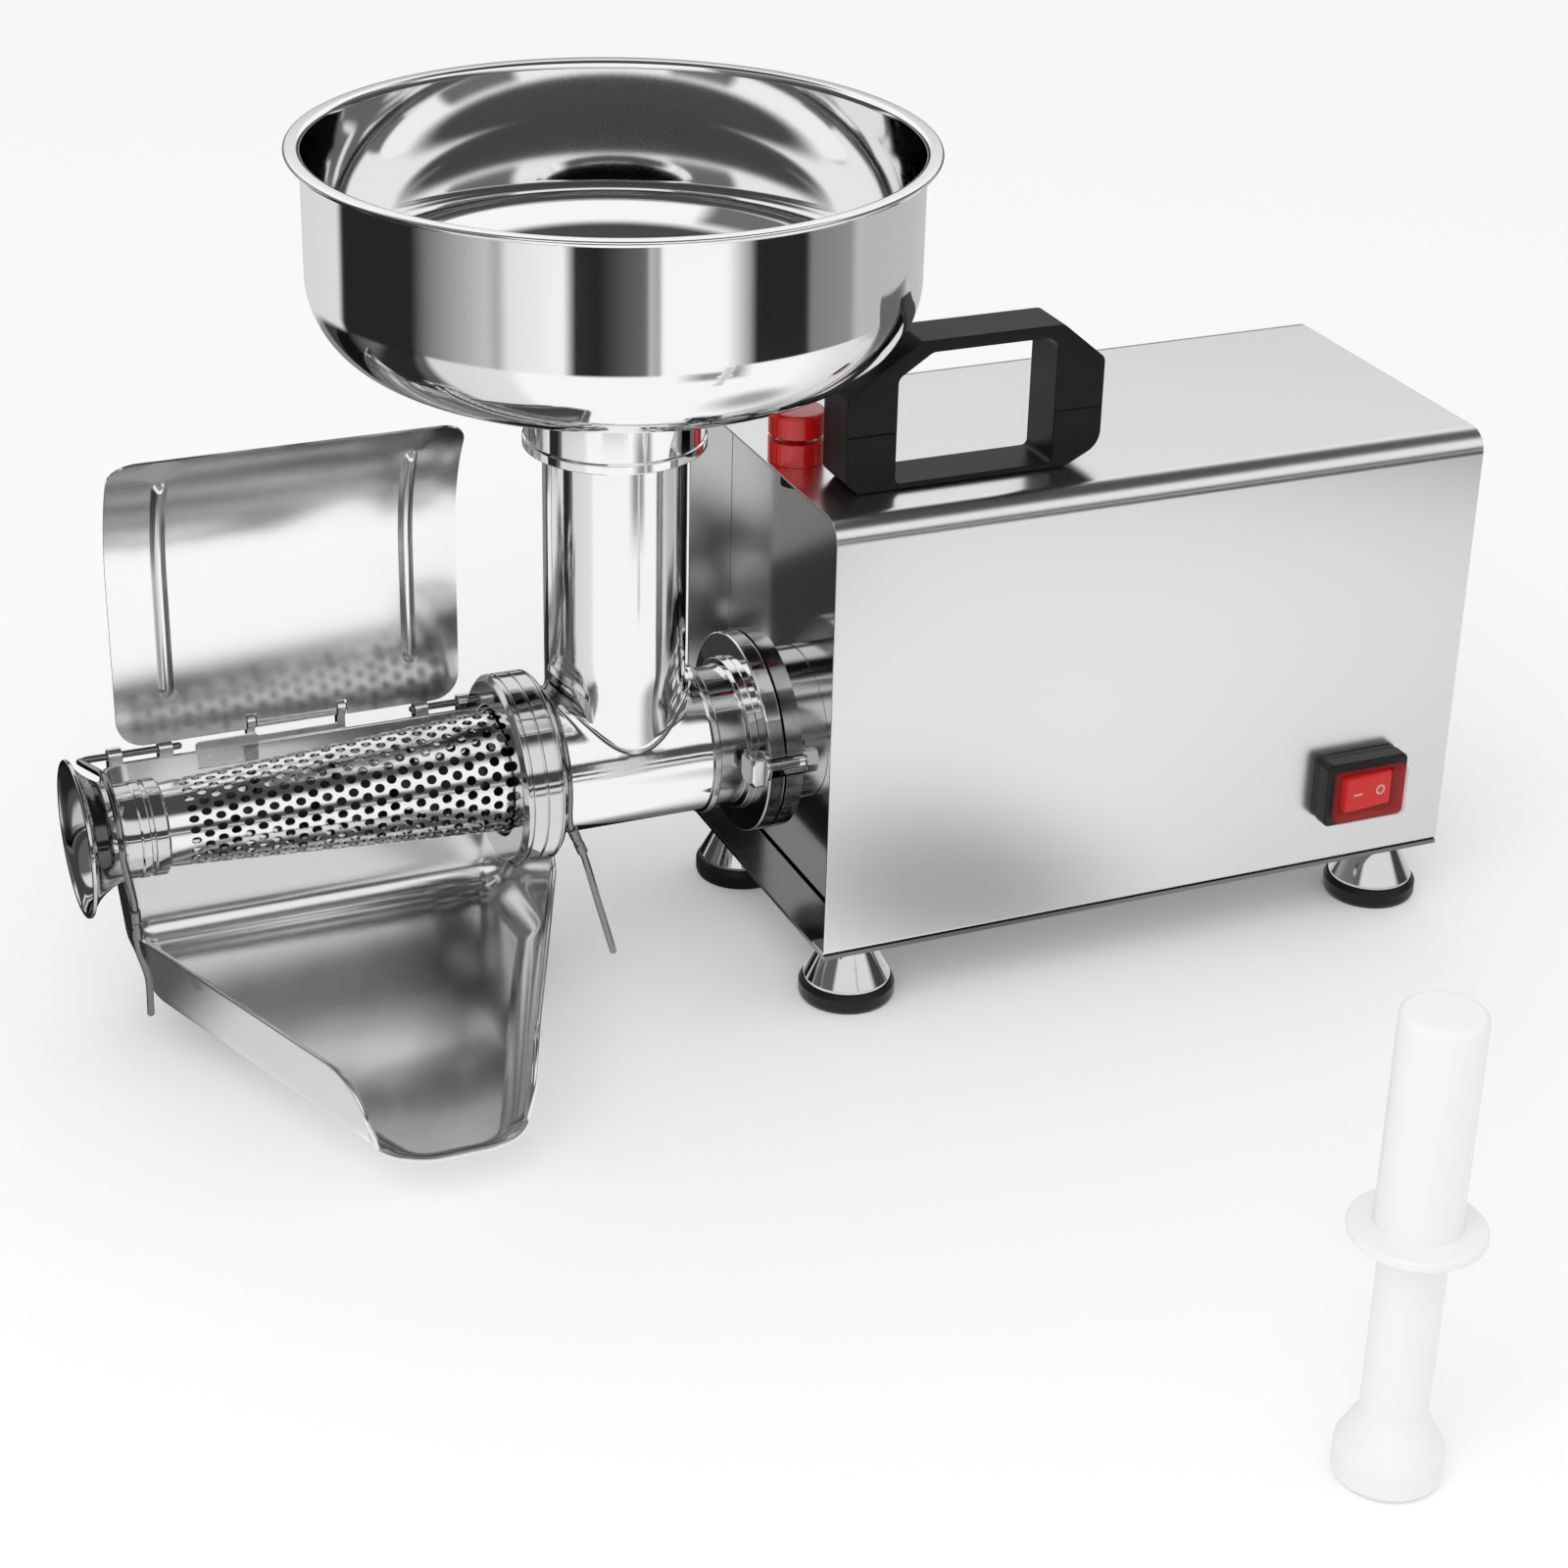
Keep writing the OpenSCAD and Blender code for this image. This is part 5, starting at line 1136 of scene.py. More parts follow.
@dataclass
class MainsSwitch:
    """Rocker switch in a black frame under a clear splash boot."""

    width: float = 0.041
    height: float = 0.0303
    depth: float = 0.01
    rocker_w: float = 0.025
    rocker_h: float = 0.0165
    rocker_d: float = 0.007
    rise: float = 0.0016
    pivot: float = 0.003
    tilt: float = 6.0
    boot_w: float = 0.036
    boot_h: float = 0.0246
    boot_d: float = 0.006
    neck: Corner = (0.0155, 0.027, 0.0105)
    mark_t: float = 0.0003
    mark_x: float = 0.0062
    mark_bar: Pair = (0.0023, 0.0004)
    mark_ring: Pair = (0.0024, 0.0016)

    def middle(self) -> Vector:
        """Middle of the frame's rear face, on the housing's side."""
        low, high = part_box("switch_boot")
        return Vector(((low.x + high.x) / 2, BARREL_Y - 0.08, (low.z + high.z) / 2))

    def plate(self, name: str, w: float, h: float, r: float, near: float, far: float, edge: float,
              hole: Optional[Corner] = None) -> bpy.types.Object:
        """A rounded plate in front of the housing's side, between two distances from it.

        Args:
            name: the object's name.
            w: width.
            h: height.
            r: radius of the corners.
            near: distance of the rear face.
            far: distance of the front face.
            edge: radius of the edges.
            hole: width, height and corner radius of an opening.

        Returns:
            The object.
        """
        def frame_of(a: float, b: float, c: float) -> list[Pair]:
            """A rounded rectangle round the middle."""
            return rounded([(-a / 2, -b / 2, c), (a / 2, -b / 2, c), (a / 2, b / 2, c), (-a / 2, b / 2, c)])
        mid = self.middle()
        place = Matrix.Translation((mid.x, mid.y - (near + far) / 2, mid.z)) @ UPRIGHT
        outlines = [frame_of(w, h, r)]
        if hole:
            outlines.append(frame_of(*hole)[::-1])
        return slab(name, outlines, far - near, edge, place, 3)

    def build(self) -> None:
        """Makes the frame, the rocker with its marks and the boot."""
        mid = self.middle()
        hole = (self.rocker_w + 0.002, self.rocker_h + 0.002, 0.001)
        rim = self.plate("rim", self.width, self.height, 0.003, 0.0014, self.depth, 0.0012, hole)
        foot = self.plate("foot", self.width - 0.0006, self.height - 0.0006, 0.003, 0.0, 0.0014, 0.0002)
        rear = Vector((mid.x - self.neck[0], mid.y + 0.0001, mid.z - self.neck[2]))
        neck = block("neck", rear, rear + Vector((2 * self.neck[0], self.neck[1], 2 * self.neck[2])), 0.0005)
        body = joined("switch_frame", [rim, foot, neck])
        dressed(shaded(body, 35), "housing", Slot.SWITCH, "switch_body")
        self.build_rocker(mid)
        shell = self.plate("switch_cover", self.boot_w, self.boot_h, 0.003, self.depth,
                           self.depth + self.boot_d, 0.0018)
        void = self.plate("void", self.boot_w - 0.002, self.boot_h - 0.002, 0.002, self.depth - 0.001,
                          self.depth + self.boot_d - 0.001, 0.001)
        cut_away(shell, void)
        dressed(shaded(shell, 40), "housing", Slot.BOOT, "switch_boot")

    def build_rocker(self, mid: Vector) -> None:
        """Makes the tilted rocker and the two marks on it."""
        pivot = Vector((mid.x, mid.y - self.depth + self.pivot, mid.z))
        turn = Matrix.Translation(pivot) @ Matrix.Rotation(math.radians(self.tilt), 4, "Z")
        face = -self.pivot - self.rise
        low = Vector((-self.rocker_w / 2, face, -self.rocker_h / 2))
        rocker = block("rocker_cap", low, low + Vector((self.rocker_w, self.rocker_d, self.rocker_h)), 0.0011)
        rocker.data.transform(turn)
        dressed(shaded(rocker, 40), "rocker", Slot.RED, "switch_rocker")
        w, h = self.mark_bar
        bar = [(-w, -h), (w, -h), (w, h), (-w, h)]
        ring, bore = (arc(0, 0, r, 0, 360 - 360 / 32, 31) for r in self.mark_ring)
        for name, outlines, x in (("mark_on", [bar], -self.mark_x),
                                  ("mark_off", [ring, bore[::-1]], self.mark_x)):
            place = turn @ Matrix.Translation((x, face - self.mark_t / 4, 0)) @ UPRIGHT
            dressed(slab(name, outlines, self.mark_t, 0.00004, place, 0), "rocker", Slot.WHITE)


@dataclass
class PressBody:
    """Cast barrel and feed tube with a rolled blend between them, and the clamped flange."""

    barrel_r: float = 0.031
    bore_r: float = 0.027
    tube_r: float = 0.0299
    tube_x: float = -0.065
    tube_top: float = 0.25
    waist: float = 0.0017
    waist_run: float = 0.03
    blend_side: float = 0.0039
    blend_front: float = 0.009
    front: float = -0.109
    thread_r: float = 0.033
    thread_end: float = -0.1
    lip_x: float = -0.032
    flange_front: float = -0.0116
    flange_rear: float = -0.0042
    flange_r: float = 0.0438
    step_deg: float = 3.0
    slot_y: float = 0.04
    slot_w: float = 0.009
    slot_z: float = 0.002

    def on_barrel(self, x: float, turn: float, r: float) -> Vector:
        """Point at x, at an angle from straight up, at a distance from the barrel's axis."""
        return at(x, r * math.sin(turn), AXIS_Z + r * math.cos(turn))

    def foot_r(self, a: float) -> float:
        """Radius of the tube's foot at an angle, which is waisted where tube and barrel run side by side."""
        return self.tube_r - self.waist * math.sin(a) ** 2

    def blend_r(self, a: float) -> float:
        """Radius of the blend at an angle round the tube."""
        side = self.blend_side - 0.0009 * math.cos(a)
        return side + (self.blend_front - side) * math.sin(a) ** 2

    def blend_centre(self, a: float) -> Vector:
        """Centre of the ball that rolls between tube and barrel, as (x, y, z above the axis)."""
        reach = self.foot_r(a) + self.blend_r(a)
        y = reach * math.sin(a)
        z = math.sqrt((self.barrel_r + self.blend_r(a)) ** 2 - y * y)
        return Vector((self.tube_x + reach * math.cos(a), y, z))

    def skin(self) -> tuple[list[Vector], list[tuple[int, ...]]]:
        """The barrel's skin round the tube, the blend and the tube, as one open surface."""
        around, steps = 144, 8
        angles = [math.tau * k / around for k in range(around)]
        centres = [self.blend_centre(a) for a in angles]
        turns = [math.radians(-180 + self.step_deg * k) for k in range(int(360 / self.step_deg) + 1)]
        stations = [self.thread_end + (self.lip_x - self.thread_end) * k / 16 for k in range(17)]
        unrolled = [(c.x, self.barrel_r * math.atan2(c.y, c.z)) for c in centres]
        edge = self.barrel_r * math.pi
        outline = [(stations[0], self.barrel_r * t) for t in turns]
        outline += [(x, edge) for x in stations[1:-1]]
        outline += [(stations[-1], self.barrel_r * t) for t in reversed(turns)]
        outline += [(x, -edge) for x in reversed(stations[1:-1])]
        inner = [(x, self.barrel_r * t) for x in stations[1:-1] for t in turns[1:-1]]
        flat, faces = filled(outline, [unrolled], inner)
        points = [self.on_barrel(x, s / self.barrel_r, self.barrel_r) for x, s in flat]
        start = len(points)
        for a, c in zip(angles, centres):
            to_barrel = Vector((0, -c.y, -c.z)).normalized()
            to_tube = Vector((-math.cos(a), -math.sin(a), 0))
            for k in range(steps + 1):
                out = to_barrel.slerp(to_tube, k / steps)
                p = c + out * self.blend_r(a)
                points.append(at(p.x, p.y, AXIS_Z + p.z))
        rows = [self.waist_run * k / 8 for k in range(1, 9)] + [0.06, 0.09, self.tube_top - AXIS_Z]
        columns = steps + 1
        top = len(points)
        for a, c in zip(angles, centres):
            for row in rows:
                share = min(1.0, row / self.waist_run)
                r = self.foot_r(a) + (self.tube_r - self.foot_r(a)) * share * share * (3 - 2 * share)
                z = row if row is rows[-1] else c.z + row
                points.append(at(self.tube_x + r * math.cos(a), r * math.sin(a), AXIS_Z + z))
        for i in range(around):
            n = (i + 1) % around
            for k in range(steps):
                faces.append((start + i * columns + k, start + n * columns + k,
                              start + n * columns + k + 1, start + i * columns + k + 1))
            before = (start + i * columns + steps, start + n * columns + steps)
            for k in range(len(rows)):
                after = (top + i * len(rows) + k, top + n * len(rows) + k)
                faces.append((before[0], before[1], after[1], after[0]))
                before = after
        faces.append(tuple(top + i * len(rows) + len(rows) - 1 for i in range(around)))
        return points, faces

    def ends(self) -> tuple[list[Vector], list[tuple[int, ...]]]:
        """Turned surfaces before and behind the barrel, closed on the axis."""
        front = rounded([(0, self.front), (self.thread_r, self.front, 0.0008),
                         (self.thread_r, self.thread_end - 0.0006, 0.0003),
                         (self.barrel_r, self.thread_end)], False, 4)
        rear = rounded([
            (self.barrel_r, self.lip_x), (0.0325, self.lip_x + 0.0006, 0.0006), (0.0325, -0.0285, 0.0007),
            (0.03, -0.0279, 0.0005), (0.03, -0.0156, 0.0006), (0.033, -0.0152, 0.0004),
            (0.033, self.flange_front, 0.0005), (self.flange_r, self.flange_front, 0.0009),
            (self.flange_r, self.flange_rear, 0.0006), (0, self.flange_rear)], False, 4)
        points: list[Vector] = []
        faces: list[tuple[int, ...]] = []
        turns = [math.radians(-180 + self.step_deg * k) for k in range(int(360 / self.step_deg))]
        for outline in (front, rear):
            rings = []
            for r, x in outline:
                rings.append(len(points))
                points += [self.on_barrel(x, t, max(r, WELD / 20)) for t in turns]
            for first, second in zip(rings, rings[1:]):
                for k in range(len(turns)):
                    n = (k + 1) % len(turns)
                    faces.append((first + k, first + n, second + n, second + k))
        return points, faces

    def build(self) -> None:
        """Joins the skin and the ends, bores them and cuts the clamp slots."""
        points, faces = self.skin()
        more, others = self.ends()
        shift = len(points)
        faces = list(faces) + [tuple(v + shift for v in face) for face in others]
        body = mesh_object("press_casting", points + more, faces)
        bore = lathe("bore", [(0, self.front - OVER), (self.bore_r, self.front - OVER),
                              (self.bore_r, self.flange_rear + OVER), (0, self.flange_rear + OVER)],
                     at(0, 0, AXIS_Z), "X", 120)
        shaft = lathe("shaft", [(0, 0), (self.bore_r, 0), (self.bore_r, self.tube_top - AXIS_Z + OVER),
                                (0, self.tube_top - AXIS_Z + OVER)], at(self.tube_x, 0, AXIS_Z), "Z", 120)
        slots = [self.slot(side, self.flange_front - OVER, self.flange_rear + OVER) for side in (-1, 1)]
        cut_away(body, bore, shaft, *slots)
        dressed(shaded(body, 35), "housing", Slot.CAST, "press_body")
        body.data.materials.append(Paints.turned())
        rear = at(self.lip_x, 0, 0).x
        for face in body.data.polygons:
            if face.center.x > rear and face.center.z < self.tube_top / 2:
                face.material_index = 1

    def slot(self, side: int, x0: float, x1: float) -> bpy.types.Object:
        """Cutter for a slot that is open at the flange's rim."""
        half = self.slot_w / 2
        far = self.slot_y + self.slot_w
        height = AXIS_Z + self.slot_z
        outline = [(side * y, z) for y, z in
                   [(far, height - half), (far, height + half), *arc(self.slot_y, height, half, 90, 270, 16)]]
        place = across_x((x0 + x1) / 2)
        return slab(f"slot_{side}", [outline if side > 0 else outline[::-1]], x1 - x0, 0.0, place, 0)


@dataclass
class Flange:
    """The gearbox's hub and flange, and the bolts that clamp the press to it; the gasket stays as the frame
    has it.
    """

    washer_x: float = -0.0136
    washer_t: float = 0.002
    washer_r: float = 0.0068
    head: float = 0.013
    head_h: float = 0.007
    bolt_y: float = 0.04
    bolt_z: float = 0.002
    shank_r: float = 0.003
    shank_end: float = 0.0107

    def build(self) -> None:
        """Refines the hub and the nuts, and makes the bolts."""
        dressed(shaded(refined("gearbox_case", "gearbox_hub", 0.0008)), "housing", Slot.GEARBOX,
                "gearbox_case")
        dressed(shaded(refined("clamp_nuts", "clamp_hex", 0.0004)), "housing", Slot.BOLT, "clamp_nuts")
        axis = Vector((0, 0, 0))
        washer = lathe("washer", rounded([
            (0, 0), (self.washer_r, 0, 0.0004), (self.washer_r, self.washer_t, 0.0004),
            (0, self.washer_t)]), axis, "X", 64)
        shank = lathe("shank", [
            (0, self.washer_t), (self.shank_r, self.washer_t),
            (self.shank_r, self.shank_end - self.washer_x), (0, self.shank_end - self.washer_x)],
            axis, "X", 48)
        half = self.head / 2
        head = block("head", Vector((-self.head_h, -half, -half)), Vector((0, half, half)), 0.0011)
        crown = lathe("crown", rounded([(0, -self.head_h - OVER), (half * 1.02, -self.head_h - OVER),
                                        (half * 1.02, -self.head_h, 0.0), (half * 1.5, -self.head_h + 0.0022),
                                        (half * 1.5, OVER), (0, OVER)]), axis, "X", 64)
        modified(head, "BOOLEAN", operation="INTERSECT", object=crown, solver="EXACT")
        bpy.data.objects.remove(crown)
        bolt = joined("bolt_one", [washer, shank, head])
        places = [at(self.washer_x, side * self.bolt_y, AXIS_Z + self.bolt_z) for side in (-1, 1)]
        bolts = Copies("square_bolts", Paints.of(Slot.BOLT)).make(bolt, places)
        tidy(bolts, WELD / 10)
        dressed(shaded(bolts, 35), "housing", Slot.BOLT, "clamp_bolts")


@dataclass
class RingNut:
    """Ring nut with turned grooves; its spanner notches aren't made."""

    front: float = -0.1195
    length: float = 0.0195
    radius: float = 0.0407
    lip_r: float = 0.028
    lip_t: float = 0.0083
    bore_r: float = 0.03305
    chamfer: float = 0.002
    groove_w: float = 0.0012
    groove_d: float = 0.0009
    groove_shares: tuple[float, ...] = (0.2, 0.52, 0.84)

    def build(self) -> None:
        """Turns the nut."""
        rear = self.front + self.length
        outline: list[Sequence[float]] = [(self.lip_r, self.front, 0.0006),
                                          (self.radius - self.chamfer, self.front, 0.0012),
                                          (self.radius, self.front + self.chamfer, 0.0012)]
        for share in self.groove_shares:
            mid = self.front + share * self.length
            for x, r in ((-1, 0), (-0.6, 1), (0.6, 1), (1, 0)):
                outline.append((self.radius - r * self.groove_d, mid + x * self.groove_w / 2, 0.0002))
        outline += [(self.radius, rear - self.chamfer, 0.001), (self.radius - self.chamfer, rear, 0.0008),
                    (self.bore_r, rear), (self.bore_r, self.front + self.lip_t),
                    (self.lip_r, self.front + self.lip_t)]
        nut = lathe("grooved_nut", rounded(outline, steps=4), at(0, 0, AXIS_Z), "X", 160)
        dressed(shaded(nut, 40), "housing", Slot.POLISHED, "ring_nut")


@dataclass
class Strainer:
    """Perforated cone with plain bands at its ends."""

    big_x: float = -0.111
    length: float = 0.151
    big_r: float = 0.0263
    small_r: float = 0.0173
    wall: float = 0.001
    flange_r: float = 0.0328
    flange_t: float = 0.002
    big_band: float = 0.004
    small_band: float = 0.005

    def radius(self, x: float) -> float:
        """Outer radius of the cone at x."""
        return self.big_r + (self.small_r - self.big_r) * (self.big_x - x) / self.length

    def build(self) -> None:
        """Makes the perforated wall and its bands as one mesh."""
        skin = 0.00006
        start = self.big_x - self.big_band
        end = self.big_x - self.length + self.small_band
        wall = PerforatedWall("cone_wall", Paints.of(Slot.PERFORATED), big_r=self.radius(start),
                              small_r=self.radius(end)).make(at(start, 0, AXIS_Z), start - end)
        tidy(wall, 0.00002)
        outward = sum((p.normal.dot(Vector((0, p.center.y - BARREL_Y, p.center.z - AXIS_Z - BASE_Z)))
                       for p in wall.data.polygons[:400]))
        # The wall's inside and the holes' rims take near-black steel: painted shade for the cone's dark
        # inside.
        wall.data.materials.append(Paints.inner_shade())
        modified(wall, "SOLIDIFY", thickness=self.wall, offset=-1.0 if outward > 0 else 1.0,
                 material_offset=1, material_offset_rim=1)
        bands = []
        tail = self.big_x - self.length
        for name, x0, x1 in (("big_band", start - 0.002, self.big_x), ("small_band", tail, end + 0.002)):
            bands.append(lathe(name, [
                (self.radius(x0) + skin, x0), (self.radius(x1) + skin, x1),
                (self.radius(x1) - self.wall - skin, x1), (self.radius(x0) - self.wall - skin, x0)],
                at(0, 0, AXIS_Z), "X", 120))
        rim = lathe("rim", rounded([(self.big_r - self.wall, self.big_x), (self.flange_r, self.big_x, 0.0004),
                                    (self.flange_r, self.big_x + self.flange_t, 0.0004),
                                    (self.big_r - self.wall, self.big_x + self.flange_t)]),
                    at(0, 0, AXIS_Z), "X", 120)
        cone = joined("perforated_cone", [wall, *bands, rim])
        dressed(shaded(cone, 40), "housing", Slot.PERFORATED, "strainer_cone")
        # The second slot is that near-black steel, painted shade inside the cone.
        cone.data.materials.append(Paints.inner_shade())


@dataclass
class Outlet:
    """Grooved collar and flared bell at the small end of the cone."""

    collar_front: float = -0.274
    collar_rear: float = -0.262
    collar_r: float = 0.02
    bore_r: float = 0.014
    bell_front: float = -0.297
    rim_r: float = 0.0325
    wall: float = 0.0016

    def build(self) -> None:
        """Turns the collar and the bell."""
        step = 0.001
        length = self.collar_rear - self.collar_front
        x = self.collar_front
        collar = rounded([
            (self.bore_r, x), (self.collar_r - step / 2, x, 0.0004), (self.collar_r, x + step, 0.0005),
            (self.collar_r, x + length * 0.33, 0.0004), (self.collar_r - step, x + length * 0.35, 0.0003),
            (self.collar_r - step, x + length * 0.48, 0.0003), (self.collar_r, x + length * 0.5, 0.0004),
            (self.collar_r, self.collar_rear - step, 0.0006), (self.collar_r - step, self.collar_rear),
            (self.bore_r, self.collar_rear)], steps=4)
        dressed(shaded(lathe("cone_collar", collar, at(0, 0, AXIS_Z), "X", 120), 40), "housing",
                Slot.POLISHED, "end_collar")
        flare = [(0.0196, -0.279), (0.0204, -0.2822), (0.0219, -0.2856), (0.0239, -0.2888), (0.0262, -0.2916),
                 (0.0289, -0.2938), (0.0313, -0.2952)]
        inner = [(r - self.wall * 1.1, x - self.wall * 0.4) for r, x in reversed(flare[1:])]
        outline = [(self.bore_r, self.collar_front), (0.0196, self.collar_front), *flare,
                   *rounded([flare[-1], (self.rim_r, -0.2954, 0.0005), (self.rim_r, self.bell_front, 0.0006),
                             (self.rim_r - self.wall * 1.3, self.bell_front, 0.0006),
                             inner[0]], False, 5)[1:-1],
                   *inner, (0.0172, -0.2806), (0.0148, -0.2793), (self.bore_r, -0.2785)]
        dressed(shaded(lathe("flared_bell", outline, at(0, 0, AXIS_Z), "X", 160), 40), "housing",
                Slot.POLISHED, "outlet_bell")


@dataclass
class FeedPan:
    """Spun feed pan with a flat rolled rim and a stepped neck."""

    rim_r: float = 0.1293
    wall_r: float = 0.123
    top: float = 0.3404
    floor: float = 0.2545
    bend_r: float = 0.035
    sheet: float = 0.0012
    rim_t: float = 0.0024
    neck_r: float = 0.037
    neck_low: float = 0.215
    step_h: float = 0.004
    neck_bore: float = 0.0301
    seat: float = 0.25005
    bore_r: float = 0.027

    def build(self) -> None:
        """Turns the pan with its rim and neck."""
        low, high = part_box("feed_pan")
        foot = Vector(((low.x + high.x) / 2, (low.y + high.y) / 2, BASE_Z))
        bend_x = self.wall_r - self.bend_r
        bend_z = self.floor + self.bend_r
        outer = arc(bend_x, bend_z, self.bend_r, -90, 0, 28)
        inner = arc(bend_x, bend_z, self.bend_r - self.sheet, 0, -90, 28)
        rim = rounded([
            outer[-1], (self.wall_r, self.top - self.rim_t, 0.0016),
            (self.rim_r - 0.0006, self.top - self.rim_t, 0.0008),
            (self.rim_r, self.top - self.rim_t * 0.45, 0.001), (self.rim_r - 0.0004, self.top, 0.0008),
            (self.wall_r - self.sheet + 0.0008, self.top, 0.0022),
            (self.wall_r - self.sheet, self.top - 0.003, 0.001), inner[0]], False, 6)
        outline = [*rounded([(self.bore_r, self.seat), (self.neck_bore, self.seat),
                             (self.neck_bore, self.neck_low),
                             (self.neck_r + 0.001, self.neck_low, 0.0005),
                             (self.neck_r + 0.001, self.neck_low + self.step_h, 0.0006),
                             (self.neck_r, self.neck_low + self.step_h + 0.0004, 0.0003),
                             (self.neck_r, self.floor, 0.0015), outer[0]], False, 5)[:-1],
                   *outer, *rim[1:-1], *inner,
                   *rounded([inner[-1], (self.bore_r + 0.004, self.floor + self.sheet, 0.003),
                             (self.bore_r, self.floor - 0.001, 0.001),
                             (self.bore_r, self.seat)], False, 6)[1:-1]]
        pan = lathe("spun_pan", outline, foot, "Z", 224)
        dressed(shaded(pan, 40), "pan", Slot.PAN, "feed_pan")


@dataclass
class JuiceTray:
    """Folded tray with flared sides, a rounded floor and a beaded rim, and the lugs on its back."""

    centre: float = -0.184
    half: float = 0.086
    lip: float = 0.026
    back: float = 0.053
    knee: float = -0.004
    front: float = -0.155
    corner_r: float = 0.014
    lip_r: float = 0.026
    sheet: float = 0.0012
    flare: float = 5.8
    bead_r: float = 0.0011
    rows: int = 26
    plan_step: float = 0.003
    floor: float = -0.009
    fall: float = 0.006
    fall_run: float = 0.165
    back_top: float = 0.078
    back_y: float = 0.05
    side_top: float = 0.025
    front_top: float = 0.02
    side_rise: float = 0.005
    spout_y: float = -0.114
    spout_run: float = 0.024
    spout_rise: float = 0.029

    def floor_z(self, y: float) -> float:
        """Height of the floor's underside."""
        share = min(1.0, max(0.0, (self.back - self.corner_r - y) / self.fall_run))
        return self.floor - self.fall * share

    def rim_z(self, y: float) -> float:
        """Height of the rim."""
        if y >= self.back_y:
            return self.back_top
        if y >= self.knee:
            share = (self.back_top - self.side_top) * (y - self.knee) / (self.back_y - self.knee)
            return self.side_top + share
        if y >= self.spout_y:
            return self.front_top + self.side_rise * (y - self.spout_y) / (self.knee - self.spout_y)
        share = min(1.0, (self.spout_y - y) / self.spout_run)
        return self.floor + self.spout_rise * math.sqrt(max(0.0, 1 - share * share))

    def plan(self) -> list[Pair]:
        """The tray's outline seen from above, at even steps, from its middle."""
        corners = [(-self.half, self.back, self.corner_r), (-self.half, self.knee, 0.02),
                   (-self.lip, self.front, self.lip_r), (self.lip, self.front, self.lip_r),
                   (self.half, self.knee, 0.02), (self.half, self.back, self.corner_r)]
        return resampled(rounded(corners, steps=16), self.plan_step)

    def build(self) -> None:
        """Makes the tub, the rim's bead, the tongue and the lugs."""
        plan = self.plan()
        count = len(plan)
        points: list[Vector] = []
        rim: list[Vector] = []
        lean = math.tan(math.radians(self.flare))
        quarter = self.corner_r * math.pi / 2
        for i, (x, y) in enumerate(plan):
            (ax, ay), (bx, by) = plan[i - 1], plan[(i + 1) % count]
            out = Vector((by - ay, ax - bx)).normalized()
            floor = self.floor_z(y)
            tall = self.rim_z(y) - floor
            if tall < self.corner_r:
                run = self.corner_r * math.acos(1 - tall / self.corner_r)
            else:
                run = quarter + tall - self.corner_r
            for k in range(self.rows + 1):
                s = run * k / self.rows
                if s < quarter:
                    a = s / self.corner_r
                    inset, rise = self.corner_r * (1 - math.sin(a)), self.corner_r * (1 - math.cos(a))
                else:
                    inset, rise = 0.0, self.corner_r + s - quarter
                px, py = x - out.x * inset, y - out.y * inset
                px *= 1 + lean * rise / self.half
                points.append(at(self.centre + px, py, floor + rise))
            rim.append(points[-1])
        columns = self.rows + 1
        faces = []
        for i in range(count):
            n = (i + 1) % count
            for k in range(self.rows):
                faces.append((i * columns + k, n * columns + k, n * columns + k + 1, i * columns + k + 1))
        faces.append(tuple(i * columns for i in range(count)))
        tub = mesh_object("tray_tub", points, faces)
        self.face_out(tub)
        modified(tub, "SOLIDIFY", thickness=self.sheet, offset=-1.0)
        dressed(shaded(tub, 35), "housing", Slot.TRAY, "juice_tray")
        bead = self.closed_wire("tray_bead", [p - Vector((0, 0, self.bead_r / 2)) for p in rim])
        dressed(shaded(bead, 60), "housing", Slot.TRAY)
        self.build_fittings()

    def face_out(self, tub: bpy.types.Object) -> None:
        """Turns the open tub's faces away from its inside."""
        middle = at(self.centre, -0.03, 0.03)
        total = sum((p.normal.dot(p.center - middle) for p in tub.data.polygons))
        if total < 0:
            tub.data.flip_normals()

    def closed_wire(self, name: str, path: Sequence[Vector]) -> bpy.types.Object:
        """A round bead along a closed path."""
        sides = 10
        points: list[Vector] = []
        count = len(path)
        for i, place in enumerate(path):
            along = (path[(i + 1) % count] - path[i - 1]).normalized()
            side = along.cross(Vector((0, 0, 1))).normalized()
            up = side.cross(along)
            for k in range(sides):
                a = math.tau * k / sides
                points.append(place + side * (self.bead_r * math.cos(a)) + up * (self.bead_r * math.sin(a)))
        return mesh_object(name, points, quads(count, sides, True), WELD / 10)

    def build_fittings(self) -> None:
        """Makes the tongue at the back rim and the lugs that carry the clips' rods."""
        tongue = slab("tray_tongue", [rounded([(-0.234, 0.07), (-0.207, 0.07), (-0.207, 0.083, 0.002),
                                               (-0.234, 0.083, 0.002)])],
                      self.sheet, 0.0003, across_y(self.back - self.sheet / 2))
        dressed(shaded(tongue), "housing", Slot.TRAY)
        low = 0.072
        lug_r, bore_r, length, y, z = 0.0032, 0.00185, 0.006, 0.0556, 0.081
        outline = [(self.back - 0.0006, low), (y + lug_r, low), *arc(y, z, lug_r, 0, 180, 16),
                   (self.back - 0.0006, z)]
        hole = arc(y, z, bore_r, 0, -360 + 360 / 24, 23)
        lefts = [WireClips.left + WireClips.left_rod * s for s in (0.35, 0.85)]
        rights = [WireClips.right - WireClips.right_rod * s for s in (0.42, 0.9)]
        lugs = [slab(f"lug_{i}", [outline, hole], length, 0.0003, across_x(x))
                for i, x in enumerate(lefts + rights)]
        dressed(shaded(joined("clip_lugs", lugs), 35), "housing", Slot.TRAY)


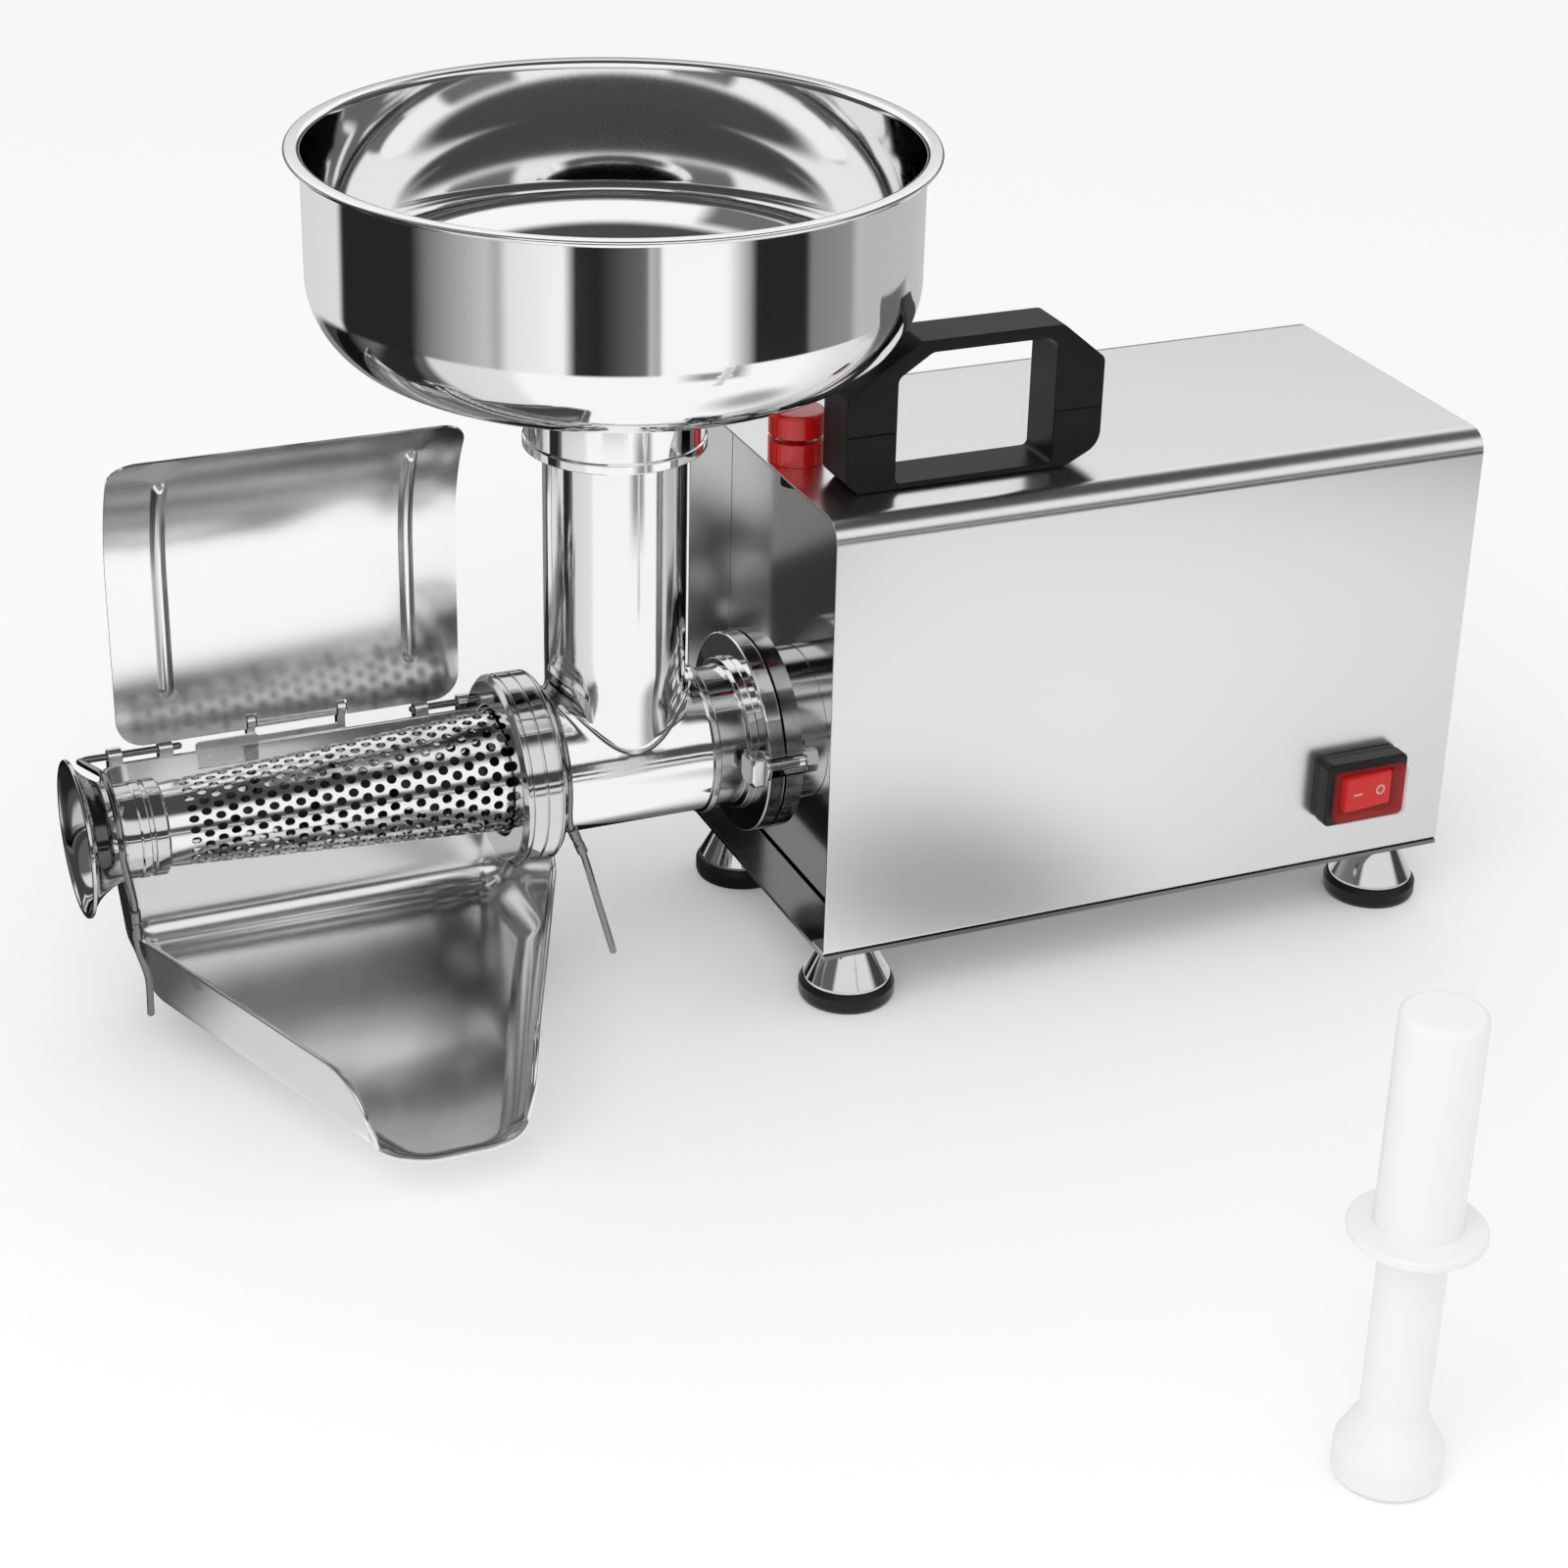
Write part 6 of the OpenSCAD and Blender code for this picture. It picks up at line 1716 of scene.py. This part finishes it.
@dataclass
class SplashCover:
    """Sheet cover with a curled top, rounded corners and two pressed ribs, on its hinge."""

    middle: float = -0.1925
    width: float = 0.149
    face_y: float = 0.051
    low: float = 0.0858
    curl_z: float = 0.16
    high: float = 0.219
    curl_r: float = 0.09
    corner_r: float = 0.012
    sheet: float = 0.001
    rib_off: float = 0.0525
    rib_half: float = 0.0032
    rib_h: float = 0.0026
    rib_low: float = 0.024
    rib_run: float = 0.0958
    hinge_x: float = -0.19
    hinge_y: float = 0.054
    hinge_z: float = 0.088
    knuckle_l: float = 0.035
    ear: float = 0.0045
    ear_h: float = 0.0069
    edge_step: float = 0.004
    knuckle_bore: float = 0.00156
    knuckle_r: float = 0.003

    def place(self, x: float, s: float, out: float) -> Vector:
        """Point of the face at x, at s along the section, raised by out."""
        straight = self.curl_z - self.low
        if s <= straight:
            return at(self.middle + x, self.face_y - out, self.low + s)
        a, r = (s - straight) / self.curl_r, self.curl_r - out
        return at(self.middle + x, self.face_y - self.curl_r + r * math.cos(a), self.curl_z + r * math.sin(a))

    def rib(self, x: float, s: float) -> float:
        """Height of the pressed ribs."""
        along = min(max(s, self.rib_low), self.rib_low + self.rib_run)
        off = math.hypot(abs(x) - self.rib_off, s - along) / self.rib_half
        return self.rib_h * (0.5 + 0.5 * math.cos(math.pi * off)) ** 0.6 if off < 1 else 0.0

    def build(self) -> None:
        """Makes the sheet and the knuckle, and refines the bracket and the rod."""
        run = self.curl_z - self.low + self.curl_r * math.asin((self.high - self.curl_z) / self.curl_r)
        half = self.width / 2
        shift = self.hinge_x - self.middle
        side = self.knuckle_l / 2
        notches: list[Sequence[float]] = []
        for a, b in ((shift - side - self.ear, shift - side), (shift + side, shift + side + self.ear)):
            notches += [(a, 0), (a, self.ear_h), (b, self.ear_h), (b, 0)]
        for i in (3, 4):
            notches[i] = (notches[i][0], self.hinge_z + 0.0013 - self.low)
        corners = [(-half, 0, self.corner_r), *notches, (half, 0, self.corner_r), (half, run, self.corner_r),
                   (-half, run, self.corner_r)]
        outline = resampled(rounded(corners, steps=10), self.edge_step)
        coarse = [(-half + 0.006 * i, 0.0035 * k) for i in range(1, 25) for k in range(1, 40)]
        coarse = [p for p in coarse if abs(abs(p[0]) - self.rib_off) > 2 * self.rib_half]
        fine_step = self.rib_half / 5
        fine = [(sign * (self.rib_off + fine_step * i), self.rib_low - 0.005 + 0.0013 * k)
                for sign in (-1, 1) for i in range(-8, 9) for k in range(82)]
        flat, triangles = filled(outline, [], coarse + fine)
        points = [self.place(x, s, self.rib(x, s)) for x, s in flat]
        sheet = mesh_object("cover_sheet", points, triangles, WELD / 10)
        if sum(p.normal.y for p in sheet.data.polygons) > 0:
            sheet.data.flip_normals()
        modified(sheet, "SOLIDIFY", thickness=self.sheet, offset=-1.0, use_even_offset=True)
        dressed(shaded(sheet, 35), "cover", Slot.COVER, "splash_cover")
        tube = lathe("cover_knuckle", rounded([
            (self.knuckle_bore, self.hinge_x - side), (self.knuckle_r, self.hinge_x - side, 0.0003),
            (self.knuckle_r, self.hinge_x + side, 0.0003), (self.knuckle_bore, self.hinge_x + side)]),
            at(0, self.hinge_y, self.hinge_z), "X", 40)
        dressed(shaded(tube, 40), "cover", Slot.COVER)
        dressed(shaded(refined("hinge_bracket", "hinge_plate", 0.0002)), "housing", Slot.TRAY,
                "hinge_bracket")
        dressed(shaded(refined("hinge_rod", "hinge_pin", 0.0003)), "housing", Slot.WIRE, "hinge_rod")


@dataclass
class WireClips:
    """Two sprung wires that hook over the barrel and the bell, each with a crimped sleeve."""

    rod_y: float = 0.0556
    rod_z: float = 0.081
    bend: float = 0.0032
    wire_r: float = 0.0015
    sleeve_r: float = 0.0026
    sleeve_l: float = 0.013
    flat: float = 0.0016
    flat_edge: float = 0.0004
    left: float = -0.283
    left_r: float = 0.0248
    left_rod: float = 0.043
    left_legs: tuple[Pair, ...] = ((0.003, 0.0542), (0.003, 0.0348), (0.0065, 0.019), (0.0065, 0.002))
    left_sleeve: Pair = (0.003, 0.038)
    right: float = -0.0974
    right_r: float = 0.033
    right_rod: float = 0.041
    right_legs: tuple[Pair, ...] = ((0.0, 0.0604), (0.0056, 0.0463), (0.0124, 0.0212), (0.0193, -0.0045))
    right_sleeve: Pair = (0.0056, 0.0463)
    right_tilt: float = 21.7

    def wrap(self, x: float, r: float) -> list[Vector]:
        """The stretch from the rod round the barrel at radius r, in the plane of x."""
        rise = self.rod_z - AXIS_Z
        away = math.hypot(self.rod_y, rise)
        start = math.degrees(math.atan2(rise, self.rod_y) + math.acos(r / away))
        lift = self.bend / math.tan(math.radians(start))
        made = [at(x, self.rod_y - self.bend, self.rod_z + lift)]
        return made + [at(x, y, z) for y, z in arc(0, AXIS_Z, r, start, 180, 20)]

    def rod(self, x: float, far: float, sign: int) -> list[Vector]:
        """The straight rod from far to the bend at x."""
        count = 6
        end = x + sign * self.bend
        straight = [at(far + (end - far) * k / count, self.rod_y, self.rod_z) for k in range(count + 1)]
        return straight + [at(x + sign * self.bend / 3, self.rod_y - self.bend / 3, self.rod_z)]

    def build(self) -> None:
        """Makes both wires and their sleeves."""
        for side, x, r, run, legs, sleeve, tilt in (
                ("left", self.left, self.left_r, self.left_rod, self.left_legs, self.left_sleeve, 0.0),
                ("right", self.right, self.right_r, -self.right_rod, self.right_legs, self.right_sleeve,
                 self.right_tilt)):
            path = self.rod(x, x + run, 1 if run > 0 else -1) + self.wrap(x, r)
            path += [at(x + off, -r, z) for off, z in legs]
            self.clip(side, path, at(x + sleeve[0], -r, sleeve[1]), tilt)

    def clip(self, side: str, path: Sequence[Vector], sleeve_at: Vector, tilt: float = 0.0) -> None:
        """Makes one clip.

        Args:
            side: "left" or "right".
            path: the wire's centre line.
            sleeve_at: foot of the crimped sleeve.
            tilt: the sleeve's lean towards -X, in degrees.
        """
        wire = swept(f"{side}_wire", flowing(path), self.wire_r)
        dressed(shaded(wire, 60), f"{side}_clip", Slot.WIRE, f"clip_{side}")
        sleeve = lathe(f"{side}_sleeve", rounded([
            (self.wire_r + 0.00005, 0), (self.sleeve_r, 0, 0.0005),
            (self.sleeve_r, self.sleeve_l * 0.36, 0.0006),
            (self.sleeve_r - 0.0005, self.sleeve_l * 0.42, 0.0005),
            (self.sleeve_r - 0.0005, self.sleeve_l * 0.56, 0.0005),
            (self.sleeve_r, self.sleeve_l * 0.62, 0.0006), (self.sleeve_r, self.sleeve_l, 0.0005),
            (self.wire_r + 0.00005, self.sleeve_l)]), sleeve_at, "Z", 36)
        for vertex in sleeve.data.vertices:
            off = vertex.co.x - sleeve_at.x
            past = abs(off) - self.flat - self.flat_edge
            if abs(off) > self.flat + self.flat_edge:
                vertex.co.x = sleeve_at.x + math.copysign(self.flat + self.flat_edge + past * 0.35, off)
        sleeve.data.transform(Matrix.Translation(sleeve_at) @ Matrix.Rotation(math.radians(-tilt), 4, "Y")
                              @ Matrix.Translation(-sleeve_at))
        dressed(shaded(sleeve, 40), f"{side}_clip", Slot.WIRE)


@dataclass
class Pusher:
    """Moulded food pusher with a hand guard."""

    height: float = 0.187
    foot_r: float = 0.0195
    foot_h: float = 0.027
    shaft_r: float = 0.012
    guard_r: float = 0.024
    guard_z: float = 0.102
    guard_t: float = 0.004
    grip_r: float = 0.015

    def build(self) -> None:
        """Turns the pusher."""
        low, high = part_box("food_pusher")
        foot = Vector(((low.x + high.x) / 2, (low.y + high.y) / 2, low.z))
        under, over = self.guard_z - self.guard_t / 2, self.guard_z + self.guard_t / 2
        outline = rounded([
            (0, 0), (self.foot_r - 0.002, 0, 0.0018), (self.foot_r, 0.002, 0.0018),
            (self.foot_r, 0.013, 0.006),
            (self.shaft_r, self.foot_h, 0.006), (self.shaft_r, under, 0.001), (self.guard_r, under, 0.0012),
            (self.guard_r, over, 0.0012), (self.grip_r, over, 0.0012), (self.grip_r, self.height, 0.0028),
            (0, self.height)], steps=8)
        dressed(shaded(lathe("pusher", outline, foot, "Z", 128), 40), "pusher", Slot.WHITE, "food_pusher")


class Inside:
    """What stays as the frame has it, with a finish for each piece."""

    slots: dict[str, Slot] = {
        "base_screws": Slot.BOLT, "rear_screws": Slot.BOLT, "foot_bolts": Slot.BOLT,
        "handle_screws": Slot.BOLT,
        "reset_switch": Slot.PLASTIC, "cable_gland": Slot.PLASTIC, "gland_nut": Slot.PLASTIC,
        "motor_stator": Slot.CORE, "motor_windings": Slot.COPPER, "motor_front_bell": Slot.ALUMINIUM,
        "motor_rear_bell": Slot.ALUMINIUM, "motor_rotor": Slot.CORE, "motor_shaft": Slot.GEAR,
        "motor_bearings": Slot.BOLT, "motor_fan": Slot.PLASTIC, "motor_pinion": Slot.GEAR,
        "motor_saddle": Slot.BRACKET, "capacitor": Slot.CAN, "capacitor_strap": Slot.BRACKET,
        "terminal_block": Slot.IVORY, "gearbox_cover": Slot.ALUMINIUM, "middle_gears": Slot.GEAR,
        "middle_shaft": Slot.GEAR, "middle_bearings": Slot.BOLT, "output_gear": Slot.GEAR,
        "output_shaft": Slot.GEAR, "output_bearings": Slot.BOLT, "shaft_seal": Slot.RUBBER,
        "flange_gasket": Slot.RUBBER, "press_screw": Slot.CAST,
    }

    def dress(self) -> None:
        """Gives each kept node its material."""
        for node, slot in self.slots.items():
            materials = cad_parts[node].data.materials
            materials.clear()
            # The screw takes near-black steel instead of its slot: painted shade for the barrel's dark
            # inside.
            materials.append(Paints.inner_shade() if node == "press_screw" else Paints.of(slot))
            log.info("%s keeps its mesh, finished as %s", node, slot.value)


# The studio

@dataclass
class Floor:
    """Pale floor with painted reflections: light and dark tones round the pan's axis stand in for a studio's
    screens.

    The tones show in reflections only.
    """

    half: float = 8.0
    tone: float = 0.95
    lift: float = 0.12
    # Painted reflection tones by azimuth, light and dark, that the metal parts mirror.
    near: tuple[Pair, ...] = (
        (0, 0.76), (24, 0.93), (48, 0.95), (60, 0.06), (136, 0.03), (146, 0.5), (156, 0.8),
        (178, 0.7), (212, 0.8), (217, 1.0), (318, 1.0), (338, 0.8), (352, 0.74))
    far: tuple[Pair, ...] = (
        (0, 0.5), (42, 0.55), (100, 0.7), (134, 0.75), (138, 0.02), (175, 0.02), (182, 0.2),
        (205, 0.55), (209, 0.4), (213, 0.8), (232, 0.95), (236, 0.03), (244, 0.02), (254, 0.1),
        (260, 0.14), (262, 0.6), (264, 0.25), (266, 1.0), (288, 1.0), (297, 0.3), (299, 0.02),
        (319, 0.02), (322, 0.22), (340, 0.28), (344, 0.5))
    ring: Pair = (0.68, 0.8)
    late_ring: Pair = (0.88, 0.96)
    late: tuple[Pair, ...] = ((0, 0), (286, 0), (294, 1), (345, 1), (355, 0))
    # Painted shade far off, kept light to the sides.
    dusk: Pair = (1.28, 1.45)
    side_light: tuple[Pair, ...] = ((0, 1), (20, 1), (40, 0), (298, 0), (306, 1))
    arc_reach: Corner = (0.5, 0.6, 0.3)
    arc_span: tuple[Pair, ...] = ((0, 0), (270, 0), (280, 1), (292, 1), (298, 0))
    # Painted shadow in a strip under the press, seen in reflections.
    strip: tuple[float, ...] = (-0.03, 0.02, 0.3, 0.2)
    # A painted shade spot on the floor, seen in reflections: its place, then its radii and strength.
    shade_spot_at: Pair = (0.09, -0.02)
    cloud_and_shade_spot: Corner = (0.12, 0.02, 0.6)
    # Painted reflection for the front panel: a lighter zone and a dark diagonal band.
    panel_line: Corner = (0.45, 0.482, 0.494)
    panel_band: Corner = (2.26, 0.082, 0.072)
    panel_lift: float = 0.2
    panel_far: Pair = (0.2, 0.24)
    panel_dark: float = 0.8
    strip_x: Pair = (0.04, 0.0)
    strip_dark: float = 0.85
    dusk_dark: float = 0.95

    def by_azimuth(self, shader: Shader, turn: Value, stops: Sequence[Pair]) -> Value:
        """Tone by azimuth, from stops in degrees."""
        ramp = shader.node("ShaderNodeValToRGB", {"stops": [(a / 360, (v, v, v, 1.0)) for a, v in stops]},
                           {"Fac": turn})
        return shader.value(ramp.outputs[0])

    def build(self) -> None:
        """Makes the floor."""
        h = self.half
        floor = mesh_object("floor", [(-h, -h, 0), (h, -h, 0), (h, h, 0), (-h, h, 0)], [(0, 1, 2, 3)])
        shader = Shader("pale_floor")
        low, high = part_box("feed_pan")
        x, y, _ = shader.axes()
        dx, dy = x - (low.x + high.x) / 2, y - (low.y + high.y) / 2
        away = (dx * dx + dy * dy).math("SQRT")
        turn = (dy.math("ARCTAN2", dx) / math.tau + 1.0).math("FRACT")
        # The glossy tones built below are painted reflections and painted shade.
        near = self.by_azimuth(shader, turn, self.near)
        # Painted reflection on the front panel: a lighter zone, then a dark diagonal band.
        near = near + (y + x * self.panel_line[0]).step(*self.panel_line[1:]) * self.panel_lift
        band = (y + x * self.panel_band[0]).step(*self.panel_band[1:]) * y.step(*self.panel_far)
        near = near * (1 - band * self.panel_dark)
        # Painted shadow under the press and a painted shade spot.
        under = dy.step(*self.strip[:2]) * dy.step(*self.strip[2:]) * x.step(*self.strip_x)
        arc_dark = self.by_azimuth(shader, turn, self.arc_span) * away.step(*self.arc_reach[:2])
        bx, by = x - self.shade_spot_at[0], y - self.shade_spot_at[1]
        shade_spot = (bx * bx + by * by).math("SQRT").step(*self.cloud_and_shade_spot[:2]) * self.cloud_and_shade_spot[2]
        near = near * (1 - under * self.strip_dark) * (1 - arc_dark * (1 - self.arc_reach[2])) * (1 - shade_spot)
        far = self.by_azimuth(shader, turn, self.far)
        late = self.by_azimuth(shader, turn, self.late)
        early_step = away.step(*self.ring)
        tone = near + (far - near) * (early_step + (away.step(*self.late_ring) - early_step) * late)
        lit = self.by_azimuth(shader, turn, self.side_light)
        # Painted shade far off, except to the sides.
        tone = tone * (1 - away.step(*self.dusk) * (1 - lit) * self.dusk_dark)
        path = shader.node("ShaderNodeLightPath")
        camera, glossy = (shader.value(path.outputs[n]) for n in ("Is Camera Ray", "Is Glossy Ray"))
        # Glossy rays see the painted tones as the floor's glow; the camera sees a pale lit floor.
        shader.feed("Base Color", shader.mixed(glossy, (self.tone,) * 3, (0.0, 0.0, 0.0)))
        shader.feed("Emission Color", glossy * tone + camera * self.lift)
        shader.feed("Emission Strength", 1.0)
        shader.feed("Roughness", 1.0)
        shader.feed("Specular IOR Level", 0.0)
        shader.material.cycles.emission_sampling = "NONE"
        floor.data.materials.append(shader.material)


@dataclass
class Studio:
    """Pale floor, soft light and the camera."""

    ambient: float = 0.82
    key_watts: float = 8.0
    key_size: float = 1.4
    key_at: Corner = (-0.9, -1.0, 1.5)
    key_aim: Corner = (0.0, 0.1, 0.1)
    camera_at: Corner = (-0.524513, -1.031863, 0.733968)
    azimuth: float = -23.75
    elevation: float = 26.835
    roll: float = 1.462
    lens: float = 76.144
    sensor: float = 36.0

    def world(self) -> None:
        """Makes the soft surroundings: even light, white to the camera, with dark edges in reflections."""
        world = bpy.data.worlds.new("studio")
        bpy.context.scene.world = world
        world.use_nodes = True
        world.cycles.sampling_method = "NONE"
        graph = Graph(world.node_tree)
        heading = graph.node("ShaderNodeTexCoord").outputs["Generated"]
        x, y, z = (graph.value(o) for o in graph.node("ShaderNodeSeparateXYZ", None, {0: heading}).outputs)
        horizon = z.step(0.015, 0.05) * z.step(0.3, 0.22)
        zenith = z.step(0.66, 0.8)
        flat = (x * x + y * y).math("SQRT") + 0.001
        left = (x / flat).step(-0.8, -0.9) * z.step(0.75, 0.55)
        right = (x / flat).step(0.86, 0.94) * z.step(0.75, 0.55)
        dark = horizon.math("MAXIMUM", zenith).math("MAXIMUM", left * 0.9).math("MAXIMUM", right * 0.9)
        glossy_tone = 1.0 - dark * 0.93
        path = graph.node("ShaderNodeLightPath")
        camera, glossy, clear = (graph.value(path.outputs[n]) for n in (
            "Is Camera Ray", "Is Glossy Ray", "Is Transmission Ray"))
        shown = camera.math("MAXIMUM", clear)
        lit = glossy * glossy_tone + (1 - glossy) * self.ambient
        strength = shown + (1 - shown) * lit
        sky = graph.node("ShaderNodeBackground", None, {"Color": (1, 1, 1, 1), "Strength": strength})
        graph.node("ShaderNodeOutputWorld", None, {"Surface": sky.outputs[0]})

    def lamps(self) -> None:
        """Adds one large soft lamp over the near left side."""
        data = bpy.data.lights.new("softbox", "AREA")
        data.shape = "SQUARE"
        data.size = self.key_size
        data.energy = self.key_watts
        lamp = linked("softbox", data)
        lamp.location = self.key_at
        aim = Vector(self.key_aim) - Vector(lamp.location)
        lamp.rotation_euler = aim.to_track_quat("-Z", "Y").to_euler()
        lamp.visible_camera = False
        lamp.visible_glossy = False

    def camera(self) -> None:
        """Makes the camera at the photograph's angle."""
        a, e, r = (math.radians(v) for v in (self.azimuth, self.elevation, self.roll))
        back = Vector((math.sin(a) * math.cos(e), -math.cos(a) * math.cos(e), math.sin(e)))
        right = Vector((0, 0, 1)).cross(back).normalized()
        up = back.cross(right)
        side = right * math.cos(r) + up * math.sin(r)
        over = up * math.cos(r) - right * math.sin(r)
        data = bpy.data.cameras.new("view")
        data.lens = self.lens
        data.sensor_width = self.sensor
        data.clip_start = 0.05
        data.clip_end = 50.0
        camera = linked("view", data)
        matrix = Matrix((side, over, back)).transposed().to_4x4()
        matrix.translation = Vector(self.camera_at)
        camera.matrix_world = matrix
        bpy.context.scene.camera = camera

    def build(self) -> None:
        """Sets up everything round the object."""
        self.camera()
        Floor().build()
        self.world()
        self.lamps()
        bpy.context.scene.view_settings.view_transform = "Standard"


def main() -> None:
    """Builds the studio and every sub-assembly."""
    logging.basicConfig(level=logging.INFO, format="%(name)s: %(message)s")
    Studio().build()
    for assembly in (Housing(), Feet(), Handle(), Button(), MainsSwitch(), PressBody(), Flange(), RingNut(),
                     Strainer(), Outlet(), FeedPan(), JuiceTray(), SplashCover(), WireClips(), Pusher()):
        log.info("building %s", type(assembly).__name__)
        assembly.build()
    Inside().dress()


if __name__ == "__main__":
    main()
